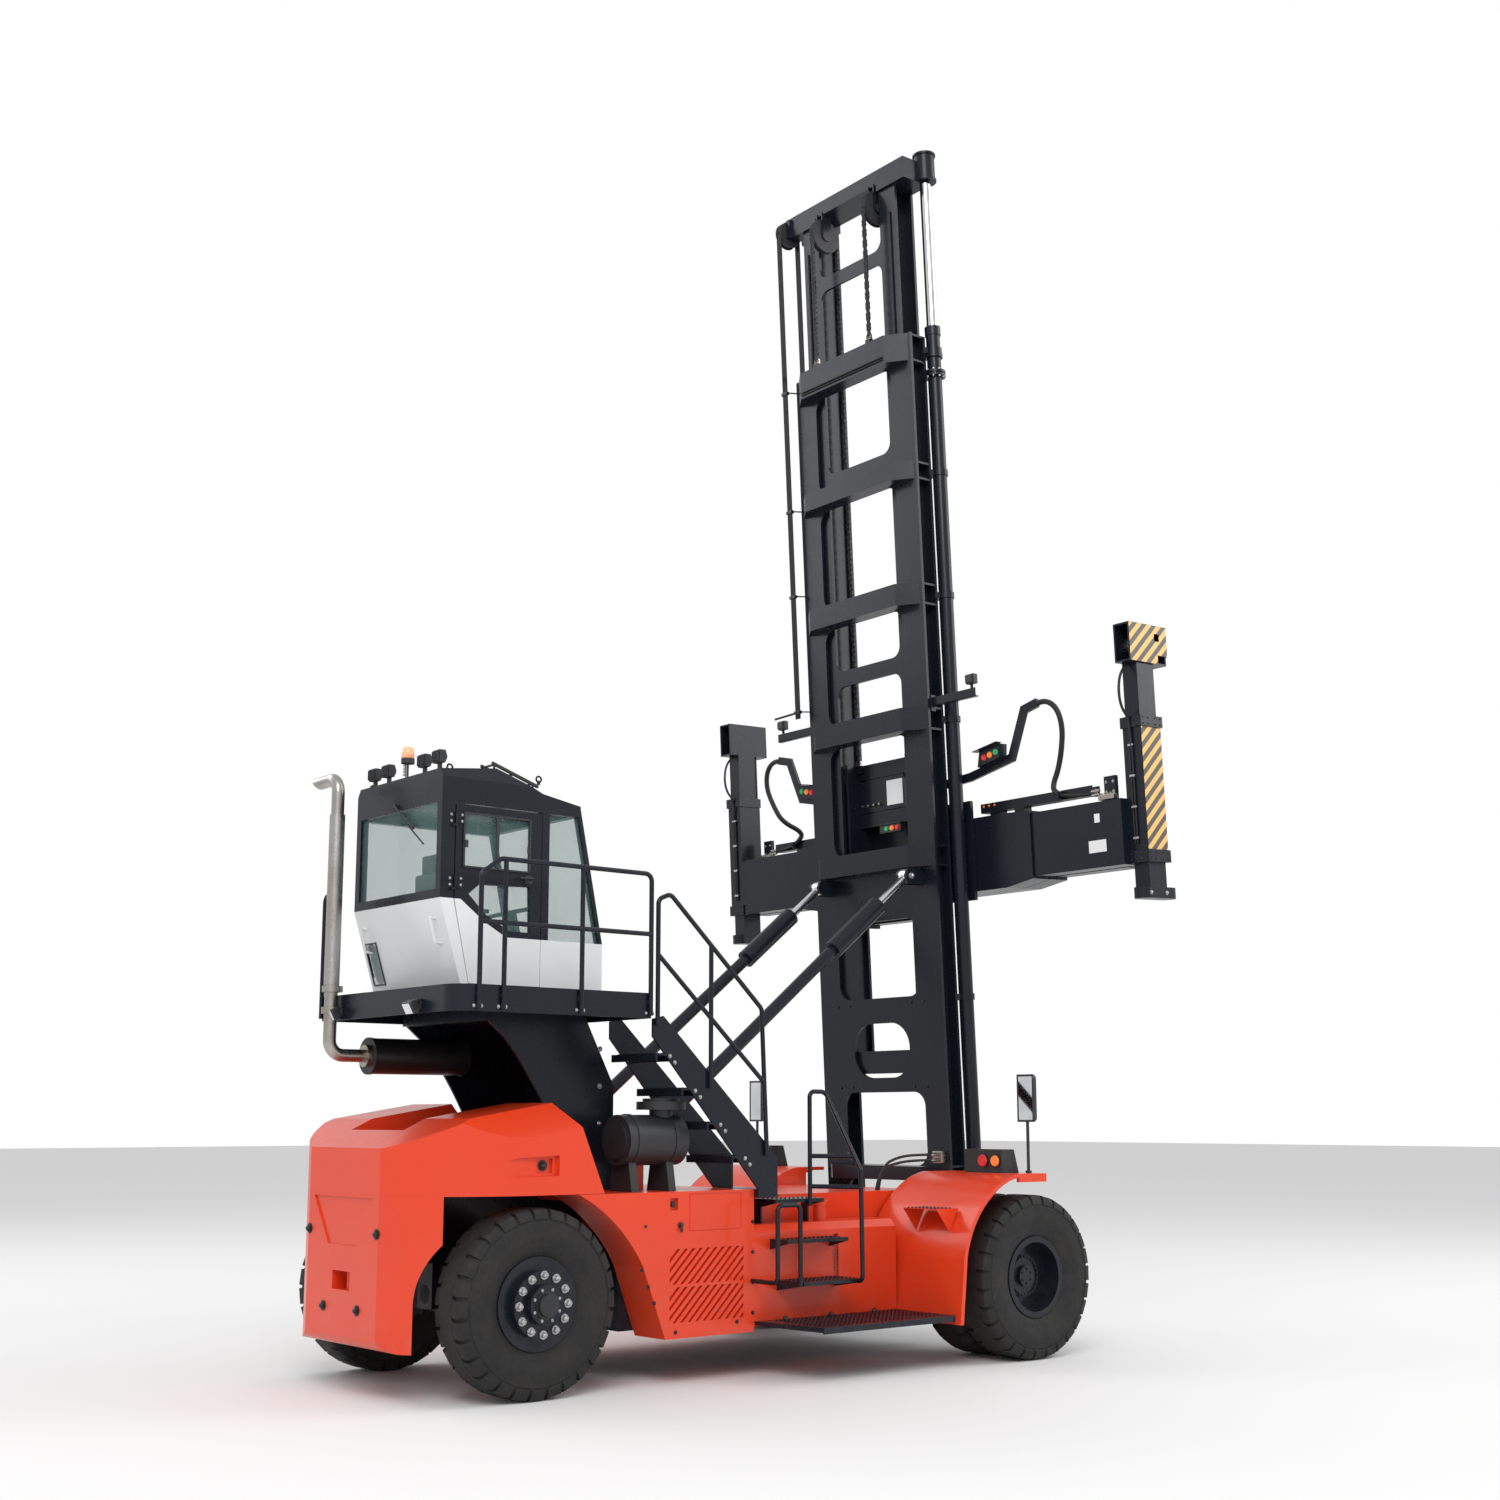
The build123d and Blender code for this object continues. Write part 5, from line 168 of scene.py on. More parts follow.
class Graph(Network):
    """The nodes of one material, around a Principled surface."""

    def __init__(self, name: str) -> None:
        """Start a material.

        Args:
            name: the material's name.
        """
        self.material = bpy.data.materials.new(name)
        self.material.use_nodes = True
        super().__init__(self.material.node_tree)
        self.shader = self.tree.nodes["Principled BSDF"]
        self.place = self.tree.nodes.new("ShaderNodeTexCoord").outputs["Object"]

    def noise(self, scale: float, detail: float = 4.0, rough: float = 0.55) -> Socket:
        """Noise on object coordinates; returns its factor."""
        links = {"Vector": self.place, "Scale": scale, "Detail": detail, "Roughness": rough}
        return self.add("ShaderNodeTexNoise", links).outputs["Fac"]

    def ramp(self, source: Socket, low: float, high: float, start: float = 0.0, end: float = 1.0) -> Socket:
        """Map a value from one range to another, clamped.

        Args:
            source: the value.
            low: the value that gives start.
            high: the value that gives end.
            start: the result at low.
            end: the result at high.

        Returns:
            The mapped value.
        """
        links = {"Value": source, "From Min": low, "From Max": high, "To Min": start, "To Max": end}
        return self.add("ShaderNodeMapRange", links).outputs["Result"]

    def mix(self, share: object, first: object, second: object) -> Socket:
        """Mix two colours; returns the result."""
        links = {0: share, 6: first, 7: second}
        return self.add("ShaderNodeMix", links, data_type="RGBA").outputs[2]

    def split(self) -> bpy.types.Node:
        """The object coordinates as separate X, Y and Z."""
        return self.add("ShaderNodeSeparateXYZ", {0: self.place})

    def wire(self, name: str, value: object) -> None:
        """Set or link one of the surface's inputs."""
        self.join(value, self.shader.inputs[name])

    def vary(self, roughness: float, scale: float, less: float, more: float, detail: float = 4.0) -> None:
        """Vary the surface's roughness with noise between two shares of its value."""
        spots = self.noise(scale, detail)
        self.wire("Roughness", self.ramp(spots, 0.3, 0.7, roughness * less, roughness * more))

    def bump(self, source: Socket, strength: float, distance: float) -> None:
        """Bump the surface by a value."""
        node = self.add("ShaderNodeBump", {"Strength": strength, "Distance": distance, "Height": source})
        self.wire("Normal", node.outputs["Normal"])


def scaled(colour: Colour, share: float) -> Colour:
    """A colour made darker or paler, opaque."""
    return tuple(part * share for part in colour[:3]) + (1.0,)


@dataclass(frozen=True)
class Finish:
    """A material's name and main colour, and the steps that every finish shares."""

    name: str
    colour: Colour

    def make(self) -> bpy.types.Material:
        """Build the material."""
        graph = Graph(self.name)
        self.fill(graph)
        return graph.material

    def fill(self, graph: Graph) -> None:
        """Set the surface of the finish's material."""
        raise NotImplementedError


@dataclass(frozen=True)
class Paint(Finish):
    """Sprayed machine paint with faint mottling, road dust low down and an orange-peel surface."""

    roughness: float = 0.32
    coat: float = 0.5
    coat_roughness: float = 0.12
    dust: float = 0.12
    dust_colour: Colour = (0.30, 0.26, 0.22, 1.0)
    dust_heights: Span = (0.2, 1.6)
    mottle: float = 0.10
    peel: float = 0.004
    uneven: float = 0.08
    gloss: float = 0.5

    def fill(self, graph: Graph) -> None:
        """Set the surface of the finish's material."""
        shade = scaled(self.colour, 1.0 - self.mottle)
        body = graph.mix(graph.ramp(graph.noise(1.7), 0.35, 0.7), self.colour, shade)
        low = graph.ramp(graph.split().outputs["Z"], *self.dust_heights, 1.0, 0.0)
        spots = graph.ramp(graph.noise(7.0, 6.0, 0.7), 0.45, 0.75)
        share = graph.maths("MULTIPLY", graph.maths("MULTIPLY", low, spots), self.dust * 4)
        graph.wire("Base Color", graph.mix(share, body, self.dust_colour))
        graph.vary(self.roughness, 11.0, 1 - self.uneven, 1 + self.uneven, 5.0)
        graph.wire("Specular IOR Level", self.gloss)
        graph.wire("Coat Weight", self.coat)
        graph.wire("Coat Roughness", self.coat_roughness)
        graph.bump(graph.noise(160.0, 2.0), self.peel, 0.002)


@dataclass(frozen=True)
class Metal(Finish):
    """Bare, cast or chromed metal with fine streaks."""

    roughness: float = 0.3
    metallic: float = 1.0
    grain: float = 60.0
    relief: float = 0.05
    tint: Optional[Colour] = None

    def fill(self, graph: Graph) -> None:
        """Set the surface of the finish's material."""
        second = self.tint or scaled(self.colour, 0.75)
        share = graph.ramp(graph.noise(4.0, 6.0), 0.35, 0.75)
        graph.wire("Base Color", graph.mix(share, self.colour, second))
        graph.wire("Metallic", self.metallic)
        graph.vary(self.roughness, self.grain, 0.7, 1.3)
        graph.bump(graph.noise(self.grain * 3, 3.0), self.relief, 0.002)


@dataclass(frozen=True)
class Rubber(Finish):
    """Tyre or hose rubber, dusty in patches."""

    colour: Colour = (0.0155, 0.0150, 0.0150, 1.0)
    dust_colour: Colour = (0.045, 0.040, 0.036, 1.0)
    dust: float = 0.35
    roughness: float = 0.7

    def fill(self, graph: Graph) -> None:
        """Set the surface of the finish's material."""
        patches = graph.ramp(graph.noise(5.0, 7.0, 0.65), 0.42, 0.72, 0.0, self.dust)
        graph.wire("Base Color", graph.mix(patches, self.colour, self.dust_colour))
        graph.vary(self.roughness, 24.0, 0.9, 1.15)
        graph.wire("Specular IOR Level", 0.35)
        graph.bump(graph.noise(90.0, 5.0), 0.12, 0.003)


@dataclass(frozen=True)
class Plastic(Finish):
    """Moulded plastic with a fine grain."""

    roughness: float = 0.45
    grain: float = 220.0

    def fill(self, graph: Graph) -> None:
        """Set the surface of the finish's material."""
        share = graph.ramp(graph.noise(6.0), 0.4, 0.7)
        graph.wire("Base Color", graph.mix(share, self.colour, scaled(self.colour, 0.8)))
        graph.vary(self.roughness, 30.0, 0.9, 1.1)
        graph.bump(graph.noise(self.grain, 2.0), 0.08, 0.001)


@dataclass(frozen=True)
class Glazing(Finish):
    """Tinted safety glass with faint smears."""

    colour: Colour = (0.16, 0.30, 0.28, 1.0)
    smear_colour: Colour = (0.12, 0.24, 0.23, 1.0)
    roughness: float = 0.015
    alpha: float = 0.22

    def fill(self, graph: Graph) -> None:
        """Set the surface of the finish's material."""
        share = graph.ramp(graph.noise(1.2), 0.3, 0.8)
        graph.wire("Base Color", graph.mix(share, self.colour, self.smear_colour))
        smears = graph.noise(8.0, 6.0)
        graph.wire("Roughness", graph.ramp(smears, 0.35, 0.8, self.roughness, self.roughness * 4))
        graph.wire("IOR", 1.45)
        graph.wire("Alpha", self.alpha)


@dataclass(frozen=True)
class Cloth(Finish):
    """Woven seat cloth."""

    colour: Colour = (0.035, 0.037, 0.042, 1.0)
    thread: float = 900.0

    def fill(self, graph: Graph) -> None:
        """Set the surface of the finish's material."""
        cells = graph.add("ShaderNodeTexVoronoi", {"Vector": graph.place, "Scale": self.thread})
        weave = cells.outputs["Distance"]
        share = graph.ramp(weave, 0.1, 0.6)
        graph.wire("Base Color", graph.mix(share, self.colour, scaled(self.colour, 1.9)))
        graph.wire("Roughness", 0.9)
        graph.wire("Sheen Weight", 0.3)
        graph.bump(weave, 0.25, 0.001)


@dataclass(frozen=True)
class Glow(Finish):
    """A lamp's lens: coloured, ribbed, glossy and a little lit."""

    strength: float = 0.15

    def fill(self, graph: Graph) -> None:
        """Set the surface of the finish's material."""
        wave = graph.add("ShaderNodeTexWave", {"Vector": graph.place, "Scale": 40.0, "Distortion": 0.0})
        pale = tuple(min(1.0, part * 1.25 + 0.03) for part in self.colour[:3]) + (1.0,)
        graph.wire("Base Color", graph.mix(wave.outputs["Fac"], self.colour, pale))
        graph.wire("Roughness", 0.12)
        graph.wire("Emission Color", self.colour)
        graph.wire("Emission Strength", self.strength)


@dataclass(frozen=True)
class Hazard(Finish):
    """Slanted yellow and dark stripes painted on the spreader's legs."""

    colour: Colour = (0.88, 0.50, 0.13, 1.0)
    dark: Colour = (0.075, 0.072, 0.066, 1.0)
    pitch: float = 0.130

    def fill(self, graph: Graph) -> None:
        """Set the surface of the finish's material."""
        parts = graph.split().outputs
        turns = graph.maths("DIVIDE", graph.maths("SUBTRACT", parts["Z"], parts["X"]), self.pitch)
        share = graph.maths("GREATER_THAN", graph.maths("FRACT", turns), 0.5)
        worn = graph.maths("MULTIPLY", share, graph.ramp(graph.noise(14.0, 8.0, 0.7), 0.28, 0.36))
        graph.wire("Base Color", graph.mix(worn, self.dark, self.colour))
        graph.wire("Roughness", 0.4)
        graph.bump(graph.noise(160.0, 2.0), 0.03, 0.002)


FINISHES = (
    Paint("orange_paint", (0.76, 0.050, 0.011, 1.0), roughness=0.34, coat=0.30, gloss=0.35, mottle=0.06,
          dust=0.03),
    Paint("black_paint", (0.0080, 0.0108, 0.0180, 1.0), roughness=0.28, coat=0.06, gloss=0.28, mottle=0.15,
          dust=0.02, peel=0.01),
    Paint("white_paint", (0.78, 0.79, 0.80, 1.0), roughness=0.28, mottle=0.0, dust=0.0, peel=0.0,
          uneven=0.02),
    Metal("steel", (0.46, 0.45, 0.44, 1.0), roughness=0.34, tint=(0.34, 0.30, 0.25, 1.0)),
    Metal("cast_grey", (0.05, 0.05, 0.055, 1.0), roughness=0.55, metallic=0.35, relief=0.15),
    Metal("heat_dark", (0.020, 0.020, 0.021, 1.0), roughness=0.40, metallic=0.3),
    Metal("chrome", (0.80, 0.80, 0.82, 1.0), roughness=0.10, grain=30.0, relief=0.01),
    Metal("bright_bolt", (0.52, 0.52, 0.53, 1.0), roughness=0.35, grain=80.0),
    Rubber("tyre"),
    Rubber("hose", dust=0.15, roughness=0.5),
    Plastic("black_plastic", (0.022, 0.023, 0.026, 1.0)),
    Plastic("hub_black", (0.018, 0.019, 0.022, 1.0), roughness=0.38),
    Glazing("glass"),
    Cloth("seat_fabric"),
    Glow("amber_lens", (0.85, 0.20, 0.02, 1.0), strength=0.25),
    Glow("beacon_lens", (0.90, 0.36, 0.20, 1.0), strength=0.3),
    Glow("red_lens", (0.55, 0.01, 0.01, 1.0), strength=0.2),
    Glow("green_lens", (0.01, 0.30, 0.10, 1.0), strength=0.2),
    Glow("clear_lens", (0.62, 0.64, 0.66, 1.0), strength=0.05),
    Metal("mirror_glass", (0.80, 0.83, 0.86, 1.0), roughness=0.03, relief=0.0),
    Hazard("hazard_stripes"),
)


class Pattern(Network):
    """A Geometry Nodes tree with named inputs that turns a mesh into a repeated one."""

    def __init__(self, name: str, inputs: Sequence[tuple[str, str, object]]) -> None:
        """Start a tree with a geometry input, the named inputs and a geometry output.

        Args:
            name: the tree's name.
            inputs: name, socket type and default of each input.
        """
        super().__init__(bpy.data.node_groups.new(name, "GeometryNodeTree"))
        self.tree.is_modifier = True
        for way in ("INPUT", "OUTPUT"):
            self.tree.interface.new_socket("Geometry", in_out=way, socket_type="NodeSocketGeometry")
        self.keys = {}
        for label, kind, value in inputs + (("Finish", "NodeSocketMaterial", None),):
            socket = self.tree.interface.new_socket(label, in_out="INPUT", socket_type=kind)
            if value is not None:
                socket.default_value = value
            self.keys[label] = socket.identifier
        self.inlet = self.tree.nodes.new("NodeGroupInput").outputs
        self.outlet = self.tree.nodes.new("NodeGroupOutput").inputs

    def turned(self, **angles: object) -> Socket:
        """A rotation by an angle about an axis."""
        vector = self.add("ShaderNodeCombineXYZ", angles)
        return self.add("FunctionNodeEulerToRotation", {0: vector.outputs[0]}).outputs[0]

    def close(self, points: Socket, shape: Socket, **links: Socket) -> None:
        """Put a shape on each point, make it real, set its material and end the tree."""
        placed = self.add("GeometryNodeInstanceOnPoints", {"Points": points, "Instance": shape, **links})
        real = self.add("GeometryNodeRealizeInstances", {"Geometry": placed.outputs[0]})
        paint = {"Geometry": real.outputs[0], "Material": self.inlet["Finish"]}
        self.join(self.add("GeometryNodeSetMaterial", paint).outputs[0], self.outlet[0])

    def grow(self, mesh: Mesh, **values: object) -> Mesh:
        """Run the tree on a mesh and return the result as a plain mesh.

        Args:
            mesh: the tree's input, which is removed.
            **values: values of the inputs, by name.

        Returns:
            The new mesh.
        """
        carrier = bpy.data.objects.new("carrier", mesh)
        bpy.context.scene.collection.objects.link(carrier)
        modifier = carrier.modifiers.new("pattern", "NODES")
        modifier.node_group = self.tree
        for label, value in values.items():
            modifier[self.keys[label]] = value
        made = evaluated(carrier)
        bpy.data.objects.remove(carrier)
        bpy.data.meshes.remove(mesh)
        return made


class FastenerPattern(Pattern):
    """Puts a washer, a head and a dome on each point, square to the point's facing."""

    def __init__(self) -> None:
        """Build the tree."""
        super().__init__("fasteners", (
            ("Head Radius", "NodeSocketFloat", 0.01),
            ("Head Height", "NodeSocketFloat", 0.008),
            ("Sides", "NodeSocketInt", 6),
        ))
        radius, height = self.inlet["Head Radius"], self.inlet["Head Height"]
        thick = self.maths("MULTIPLY", height, 0.3)
        washer = {"Vertices": 14, "Radius": self.maths("MULTIPLY", radius, 1.4), "Depth": thick}
        head = {"Vertices": self.inlet["Sides"], "Radius": radius, "Depth": height}
        dome = {"Segments": 10, "Rings": 6, "Radius": self.maths("MULTIPLY", radius, 0.8)}
        joined = self.add("GeometryNodeJoinGeometry")
        for kind, links, size, share in (
            ("GeometryNodeMeshCylinder", washer, thick, 0.5),
            ("GeometryNodeMeshCylinder", head, height, 0.5),
            ("GeometryNodeMeshUVSphere", dome, height, 0.8),
        ):
            lift = self.add("ShaderNodeCombineXYZ", {"Z": self.maths("MULTIPLY", size, share)})
            raised = {"Geometry": self.add(kind, links).outputs[0], "Translation": lift.outputs[0]}
            self.join(self.add("GeometryNodeTransform", raised).outputs[0], joined.inputs[0])
        facing = self.add("GeometryNodeInputNamedAttribute", {"Name": "facing"}, data_type="FLOAT_VECTOR")
        turn = self.add("FunctionNodeAlignRotationToVector", {"Vector": facing.outputs[0]}, axis="Z")
        self.close(self.inlet["Geometry"], joined.outputs[0], Rotation=turn.outputs[0])


class RingPattern(Pattern):
    """Repeats the mesh about the y axis."""

    def __init__(self) -> None:
        """Build the tree."""
        super().__init__("ring", (
            ("Count", "NodeSocketInt", 12),
            ("Start", "NodeSocketFloat", 0.0),
            ("Step", "NodeSocketFloat", 0.5),
        ))
        index = self.add("GeometryNodeInputIndex").outputs[0]
        angle = self.maths("ADD", self.inlet["Start"], self.maths("MULTIPLY", index, self.inlet["Step"]))
        points = self.add("GeometryNodePoints", {"Count": self.inlet["Count"]})
        self.close(points.outputs[0], self.inlet["Geometry"], Rotation=self.turned(Y=angle))


class RowPattern(Pattern):
    """Repeats the mesh along a straight row."""

    def __init__(self) -> None:
        """Build the tree."""
        super().__init__("row", (
            ("Count", "NodeSocketInt", 12),
            ("Step", "NodeSocketVector", None),
        ))
        links = {"Count": self.inlet["Count"], "Offset": self.inlet["Step"]}
        line = self.add("GeometryNodeMeshLine", links, mode="OFFSET")
        self.close(line.outputs[0], self.inlet["Geometry"])


@dataclass(frozen=True)
class Bend:
    """The two bodies that a piece runs between, and where, in the row frame."""

    first: str
    second: str
    start: Vector
    end: Vector


Rides = Union[str, Bend]


class Shop:
    """Holds the finishes and the patterns, and makes the pieces."""

    def __init__(self) -> None:
        """Build every finish and pattern once."""
        self.materials = {finish.name: finish.make() for finish in FINISHES}
        self.fasteners = FastenerPattern()
        self.ring = RingPattern()
        self.row = RowPattern()

    def dress(self, piece: Piece, name: str) -> None:
        """Give an object one material, replacing what it had."""
        piece.data.materials.clear()
        piece.data.materials.append(self.materials[name])

    def piece(self, name: str, mesh: Mesh, rides: Rides, finish: str, slot: Optional[str] = None,
              smooth: bool = False) -> Piece:
        """Turn a mesh into a dressed piece that rides on a body; one given a bend between two bodies is left in
        the row frame, on no body.

        Args:
            name: the piece's name.
            mesh: its mesh, in the row frame.
            rides: the body that carries it, or the bend between two.
            finish: its material.
            slot: not used.
            smooth: whether its faces are shaded smooth.

        Returns:
            The new object.
        """
        mesh.name = name
        if smooth:
            mesh.shade_smooth()
        made = bpy.data.objects.new(name, mesh)
        bpy.context.scene.collection.objects.link(made)
        self.dress(made, finish)
        if isinstance(rides, Bend):
            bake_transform(made)
        else:
            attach(made, rides)
        LOG.info("piece %s: %d faces", name, len(mesh.polygons))
        return made

    def chassis(self, name: str, shape: Shape, finish: str, body: Rides = "chassis",
                smooth: bool = False) -> Piece:
        """Make a piece from a shape in the chassis's coordinates."""
        return self.piece(name, to_mesh(shape, Layout.CHASSIS), body, finish, smooth=smooth)

    def mast(self, name: str, shape: Shape, finish: str, body: Rides = "mast_outer",
             smooth: bool = False) -> Piece:
        """Make a piece from a shape in the mast's coordinates."""
        return self.piece(name, to_mesh(shape, Layout.MAST), body, finish, smooth=smooth)

    def repeat(self, shape: Union[Shape, Mesh], finish: str, count: int, step: Point) -> Mesh:
        """Repeat a shape along a straight row.

        Args:
            shape: what is repeated.
            finish: the material it gets.
            count: how many there are.
            step: the way from one to the next.

        Returns:
            The row's mesh.
        """
        mesh = shape if isinstance(shape, bpy.types.Mesh) else to_mesh(shape)
        return self.row.grow(mesh, Count=count, Step=step, Finish=self.materials[finish])

    def encircle(self, whole: Shape, mesh: Mesh, finish: str, count: int, start: float, step: float) -> None:
        """Add a mesh, repeated about the y axis, to a shape.

        Args:
            whole: the shape to add to.
            mesh: what is repeated.
            finish: the material it gets.
            count: how many there are.
            start: the first one's angle.
            step: the angle from one to the next.
        """
        values = {"Count": count, "Start": start, "Step": step, "Finish": self.materials[finish]}
        absorb(whole, self.ring.grow(mesh, **values))

    def hose(self, name: str, points: Sequence[Point], radius: float, layout: Layout,
             rides: Rides) -> tuple[Piece, list[Vector]]:
        """Make a hose, which is all that one held along its way needs.

        Args:
            name: the piece's name.
            points: control points of its route, in the layout's coordinates.
            radius: the hose's radius.
            layout: what the points are measured in.
            rides: the body that carries it, or the bend between two.

        Returns:
            The new object and the points of its centreline, in the row frame.
        """
        mesh, route = hose(points, radius, layout)
        return self.piece(name, mesh, rides, "hose", smooth=True), route

    def free_hose(self, name: str, points: Sequence[Point], radius: float, layout: Layout, rides: Rides) -> None:
        """Args:
            name: the piece's name.
            points: control points of its route, in the layout's coordinates.
            radius: the hose's radius.
            layout: what the points are measured in.
            rides: the body that carries it, or the bend between two.
        """
        made, route = self.hose(name, points, radius, layout, rides)

    def bolts(self, name: str, rides: Rides, layout: Layout, rows: Iterable[tuple[Point, Point]],
              radius: float, height: float, finish: str = "bright_bolt", slot: Optional[str] = None) -> None:
        """Make one piece of many fasteners.

        Args:
            name: the piece's name.
            rides: the body that carries it.
            layout: what the places are measured in.
            rows: place and facing of each fastener.
            radius: half the head's width.
            height: the head's height.
            finish: its material.
            slot: not used; it is only passed on to the piece, which ignores it.
        """
        rows = list(rows)
        mesh = bpy.data.meshes.new(name)
        mesh.from_pydata([tuple(layout.place(*place)) for place, _ in rows], [], [])
        turned = layout.matrix.to_3x3()
        facings = [part for _, facing in rows for part in (turned @ Vector(facing))]
        mesh.attributes.new("facing", "FLOAT_VECTOR", "POINT").data.foreach_set("vector", facings)
        values = {"Head Radius": radius, "Head Height": height, "Finish": self.materials[finish]}
        self.piece(name, self.fasteners.grow(mesh, **values), rides, finish, slot)


def evaluated(carrier: Piece) -> Mesh:
    """An object's mesh with its modifiers applied."""
    seen = carrier.evaluated_get(bpy.context.evaluated_depsgraph_get())
    return bpy.data.meshes.new_from_object(seen)


def to_mesh(shape: Shape, layout: Optional[Layout] = None) -> Mesh:
    """Turn a shape into a mesh with outward faces, in the row frame, and free it."""
    bmesh.ops.recalc_face_normals(shape, faces=shape.faces)
    if layout is not None:
        shape.transform(layout.matrix)
    return plain_mesh(shape)


def plain_mesh(shape: Shape) -> Mesh:
    """Turn a shape into a mesh as it is and free it."""
    mesh = bpy.data.meshes.new("shape")
    shape.to_mesh(mesh)
    shape.free()
    return mesh


def absorb(shape: Shape, mesh: Mesh) -> None:
    """Add a mesh to a shape and remove the mesh."""
    shape.from_mesh(mesh)
    bpy.data.meshes.remove(mesh)


def moved(mesh: Mesh, place: Point, layout: Layout) -> Mesh:
    """Move a mesh to a place of a layout."""
    mesh.transform(layout.matrix @ Matrix.Translation(place))
    return mesh


def about(middle: float, half: float) -> Span:
    """The span that reaches equally far to both sides of its middle."""
    return (middle - half, middle + half)


def circle(count: int, radius: float, shift: float = 0.0) -> list[tuple[float, float]]:
    """Points evenly round a circle, the first of them turned by a share of a step."""
    angles = [2 * math.pi * (index + shift) / count for index in range(count)]
    return [(radius * math.cos(angle), radius * math.sin(angle)) for angle in angles]


def block(shape: Shape, x: Span, y: Span, z: Span, bevel: float = 0.0) -> None:
    """Add a box between three pairs of coordinates, its edges bevelled if asked."""
    centre = Vector(((x[0] + x[1]) / 2, (y[0] + y[1]) / 2, (z[0] + z[1]) / 2))
    size = Matrix.Diagonal((abs(x[1] - x[0]), abs(y[1] - y[0]), abs(z[1] - z[0]), 1.0))
    made = bmesh.ops.create_cube(shape, size=1.0, matrix=Matrix.Translation(centre) @ size)
    if bevel:
        edges = list(dict.fromkeys(edge for vert in made["verts"] for edge in vert.link_edges))
        bmesh.ops.bevel(shape, geom=edges, offset=bevel, segments=2, affect="EDGES", profile=0.5)


def rod(shape: Shape, start: Point, end: Point, radius: float, sides: int,
        far: Optional[float] = None) -> None:
    """Add a round bar, or a cone frustum where the far radius differs."""
    first, last = Vector(start), Vector(end)
    along = last - first
    turn = along.to_track_quat("Z", "Y").to_matrix().to_4x4()
    matrix = Matrix.Translation((first + last) / 2) @ turn
    far = radius if far is None else far
    bmesh.ops.create_cone(shape, cap_ends=True, segments=sides, radius1=radius, radius2=far,
                          depth=along.length, matrix=matrix)


def skin(shape: Shape, rings: Sequence[Sequence], closed: bool = False) -> None:
    """Join rings of points with faces, back to the first ring or with both ends capped."""
    pairs = list(zip(rings, rings[1:]))
    if closed:
        pairs.append((rings[-1], rings[0]))
    for here, there in pairs:
        for index in range(len(here)):
            after = (index + 1) % len(here)
            shape.faces.new((here[index], here[after], there[after], there[index]))
    if not closed:
        shape.faces.new(rings[0])
        shape.faces.new(rings[-1])


def prism(shape: Shape, outline: Sequence[Point], along: Point) -> None:
    """Add a prism from an outline of points swept along a vector."""
    low = [shape.verts.new(point) for point in outline]
    high = [shape.verts.new(Vector(point) + Vector(along)) for point in outline]
    skin(shape, (low, high))


def tube(shape: Shape, rings: Iterable[Iterable[Point]]) -> None:
    """Add a closed tube through rings of points."""
    skin(shape, [[shape.verts.new(point) for point in ring] for ring in rings])


def revolve(shape: Shape, outline: Sequence[tuple[float, float]], centre: Vector, steps: int) -> None:
    """Add a closed ring made by turning an outline about a y axis through a centre.

    Args:
        shape: the shape to add to.
        outline: closed loop of (y, radius) pairs.
        centre: a point on the axis.
        steps: how many steps the turn has.
    """
    rings = []
    for across_x, across_z in circle(steps, 1.0):
        across = Vector((across_x, 0.0, across_z))
        rings.append([shape.verts.new(centre + Vector((0, y, 0)) + across * radius) for y, radius in outline])
    skin(shape, rings, closed=True)


def hose(points: Sequence[Point], radius: float, layout: Layout) -> tuple[Mesh, list[Vector]]:
    """A smooth round hose along control points.

    Args:
        points: control points in the layout's coordinates.
        radius: the hose's radius.
        layout: what the points are measured in.

    Returns:
        The tube's mesh and the points of its centreline, in the row frame.
    """
    curve = bpy.data.curves.new("hose", "CURVE")
    curve.dimensions = "3D"
    curve.bevel_resolution = 3
    curve.resolution_u = 8
    curve.use_fill_caps = True
    spline = curve.splines.new("NURBS")
    spline.points.add(len(points) - 1)
    for knot, point in zip(spline.points, points):
        knot.co = (*layout.place(*point), 1.0)
    spline.order_u = 3
    spline.use_endpoint_u = True
    carrier = bpy.data.objects.new("hose", curve)
    bpy.context.scene.collection.objects.link(carrier)
    line = evaluated(carrier)
    route = [vert.co.copy() for vert in line.vertices]
    bpy.data.meshes.remove(line)
    curve.bevel_depth = radius
    mesh = evaluated(carrier)
    bpy.data.objects.remove(carrier)
    bpy.data.curves.remove(curve)
    return mesh, route


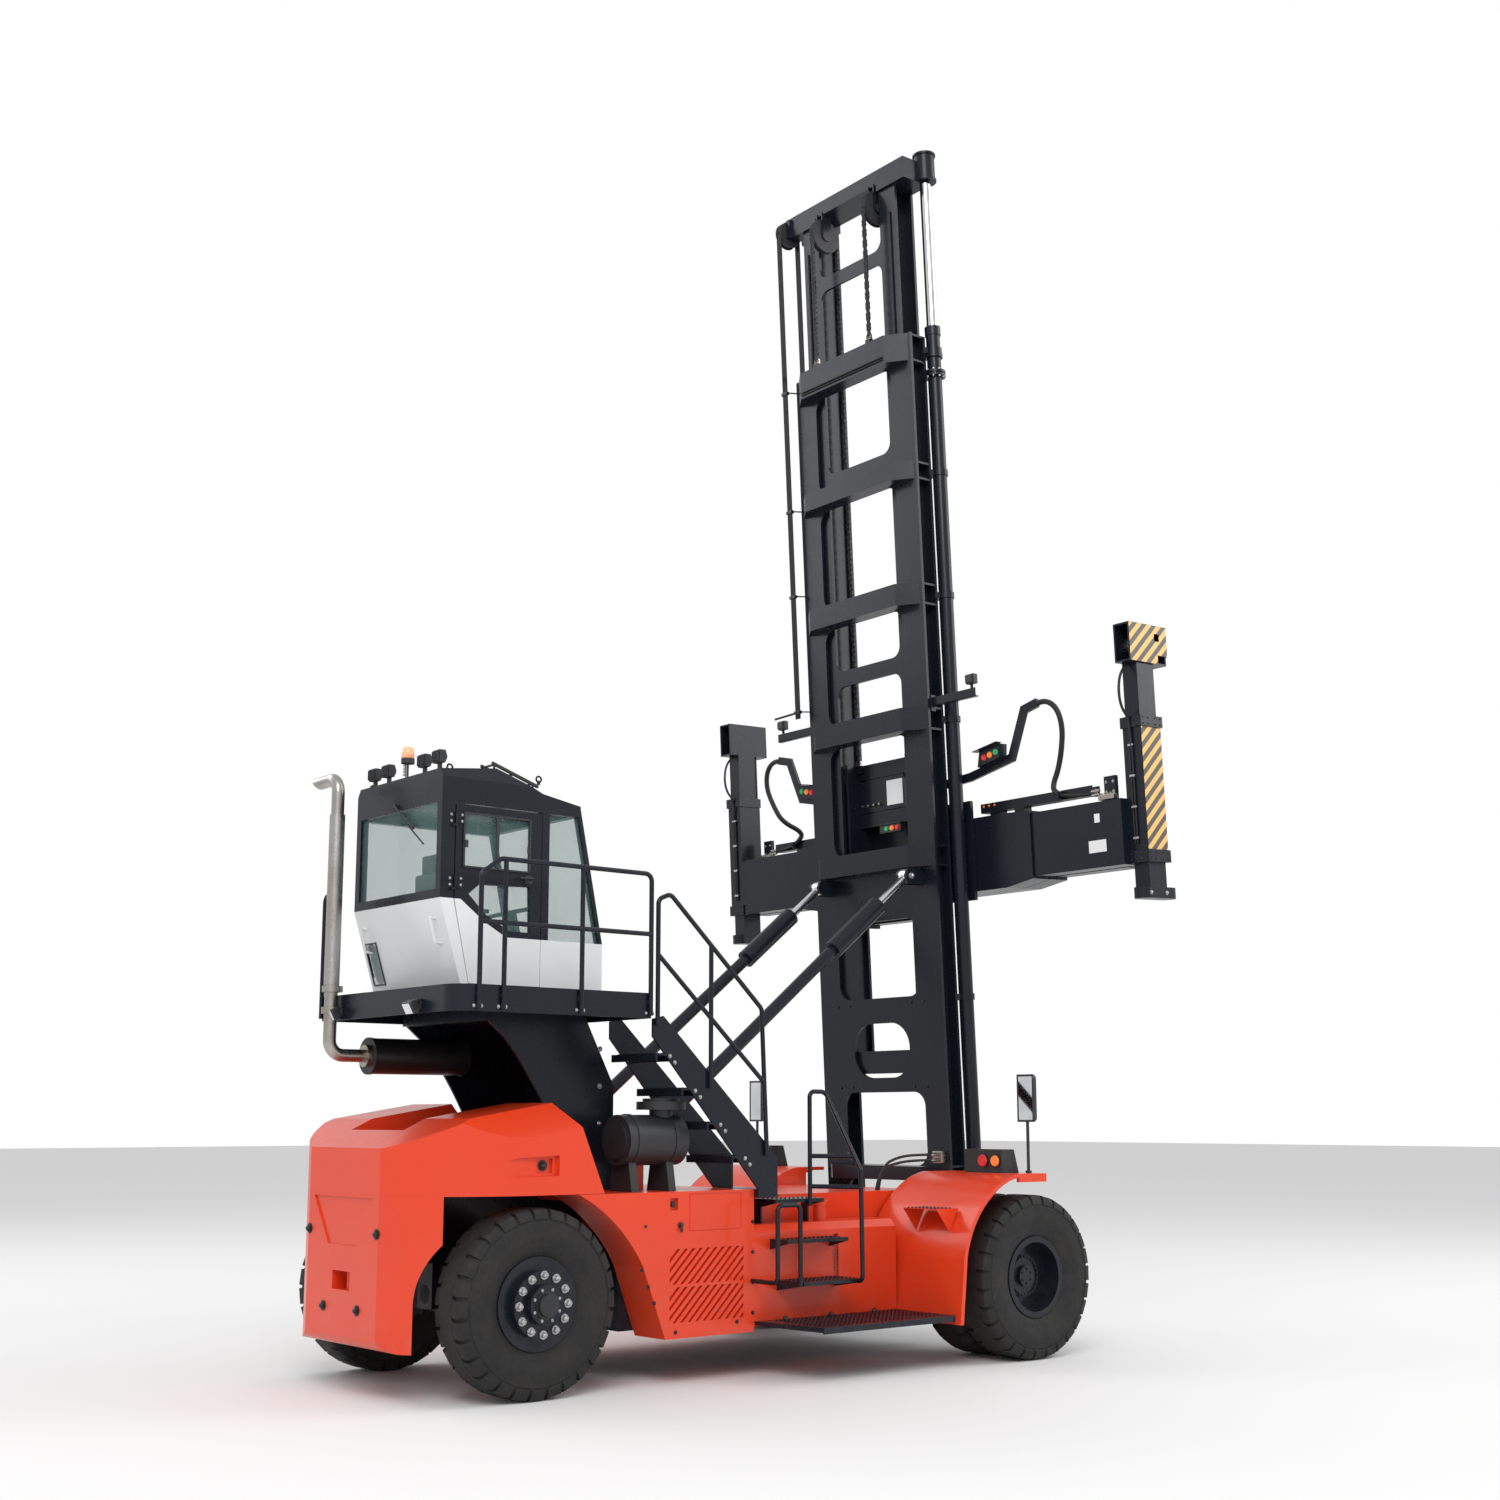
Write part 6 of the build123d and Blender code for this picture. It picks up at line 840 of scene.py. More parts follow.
@dataclass
class Wheels:
    """Treaded tyres, bright wheel nuts and hub bolts."""

    radius: float = 0.70
    wheel_z: float = 0.70
    rear_y: float = 1.09
    front_y: float = 1.64
    front_face: float = 0.203
    pitch: float = 0.43
    lugs: int = 28
    steps: int = 112
    crease: float = math.radians(32)
    side_rows: tuple = (
        # distance from the tyre's middle, radius
        (0.0, 0.700), (0.082, 0.700), (0.086, 0.678), (0.138, 0.676), (0.150, 0.668), (0.170, 0.648),
        (0.180, 0.618), (0.1815, 0.606), (0.1870, 0.600), (0.1895, 0.56), (0.1895, 0.52), (0.1855, 0.470),
        (0.1815, 0.462), (0.176, 0.43), (0.164, 0.39), (0.150, 0.362), (0.142, 0.352), (0.1385, 0.3455),
        (0.135, 0.3453), (0.135, 0.322),
    )
    lug_rows: tuple = (
        # distance from the middle, outer radius, skew along the tread, depth inward, depth down
        (0.070, 0.6995, 0.026, 0.0, 0.034), (0.088, 0.6997, 0.016, 0.0, 0.034),
        (0.104, 0.6997, 0.004, 0.0, 0.034), (0.138, 0.6985, 0.0, 0.0, 0.034),
        (0.163, 0.690, 0.0, 0.014, 0.014), (0.1815, 0.660, 0.0, 0.014, 0.014),
        (0.1890, 0.622, 0.0, 0.014, 0.014),
    )
    lug_wide: float = 0.126
    lug_flare: float = 0.004
    # Rings of fasteners: count, radius, way out from the wheel's middle or face.
    nut_ring: tuple = (12, 0.215, 0.223)
    cap_ring: tuple = (8, 0.118, 0.281)
    hub_ring: tuple = (24, 0.163, 0.024)
    dome_ring: tuple = (6, 0.062, 0.058)
    cap_foot: float = 0.275
    cap_rows: tuple = (
        # height, radius at the foot, radius at the top
        (0.038, 0.088, 0.082), (0.012, 0.104, 0.102),
    )

    def build(self, shop: Shop) -> None:
        """Make the tyres and bolts of all six wheels."""
        for side in Side:
            word, sign = side.word, side.value
            rear = [(0.0, sign * self.rear_y)]
            self.tyre(shop, f"tread_rear_{word}", f"rear_wheel_{word}", f"tyre_rear_{word}", rear)
            front = [(WHEELBASE, y) for y in about(sign * self.front_y, self.pitch / 2)]
            self.tyre(shop, f"treads_front_{word}", f"front_wheels_{word}", f"tyres_front_{word}", front)
            self.rear_bolts(shop, side)
            self.front_bolts(shop, side)

    def tyre(self, shop: Shop, name: str, body: str, node: str,
             places: Sequence[tuple[float, float]]) -> None:
        """Make a tyre or a pair of them as one piece that replaces the plain ones.

        Args:
            shop: the shop.
            name: the piece's name.
            body: the wheel that carries it.
            node: the node it replaces.
            places: x and y of each tyre's middle.
        """
        shape = bmesh.new()
        for x, y in places:
            absorb(shape, moved(self.one_tyre(shop), (x, y, self.wheel_z), Layout.CHASSIS))
        mesh = plain_mesh(shape)
        piece = shop.piece(name, mesh, body, "tyre", smooth=True)
        mesh.set_sharp_from_angle(angle=self.crease)
        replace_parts(piece, node)

    def one_tyre(self, shop: Shop) -> Mesh:
        """One tyre about the origin: carcass and two staggered rows of lugs."""
        carcass, whole = bmesh.new(), bmesh.new()
        side = list(self.side_rows)
        revolve(carcass, side + [(-y, r) for y, r in reversed(side[1:])], Vector((0, 0, 0)), self.steps)
        absorb(whole, to_mesh(carcass))
        step = 2 * math.pi / self.lugs
        for sign, start in ((-1, 0.0), (1, step / 2)):
            shop.encircle(whole, self.lug(sign), "tyre", self.lugs, start, step)
        return plain_mesh(whole)

    def lug(self, sign: int) -> Mesh:
        """One lug at the top of the tyre, from the middle over the shoulder."""
        shape = bmesh.new()
        rings = []
        half = self.lug_wide / 2
        for y, r, skew, inward, down in self.lug_rows:
            root_half, root_y, root_r = half + self.lug_flare, y - inward, r - down
            corners = ((-half, y, r), (half, y, r), (root_half, root_y, root_r), (-root_half, root_y, root_r))
            rings.append([self.rolled(sign, skew + along, across, far) for along, across, far in corners])
        tube(shape, rings)
        return to_mesh(shape)

    def rolled(self, sign: int, along: float, y: float, radius: float) -> Point:
        """A point of the tread, by its way along the circumference from the top."""
        angle = along / self.radius
        return (math.sin(angle) * radius, sign * y, math.cos(angle) * radius)

    def ring_rows(self, x: float, face: float, ring: tuple, sign: int,
                  shift: float = 0.5) -> list[tuple[Point, Point]]:
        """Places and facings of a ring of fasteners."""
        count, radius, out = ring
        y = sign * (face + out)
        return [((x + u, y, self.wheel_z + v), (0, sign, 0)) for u, v in circle(count, radius, shift)]

    def rear_bolts(self, shop: Shop, side: Side) -> None:
        """Twelve domed wheel nuts over the wheel's bolts, and the hub cap with eight small bolts."""
        word, sign = side.word, side.value
        body = f"rear_wheel_{word}"
        nuts = self.ring_rows(0.0, self.rear_y, self.nut_ring, sign, 0.0)
        shop.bolts(f"wheel_nuts_{word}", body, Layout.CHASSIS, nuts, 0.0235, 0.038)
        cap = self.ring_rows(0.0, self.rear_y, self.cap_ring, sign)
        shop.bolts(f"hub_bolts_{word}", body, Layout.CHASSIS, cap, 0.0085, 0.006)
        shape = bmesh.new()
        y = sign * (self.rear_y + self.cap_foot)
        for high, radius, far in self.cap_rows:
            rod(shape, (0, y, self.wheel_z), (0, y + sign * high, self.wheel_z), radius, 40, far)
        shop.chassis(f"hub_cap_{word}", shape, "hub_black", body)

    def front_bolts(self, shop: Shop, side: Side) -> None:
        """Flange bolts on the drive hub, and six on its cap."""
        sign = side.value
        face = self.front_y + self.front_face
        rows = self.ring_rows(WHEELBASE, face, self.hub_ring, sign)
        rows += self.ring_rows(WHEELBASE, face, self.dome_ring, sign)
        name, body = f"drive_hub_bolts_{side.word}", f"front_wheels_{side.word}"
        shop.bolts(name, body, Layout.CHASSIS, rows, 0.0105, 0.012, "hub_black")


@dataclass
class LiftChains:
    """Leaf chains and hoses over the wheels at the top of the inner mast."""

    chain_y: float = 0.390
    wheel_x: float = 0.262
    wheel_r: float = 0.172
    wheel_z: float = 11.22
    outer_top: float = 9.79
    carriage_top: float = 5.60
    pitch: float = 0.054
    plate: float = 0.0055
    outer_plates: tuple = (-0.0215, -0.0072, 0.0072, 0.0215)
    inner_plates: tuple = (-0.0143, 0.0, 0.0143)
    bow_links: int = 5
    bow_step: float = math.radians(36.0)
    hose_x: float = 0.240
    hose_y: float = 0.930
    hose_z: float = 11.43
    hose_wrap: float = 0.1293
    hose_r: float = 0.011
    hose_sides: int = 10
    hose_gap: float = 0.024
    bow_steps: int = 24
    run_steps: int = 40
    tail_low: float = 6.15
    bracket_z: tuple = (6.20, 7.42, 8.33, 9.62)

    def build(self, shop: Shop) -> None:
        """Make both chains and the hoses."""
        bows = [self.chain(shop, side) for side in Side]
        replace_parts(bows[0], "lift_chains")
        self.hoses(shop)

    def link(self, upright: bool, plates: Sequence[float], start: float) -> Shape:
        """One leaf link with its pins: upright runs along z, otherwise along x over the wheel.

        Args:
            upright: which way the link runs.
            plates: the plates' places across the chain.
            start: where the link's first pin is along the chain.

        Returns:
            The link.
        """
        shape = bmesh.new()
        end = start + self.pitch
        rows = ((start - 0.009, 0.006), (start, 0.0125), (start + self.pitch / 2, 0.0085), (end, 0.0125),
                (end + 0.009, 0.006))
        outline = list(rows) + [(along, -half) for along, half in reversed(rows)]
        top = self.wheel_r * math.cos(self.bow_step / 4)

        def place(along: float, across: float, y: float) -> Point:
            """A point of the link, by its way along, across and through it."""
            return (across, y, along) if upright else (along, y, top + across)

        for y in plates:
            points = [place(along, across, y - self.plate / 2) for along, across in outline]
            prism(shape, points, (0, self.plate, 0))
        for along in (start, end):
            rod(shape, place(along, 0.0, -0.026), place(along, 0.0, 0.026), 0.0055, 8)
        return shape

    def strand(self, shop: Shop, x: float, y: float, low: float, high: float) -> Mesh:
        """A straight strand between two heights."""
        shape = self.link(True, self.outer_plates, 0.0)
        absorb(shape, to_mesh(self.link(True, self.inner_plates, self.pitch)))
        count = int(round((high - low) / (self.pitch * 2)))
        stretch = (high - low) / (count * self.pitch * 2)
        shape.transform(Matrix.Diagonal((1.0, 1.0, stretch, 1.0)))
        row = shop.repeat(shape, "cast_grey", count, (0.0, 0.0, self.pitch * 2 * stretch))
        return moved(row, (x, y, low), Layout.MAST)

    def chain(self, shop: Shop, side: Side) -> Piece:
        """One chain: over the wheel, down to the outer mast and down to the carriage."""
        y, word = side.value * self.chain_y, side.word
        over = bmesh.new()
        for plates, degrees in ((self.outer_plates, -81.0), (self.inner_plates, -63.0)):
            link = to_mesh(self.link(False, plates, -self.pitch / 2))
            shop.encircle(over, link, "cast_grey", self.bow_links, math.radians(degrees), self.bow_step)
        over.transform(Matrix.Translation((self.wheel_x, y, self.wheel_z)))
        bow = shop.mast(f"chain_over_{word}", over, "cast_grey", "mast_inner")
        for name, x, low, second in (
            ("rear", self.wheel_x - self.wheel_r, self.outer_top, "mast_outer"),
            ("front", self.wheel_x + self.wheel_r, self.carriage_top, "carriage"),
        ):
            top, end = Layout.MAST.place(x, y, self.wheel_z), Layout.MAST.place(x, y, low)
            strand = self.strand(shop, x, y, low, self.wheel_z)
            shop.piece(f"chain_{name}_{word}", strand, Bend("mast_inner", second, top, end), "cast_grey")
            self.anchor(shop, f"chain_end_{name}_{word}", x, y, low, second)
        return bow

    def anchor(self, shop: Shop, name: str, x: float, y: float, low: float, body: str) -> None:
        """The fork and its pin that hold a chain's end."""
        shape = bmesh.new()
        foot = low - 0.002
        for cheek in ((y - 0.030, y - 0.0265), (y + 0.0265, y + 0.030)):
            block(shape, about(x, 0.014), cheek, (foot, low + 0.05), 0.002)
        block(shape, about(x, 0.016), about(y, 0.032), (foot, low + 0.012), 0.002)
        rod(shape, (x, y - 0.036, low + 0.03), (x, y + 0.036, low + 0.03), 0.008, 10)
        shop.mast(name, shape, "steel", body)

    def hoses(self, shop: Shop) -> None:
        """Three hoses over the hose wheel, their strands and the tails down the left leg."""
        x_rear, x_front = about(self.hose_x, self.hose_wrap)
        over, rear, front, tails = bmesh.new(), bmesh.new(), bmesh.new(), bmesh.new()
        for index in (-1, 0, 1):
            y = self.hose_y + index * self.hose_gap
            tube(over, self.half_turn(y))
            tube(rear, self.run(x_rear, y, self.outer_top, self.hose_z))
            tube(front, self.run(x_front, y, self.carriage_top, self.hose_z))
            tube(tails, self.run(x_rear, y, self.tail_low, self.outer_top))
        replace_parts(shop.mast("mast_hoses_over", over, "hose", "mast_inner", smooth=True), "mast_hoses")
        for name, shape, x, low, second in (
            ("mast_hoses_rear", rear, x_rear, self.outer_top, "mast_outer"),
            ("mast_hoses_front", front, x_front, self.carriage_top, "carriage"),
        ):
            top, end = Layout.MAST.place(x, self.hose_y, self.hose_z), Layout.MAST.place(x, self.hose_y, low)
            shop.mast(name, shape, "hose", Bend("mast_inner", second, top, end), smooth=True)
        shop.mast("mast_hose_tails", tails, "hose", smooth=True)
        self.brackets(shop, x_rear)

    def half_turn(self, y: float) -> list[list[Point]]:
        """The rings of one hose's half turn over the wheel."""
        rings = []
        for step in range(self.bow_steps + 1):
            angle = math.pi * step / self.bow_steps
            back, up = math.cos(angle), math.sin(angle)
            ring = []
            for out, along in circle(self.hose_sides, self.hose_r):
                reach = self.hose_wrap + out
                ring.append((self.hose_x - reach * back, y + along, self.hose_z + reach * up))
            rings.append(ring)
        return rings

    def run(self, x: float, y: float, low: float, high: float) -> list[list[Point]]:
        """The rings of one hose's straight run, in many short steps so that it can bend."""
        rings = []
        for step in range(self.run_steps + 1):
            z = low + (high - low) * step / self.run_steps
            rings.append([(x + out, y + along, z) for out, along in circle(self.hose_sides, self.hose_r)])
        return rings

    def brackets(self, shop: Shop, x: float) -> None:
        """Brackets that hold the tails to the left leg."""
        shape = bmesh.new()
        inner = self.hose_y - 0.04
        for z in self.bracket_z:
            block(shape, about(x, 0.018), about(self.hose_y, 0.045), (z, z + 0.035), 0.004)
            arm = ((x - 0.012, inner), (x + 0.012, inner), (0.232, 0.84), (0.205, 0.84))
            prism(shape, [(*corner, z + 0.012) for corner in arm], (0, 0, 0.012))
        rod(shape, (x, self.hose_y + 0.04, 6.215), (x, self.hose_y + 0.36, 6.205), 0.012, 10)
        shop.mast("hose_brackets", shape, "black_paint")


@dataclass
class MastTrim:
    """Small lines with clips, cylinder flanges, work lights and signal lamps of the mast."""

    leg_y: float = 0.745
    line_x: tuple = (0.275, 0.300)
    clip_x: float = 0.2875
    clip_y: float = 0.751
    clip_low: float = 1.75
    clip_high: float = 9.35
    clips: int = 17
    lift_x: float = 0.52
    lift_y: float = 0.855
    flange_z: float = 9.34
    flange_rows: tuple = (
        # low, high, radius
        (0.0, 0.026, 0.108), (0.034, 0.060, 0.108), (0.026, 0.034, 0.09), (0.20, 0.245, 0.088),
    )
    inner_x: float = 0.232
    inner_y: float = 0.615
    inner_low: float = 3.0
    inner_high: float = 11.1
    arm_z: float = 5.99
    arm_end: float = 1.42
    light_x: float = 0.278
    signal_x: float = 0.526
    signals: tuple = ((1.235, 5.452, "red_lens"), (1.310, 5.468, "amber_lens"), (1.385, 5.484, "green_lens"))
    hood: tuple = ((1.14, 5.512), (1.45, 5.566))
    box_signals: tuple = ((-0.15, "red_lens"), (-0.075, "amber_lens"), (0.0, "green_lens"))
    coupling_y: tuple = (0.12, 0.20, 0.28, 0.36)
    fitting_y: float = -0.745
    fitting_z: tuple = (1.69, 1.74)

    def build(self, shop: Shop) -> None:
        """Make every piece of the mast's trim."""
        self.lines(shop)
        self.flanges(shop)
        self.eye_bolts(shop)
        for side in Side:
            self.work_light(shop, side)
            self.signal_lamps(shop, side)
        self.carriage_box(shop)
        self.fitting(shop)

    def lines(self, shop: Shop) -> None:
        """Thin lines in the outer channel of each leg and on the inner mast, with bright clips."""
        for side in Side:
            sign, word = side.value, side.word
            y = sign * self.leg_y
            shape = bmesh.new()
            for x in self.line_x:
                rod(shape, (x, y, self.clip_low - 0.1), (x, y, self.clip_high + 0.2), 0.0095, 8)
            shop.mast(f"leg_lines_{word}", shape, "hose")
            self.clip_row(shop, f"leg_clips_{word}", sign * self.clip_y)
            inner = bmesh.new()
            y = sign * self.inner_y
            rod(inner, (self.inner_x, y, self.inner_low), (self.inner_x, y, self.inner_high), 0.008, 8)
            shop.mast(f"inner_line_{word}", inner, "hose", "mast_inner")
        top = bmesh.new()
        for z in (9.505, 9.53):
            rod(top, (0.042, -0.60, z), (0.042, 0.60, z), 0.008, 8)
        shop.mast("top_lines", top, "hose")

    def clip_row(self, shop: Shop, name: str, y: float) -> None:
        """A row of clips up a leg."""
        shape = bmesh.new()
        block(shape, about(self.clip_x, 0.034), (y - 0.014, y + 0.012), (0.0, 0.022), 0.004)
        step = (self.clip_high - self.clip_low) / (self.clips - 1)
        row = shop.repeat(shape, "bright_bolt", self.clips, (0.0, 0.0, step))
        shop.piece(name, moved(row, (0.0, 0.0, self.clip_low), Layout.MAST), "mast_outer", "bright_bolt")

    def flanges(self, shop: Shop) -> None:
        """Bolted flange and collar near the top of each lift cylinder."""
        x, z = self.lift_x, self.flange_z
        for side in Side:
            y = side.value * self.lift_y
            shape = bmesh.new()
            for low, high, radius in self.flange_rows:
                rod(shape, (x, y, z + low), (x, y, z + high), radius, 36)
            shop.mast(f"cylinder_flange_{side.word}", shape, "black_paint")
            rows = []
            for u, v in circle(10, 0.096):
                rows += [((x + u, y + v, z + 0.060), (0, 0, 1)), ((x + u, y + v, z), (0, 0, -1))]
            shop.bolts(f"flange_bolts_{side.word}", "mast_outer", Layout.MAST, rows, 0.0085, 0.014)

    def eye_bolts(self, shop: Shop) -> None:
        """Pin heads at the tilt cylinders' eyes and the mast's feet, and bolts of the window plate."""
        heads, plate = [], []
        for sign in (1, -1):
            for x, y, z in ((0.03, 0.6875, 4.36), (0.35, 0.765, 0.62)):
                heads.append(((x, sign * y, z), (0, sign, 0)))
        for sign in (-1, 1):
            for y in (0.60, 0.43):
                plate += [((0.199, sign * y, z), (-1, 0, 0)) for z in (2.37, 3.17)]
        shop.bolts("mast_pin_heads", "mast_outer", Layout.MAST, heads, 0.026, 0.018)
        shop.bolts("window_plate_bolts", "mast_outer", Layout.MAST, plate, 0.012, 0.010, "hub_black")

    def work_light(self, shop: Shop, side: Side) -> None:
        """Arm and work light at the side of the mast."""
        shape = bmesh.new()
        z, span = self.arm_z, side.span(0.83, self.arm_end)
        x, y = self.light_x, side.value * (self.arm_end - 0.06)
        block(shape, (0.255, 0.300), span, (z, z + 0.010))
        block(shape, (0.255, 0.262), span, (z, z + 0.085))
        block(shape, (0.235, 0.300), side.span(0.825, 0.86), (z - 0.05, z + 0.11), 0.004)
        rod(shape, (x, y, z + 0.01), (x, y, z + 0.13), 0.014, 10)
        shop.mast(f"light_arm_{side.word}", shape, "black_paint")
        self.lamp(shop, f"mast_light_{side.word}", x, y, z + 0.175)

    def lamp(self, shop: Shop, name: str, x: float, y: float, z: float) -> None:
        """A square work lamp, its back box and stalk, and a clear lens that looks forward.

        Args:
            shop: the shop.
            name: the piece's name.
            x: the lamp's middle along the machine.
            y: its middle across.
            z: its middle in height.
        """
        shape = bmesh.new()
        block(shape, about(x, 0.032), about(y, 0.052), about(z, 0.048), 0.010)
        block(shape, (x - 0.050, x - 0.030), about(y, 0.040), about(z, 0.036), 0.004)
        rod(shape, (x, y, z - 0.075), (x, y, z - 0.04), 0.014, 10)
        shop.mast(name, shape, "black_plastic")
        lens = bmesh.new()
        block(lens, (x + 0.031, x + 0.036), about(y, 0.042), about(z, 0.038), 0.002)
        shop.mast(f"{name}_lens", lens, "clear_lens")

    def signal_lamps(self, shop: Shop, side: Side) -> None:
        """Red, amber and green lamps in the housing on the hose arm, under a hood."""
        sign, x = side.value, self.signal_x
        for y, z, finish in self.signals:
            shape = bmesh.new()
            rod(shape, (x, sign * y, z), (x - 0.012, sign * y, z), 0.031, 20, 0.024)
            shop.mast(f"signal_{finish}_{side.word}", shape, finish, "carriage")
        hood = bmesh.new()
        (inner, low), (outer, high) = self.hood
        front, rear = x + 0.02, x - 0.06
        prism(hood, [(front, sign * inner, low), (front, sign * outer, high), (rear, sign * outer, high),
                     (rear, sign * inner, low)], (0, 0, 0.006))
        shop.mast(f"signal_hood_{side.word}", hood, "black_paint", "carriage")

    def carriage_box(self, shop: Shop) -> None:
        """Control box details on the carriage: blank plate, fittings and a small lamp bar."""
        plate = bmesh.new()
        block(plate, (0.446, 0.450), (-0.205, 0.02), (5.15, 5.40), 0.001)
        shop.mast("carriage_plate", plate, "white_paint", "carriage")
        housing, couplings = bmesh.new(), bmesh.new()
        block(housing, (0.400, 0.452), (-0.20, 0.10), (4.868, 4.955), 0.006)
        block(housing, (0.385, 0.452), (-0.21, 0.11), (4.952, 4.960))
        for y in self.coupling_y:
            rod(housing, (0.50, y, 5.43), (0.50, y, 5.49), 0.014, 10)
            rod(housing, (0.448, y, 5.18), (0.438, y, 5.18), 0.016, 12)
            rod(couplings, (0.50, y, 5.44), (0.50, y, 5.475), 0.019, 6)
            rod(couplings, (0.437, y, 5.18), (0.425, y, 5.18), 0.012, 6)
        shop.mast("carriage_lamp_bar", housing, "black_plastic", "carriage")
        for y, finish in self.box_signals:
            shape = bmesh.new()
            rod(shape, (0.400, y, 4.91), (0.388, y, 4.91), 0.028, 20, 0.022)
            shop.mast(f"carriage_signal_{finish}", shape, finish, "carriage")
        shop.mast("carriage_couplings", couplings, "steel", "carriage")

    def fitting(self, shop: Shop) -> None:
        """Fitting block at the right leg's foot and two hoses to it from the deck."""
        y = self.fitting_y
        shape = bmesh.new()
        block(shape, (0.130, 0.200), (-0.80, -0.69), (1.66, 1.77), 0.004)
        for z in self.fitting_z:
            rod(shape, (0.130, y, z), (0.085, y, z), 0.017, 6)
            rod(shape, (0.085, y, z), (0.050, y, z), 0.013, 12)
        shop.mast("leg_fitting_block", shape, "steel")
        for index, z in enumerate(self.fitting_z):
            start = Layout.MAST.place(0.078, y, z)
            x, top = start.x - STEER_AXLE_X, start.z
            shift = index * 0.03
            route = [(x, start.y, top), (x - 0.14, y, top + 0.005), (x - 0.42, y + 0.02, top - 0.01),
                     (4.02 + shift, y + 0.04, 1.60 + shift), (3.99 + shift, y + 0.05, 1.40)]
            bend = Bend("chassis", "mast_outer", Layout.CHASSIS.place(*route[-1]), start)
            shop.hose(f"foot_hose_{index}", route, 0.0125, Layout.CHASSIS, bend)


@dataclass
class SpreaderTrim:
    """Stripes, collars' bolts, plates, energy chain and hoses of the spreader."""

    leg_y: float = 2.915
    leg_x: tuple = (0.772, 1.048)
    stripe_z: tuple = (4.402, 5.508)
    skin: float = 0.0015
    head_rows: tuple = (
        # x and z of the boxes around the head's hole
        ((0.688, 1.04), (6.103, 6.452)), ((1.04, 1.11), (6.38, 6.452)), ((1.11, 1.217), (6.183, 6.452)),
        ((1.04, 1.11), (6.183, 6.31)), ((1.04, 1.078), (6.103, 6.183)),
    )
    collar_z: tuple = (4.345, 5.56)
    pipe_y: float = 2.80
    trough_x: dict = field(default_factory=lambda: {Side.LEFT: 1.03, Side.RIGHT: 0.78})
    chain_y: float = 1.02
    chain_z: float = 4.9635
    chain_links: int = 32
    chain_pitch: float = 0.040

    def build(self, shop: Shop) -> None:
        """Make every piece of the spreader's trim."""
        for side in Side:
            self.stripes(shop, side)
            self.collar_bolts(shop, side)
            self.pipes(shop, side)
            self.valve(shop, side)
            self.energy_chain(shop, side)
            self.bundle(shop, side)
            self.leg_loop(shop, side)
        self.labels(shop)

    def stripes(self, shop: Shop, side: Side) -> None:
        """Striped skins on the outer face of the leg's tube and of its head."""
        span = side.span(self.leg_y, self.leg_y + self.skin)
        leg, head = bmesh.new(), bmesh.new()
        block(leg, self.leg_x, span, self.stripe_z)
        for x, z in self.head_rows:
            block(head, x, span, z)
        shop.mast(f"leg_stripes_{side.word}", leg, "hazard_stripes", f"beam_{side.word}")
        shop.mast(f"head_stripes_{side.word}", head, "hazard_stripes", f"leg_{side.word}")

    def collar_bolts(self, shop: Shop, side: Side) -> None:
        """Bolts around the leg's two collars and on its foot."""
        sign, word = side.value, side.word
        rows = []
        for z in self.collar_z:
            for x in (0.79, 0.86, 0.96, 1.03):
                rows += [((x, sign * 2.93, high), (0, sign, 0)) for high in about(z, 0.028)]
            for y in (2.735, 2.79, 2.85, 2.90):
                rows += [((0.755, sign * y, high), (-1, 0, 0)) for high in about(z, 0.028)]
        shop.bolts(f"collar_bolts_{word}", f"beam_{word}", Layout.MAST, rows, 0.0075, 0.004, "hub_black")
        foot = [((x, sign * 2.893, 4.02), (0, sign, 0)) for x in (0.80, 1.02)]
        foot += [((1.02, sign * y, 4.07), (0, 0, 1)) for y in (2.79, 2.835)]
        shop.bolts(f"foot_bolts_{word}", f"leg_{word}", Layout.MAST, foot, 0.014, 0.008)

    def pipes(self, shop: Shop, side: Side) -> None:
        """Two thin pipes with clips up the rear of the leg's tube."""
        y, word = side.value * self.pipe_y, side.word
        shape, clip = bmesh.new(), bmesh.new()
        for dy in (-0.012, 0.014):
            rod(shape, (0.757, y + dy, 4.46), (0.757, y + dy, 5.36), 0.009, 8)
        shop.mast(f"leg_pipe_{word}", shape, "hose", f"beam_{word}")
        block(clip, (0.745, 0.770), about(y, 0.03), (0.0, 0.02), 0.003)
        row = moved(shop.repeat(clip, "bright_bolt", 4, (0.0, 0.0, 0.28)), (0, 0, 4.50), Layout.MAST)
        shop.piece(f"leg_pipe_clips_{word}", row, f"beam_{word}", "bright_bolt")

    def valve(self, shop: Shop, side: Side) -> None:
        """Bolts, couplings and a manifold at the beam end's valve plate."""
        sign, word = side.value, side.word
        rear = self.trough_x[side] - 0.02
        x = rear - 0.03
        rows = [((rear, sign * y, z), (-1, 0, 0)) for y in (2.495, 2.575) for z in (4.965, 5.055)]
        shop.bolts(f"valve_bolts_{word}", f"beam_{word}", Layout.MAST, rows, 0.010, 0.007)
        shape = bmesh.new()
        block(shape, (rear - 0.06, rear - 0.002), side.span(2.44, 2.62), (4.890, 4.935), 0.004)
        for y in (2.46, 2.495, 2.53, 2.565, 2.60):
            rod(shape, (x, sign * y, 4.935), (x, sign * y, 4.955), 0.012, 6)
        for z in (4.95, 4.985):
            rod(shape, (x, sign * 2.44, z), (x, sign * 2.35, z), 0.014, 12)
            rod(shape, (x, sign * 2.41, z), (x, sign * 2.385, z), 0.019, 6)
        shop.mast(f"valve_manifold_{word}", shape, "steel", f"beam_{word}")

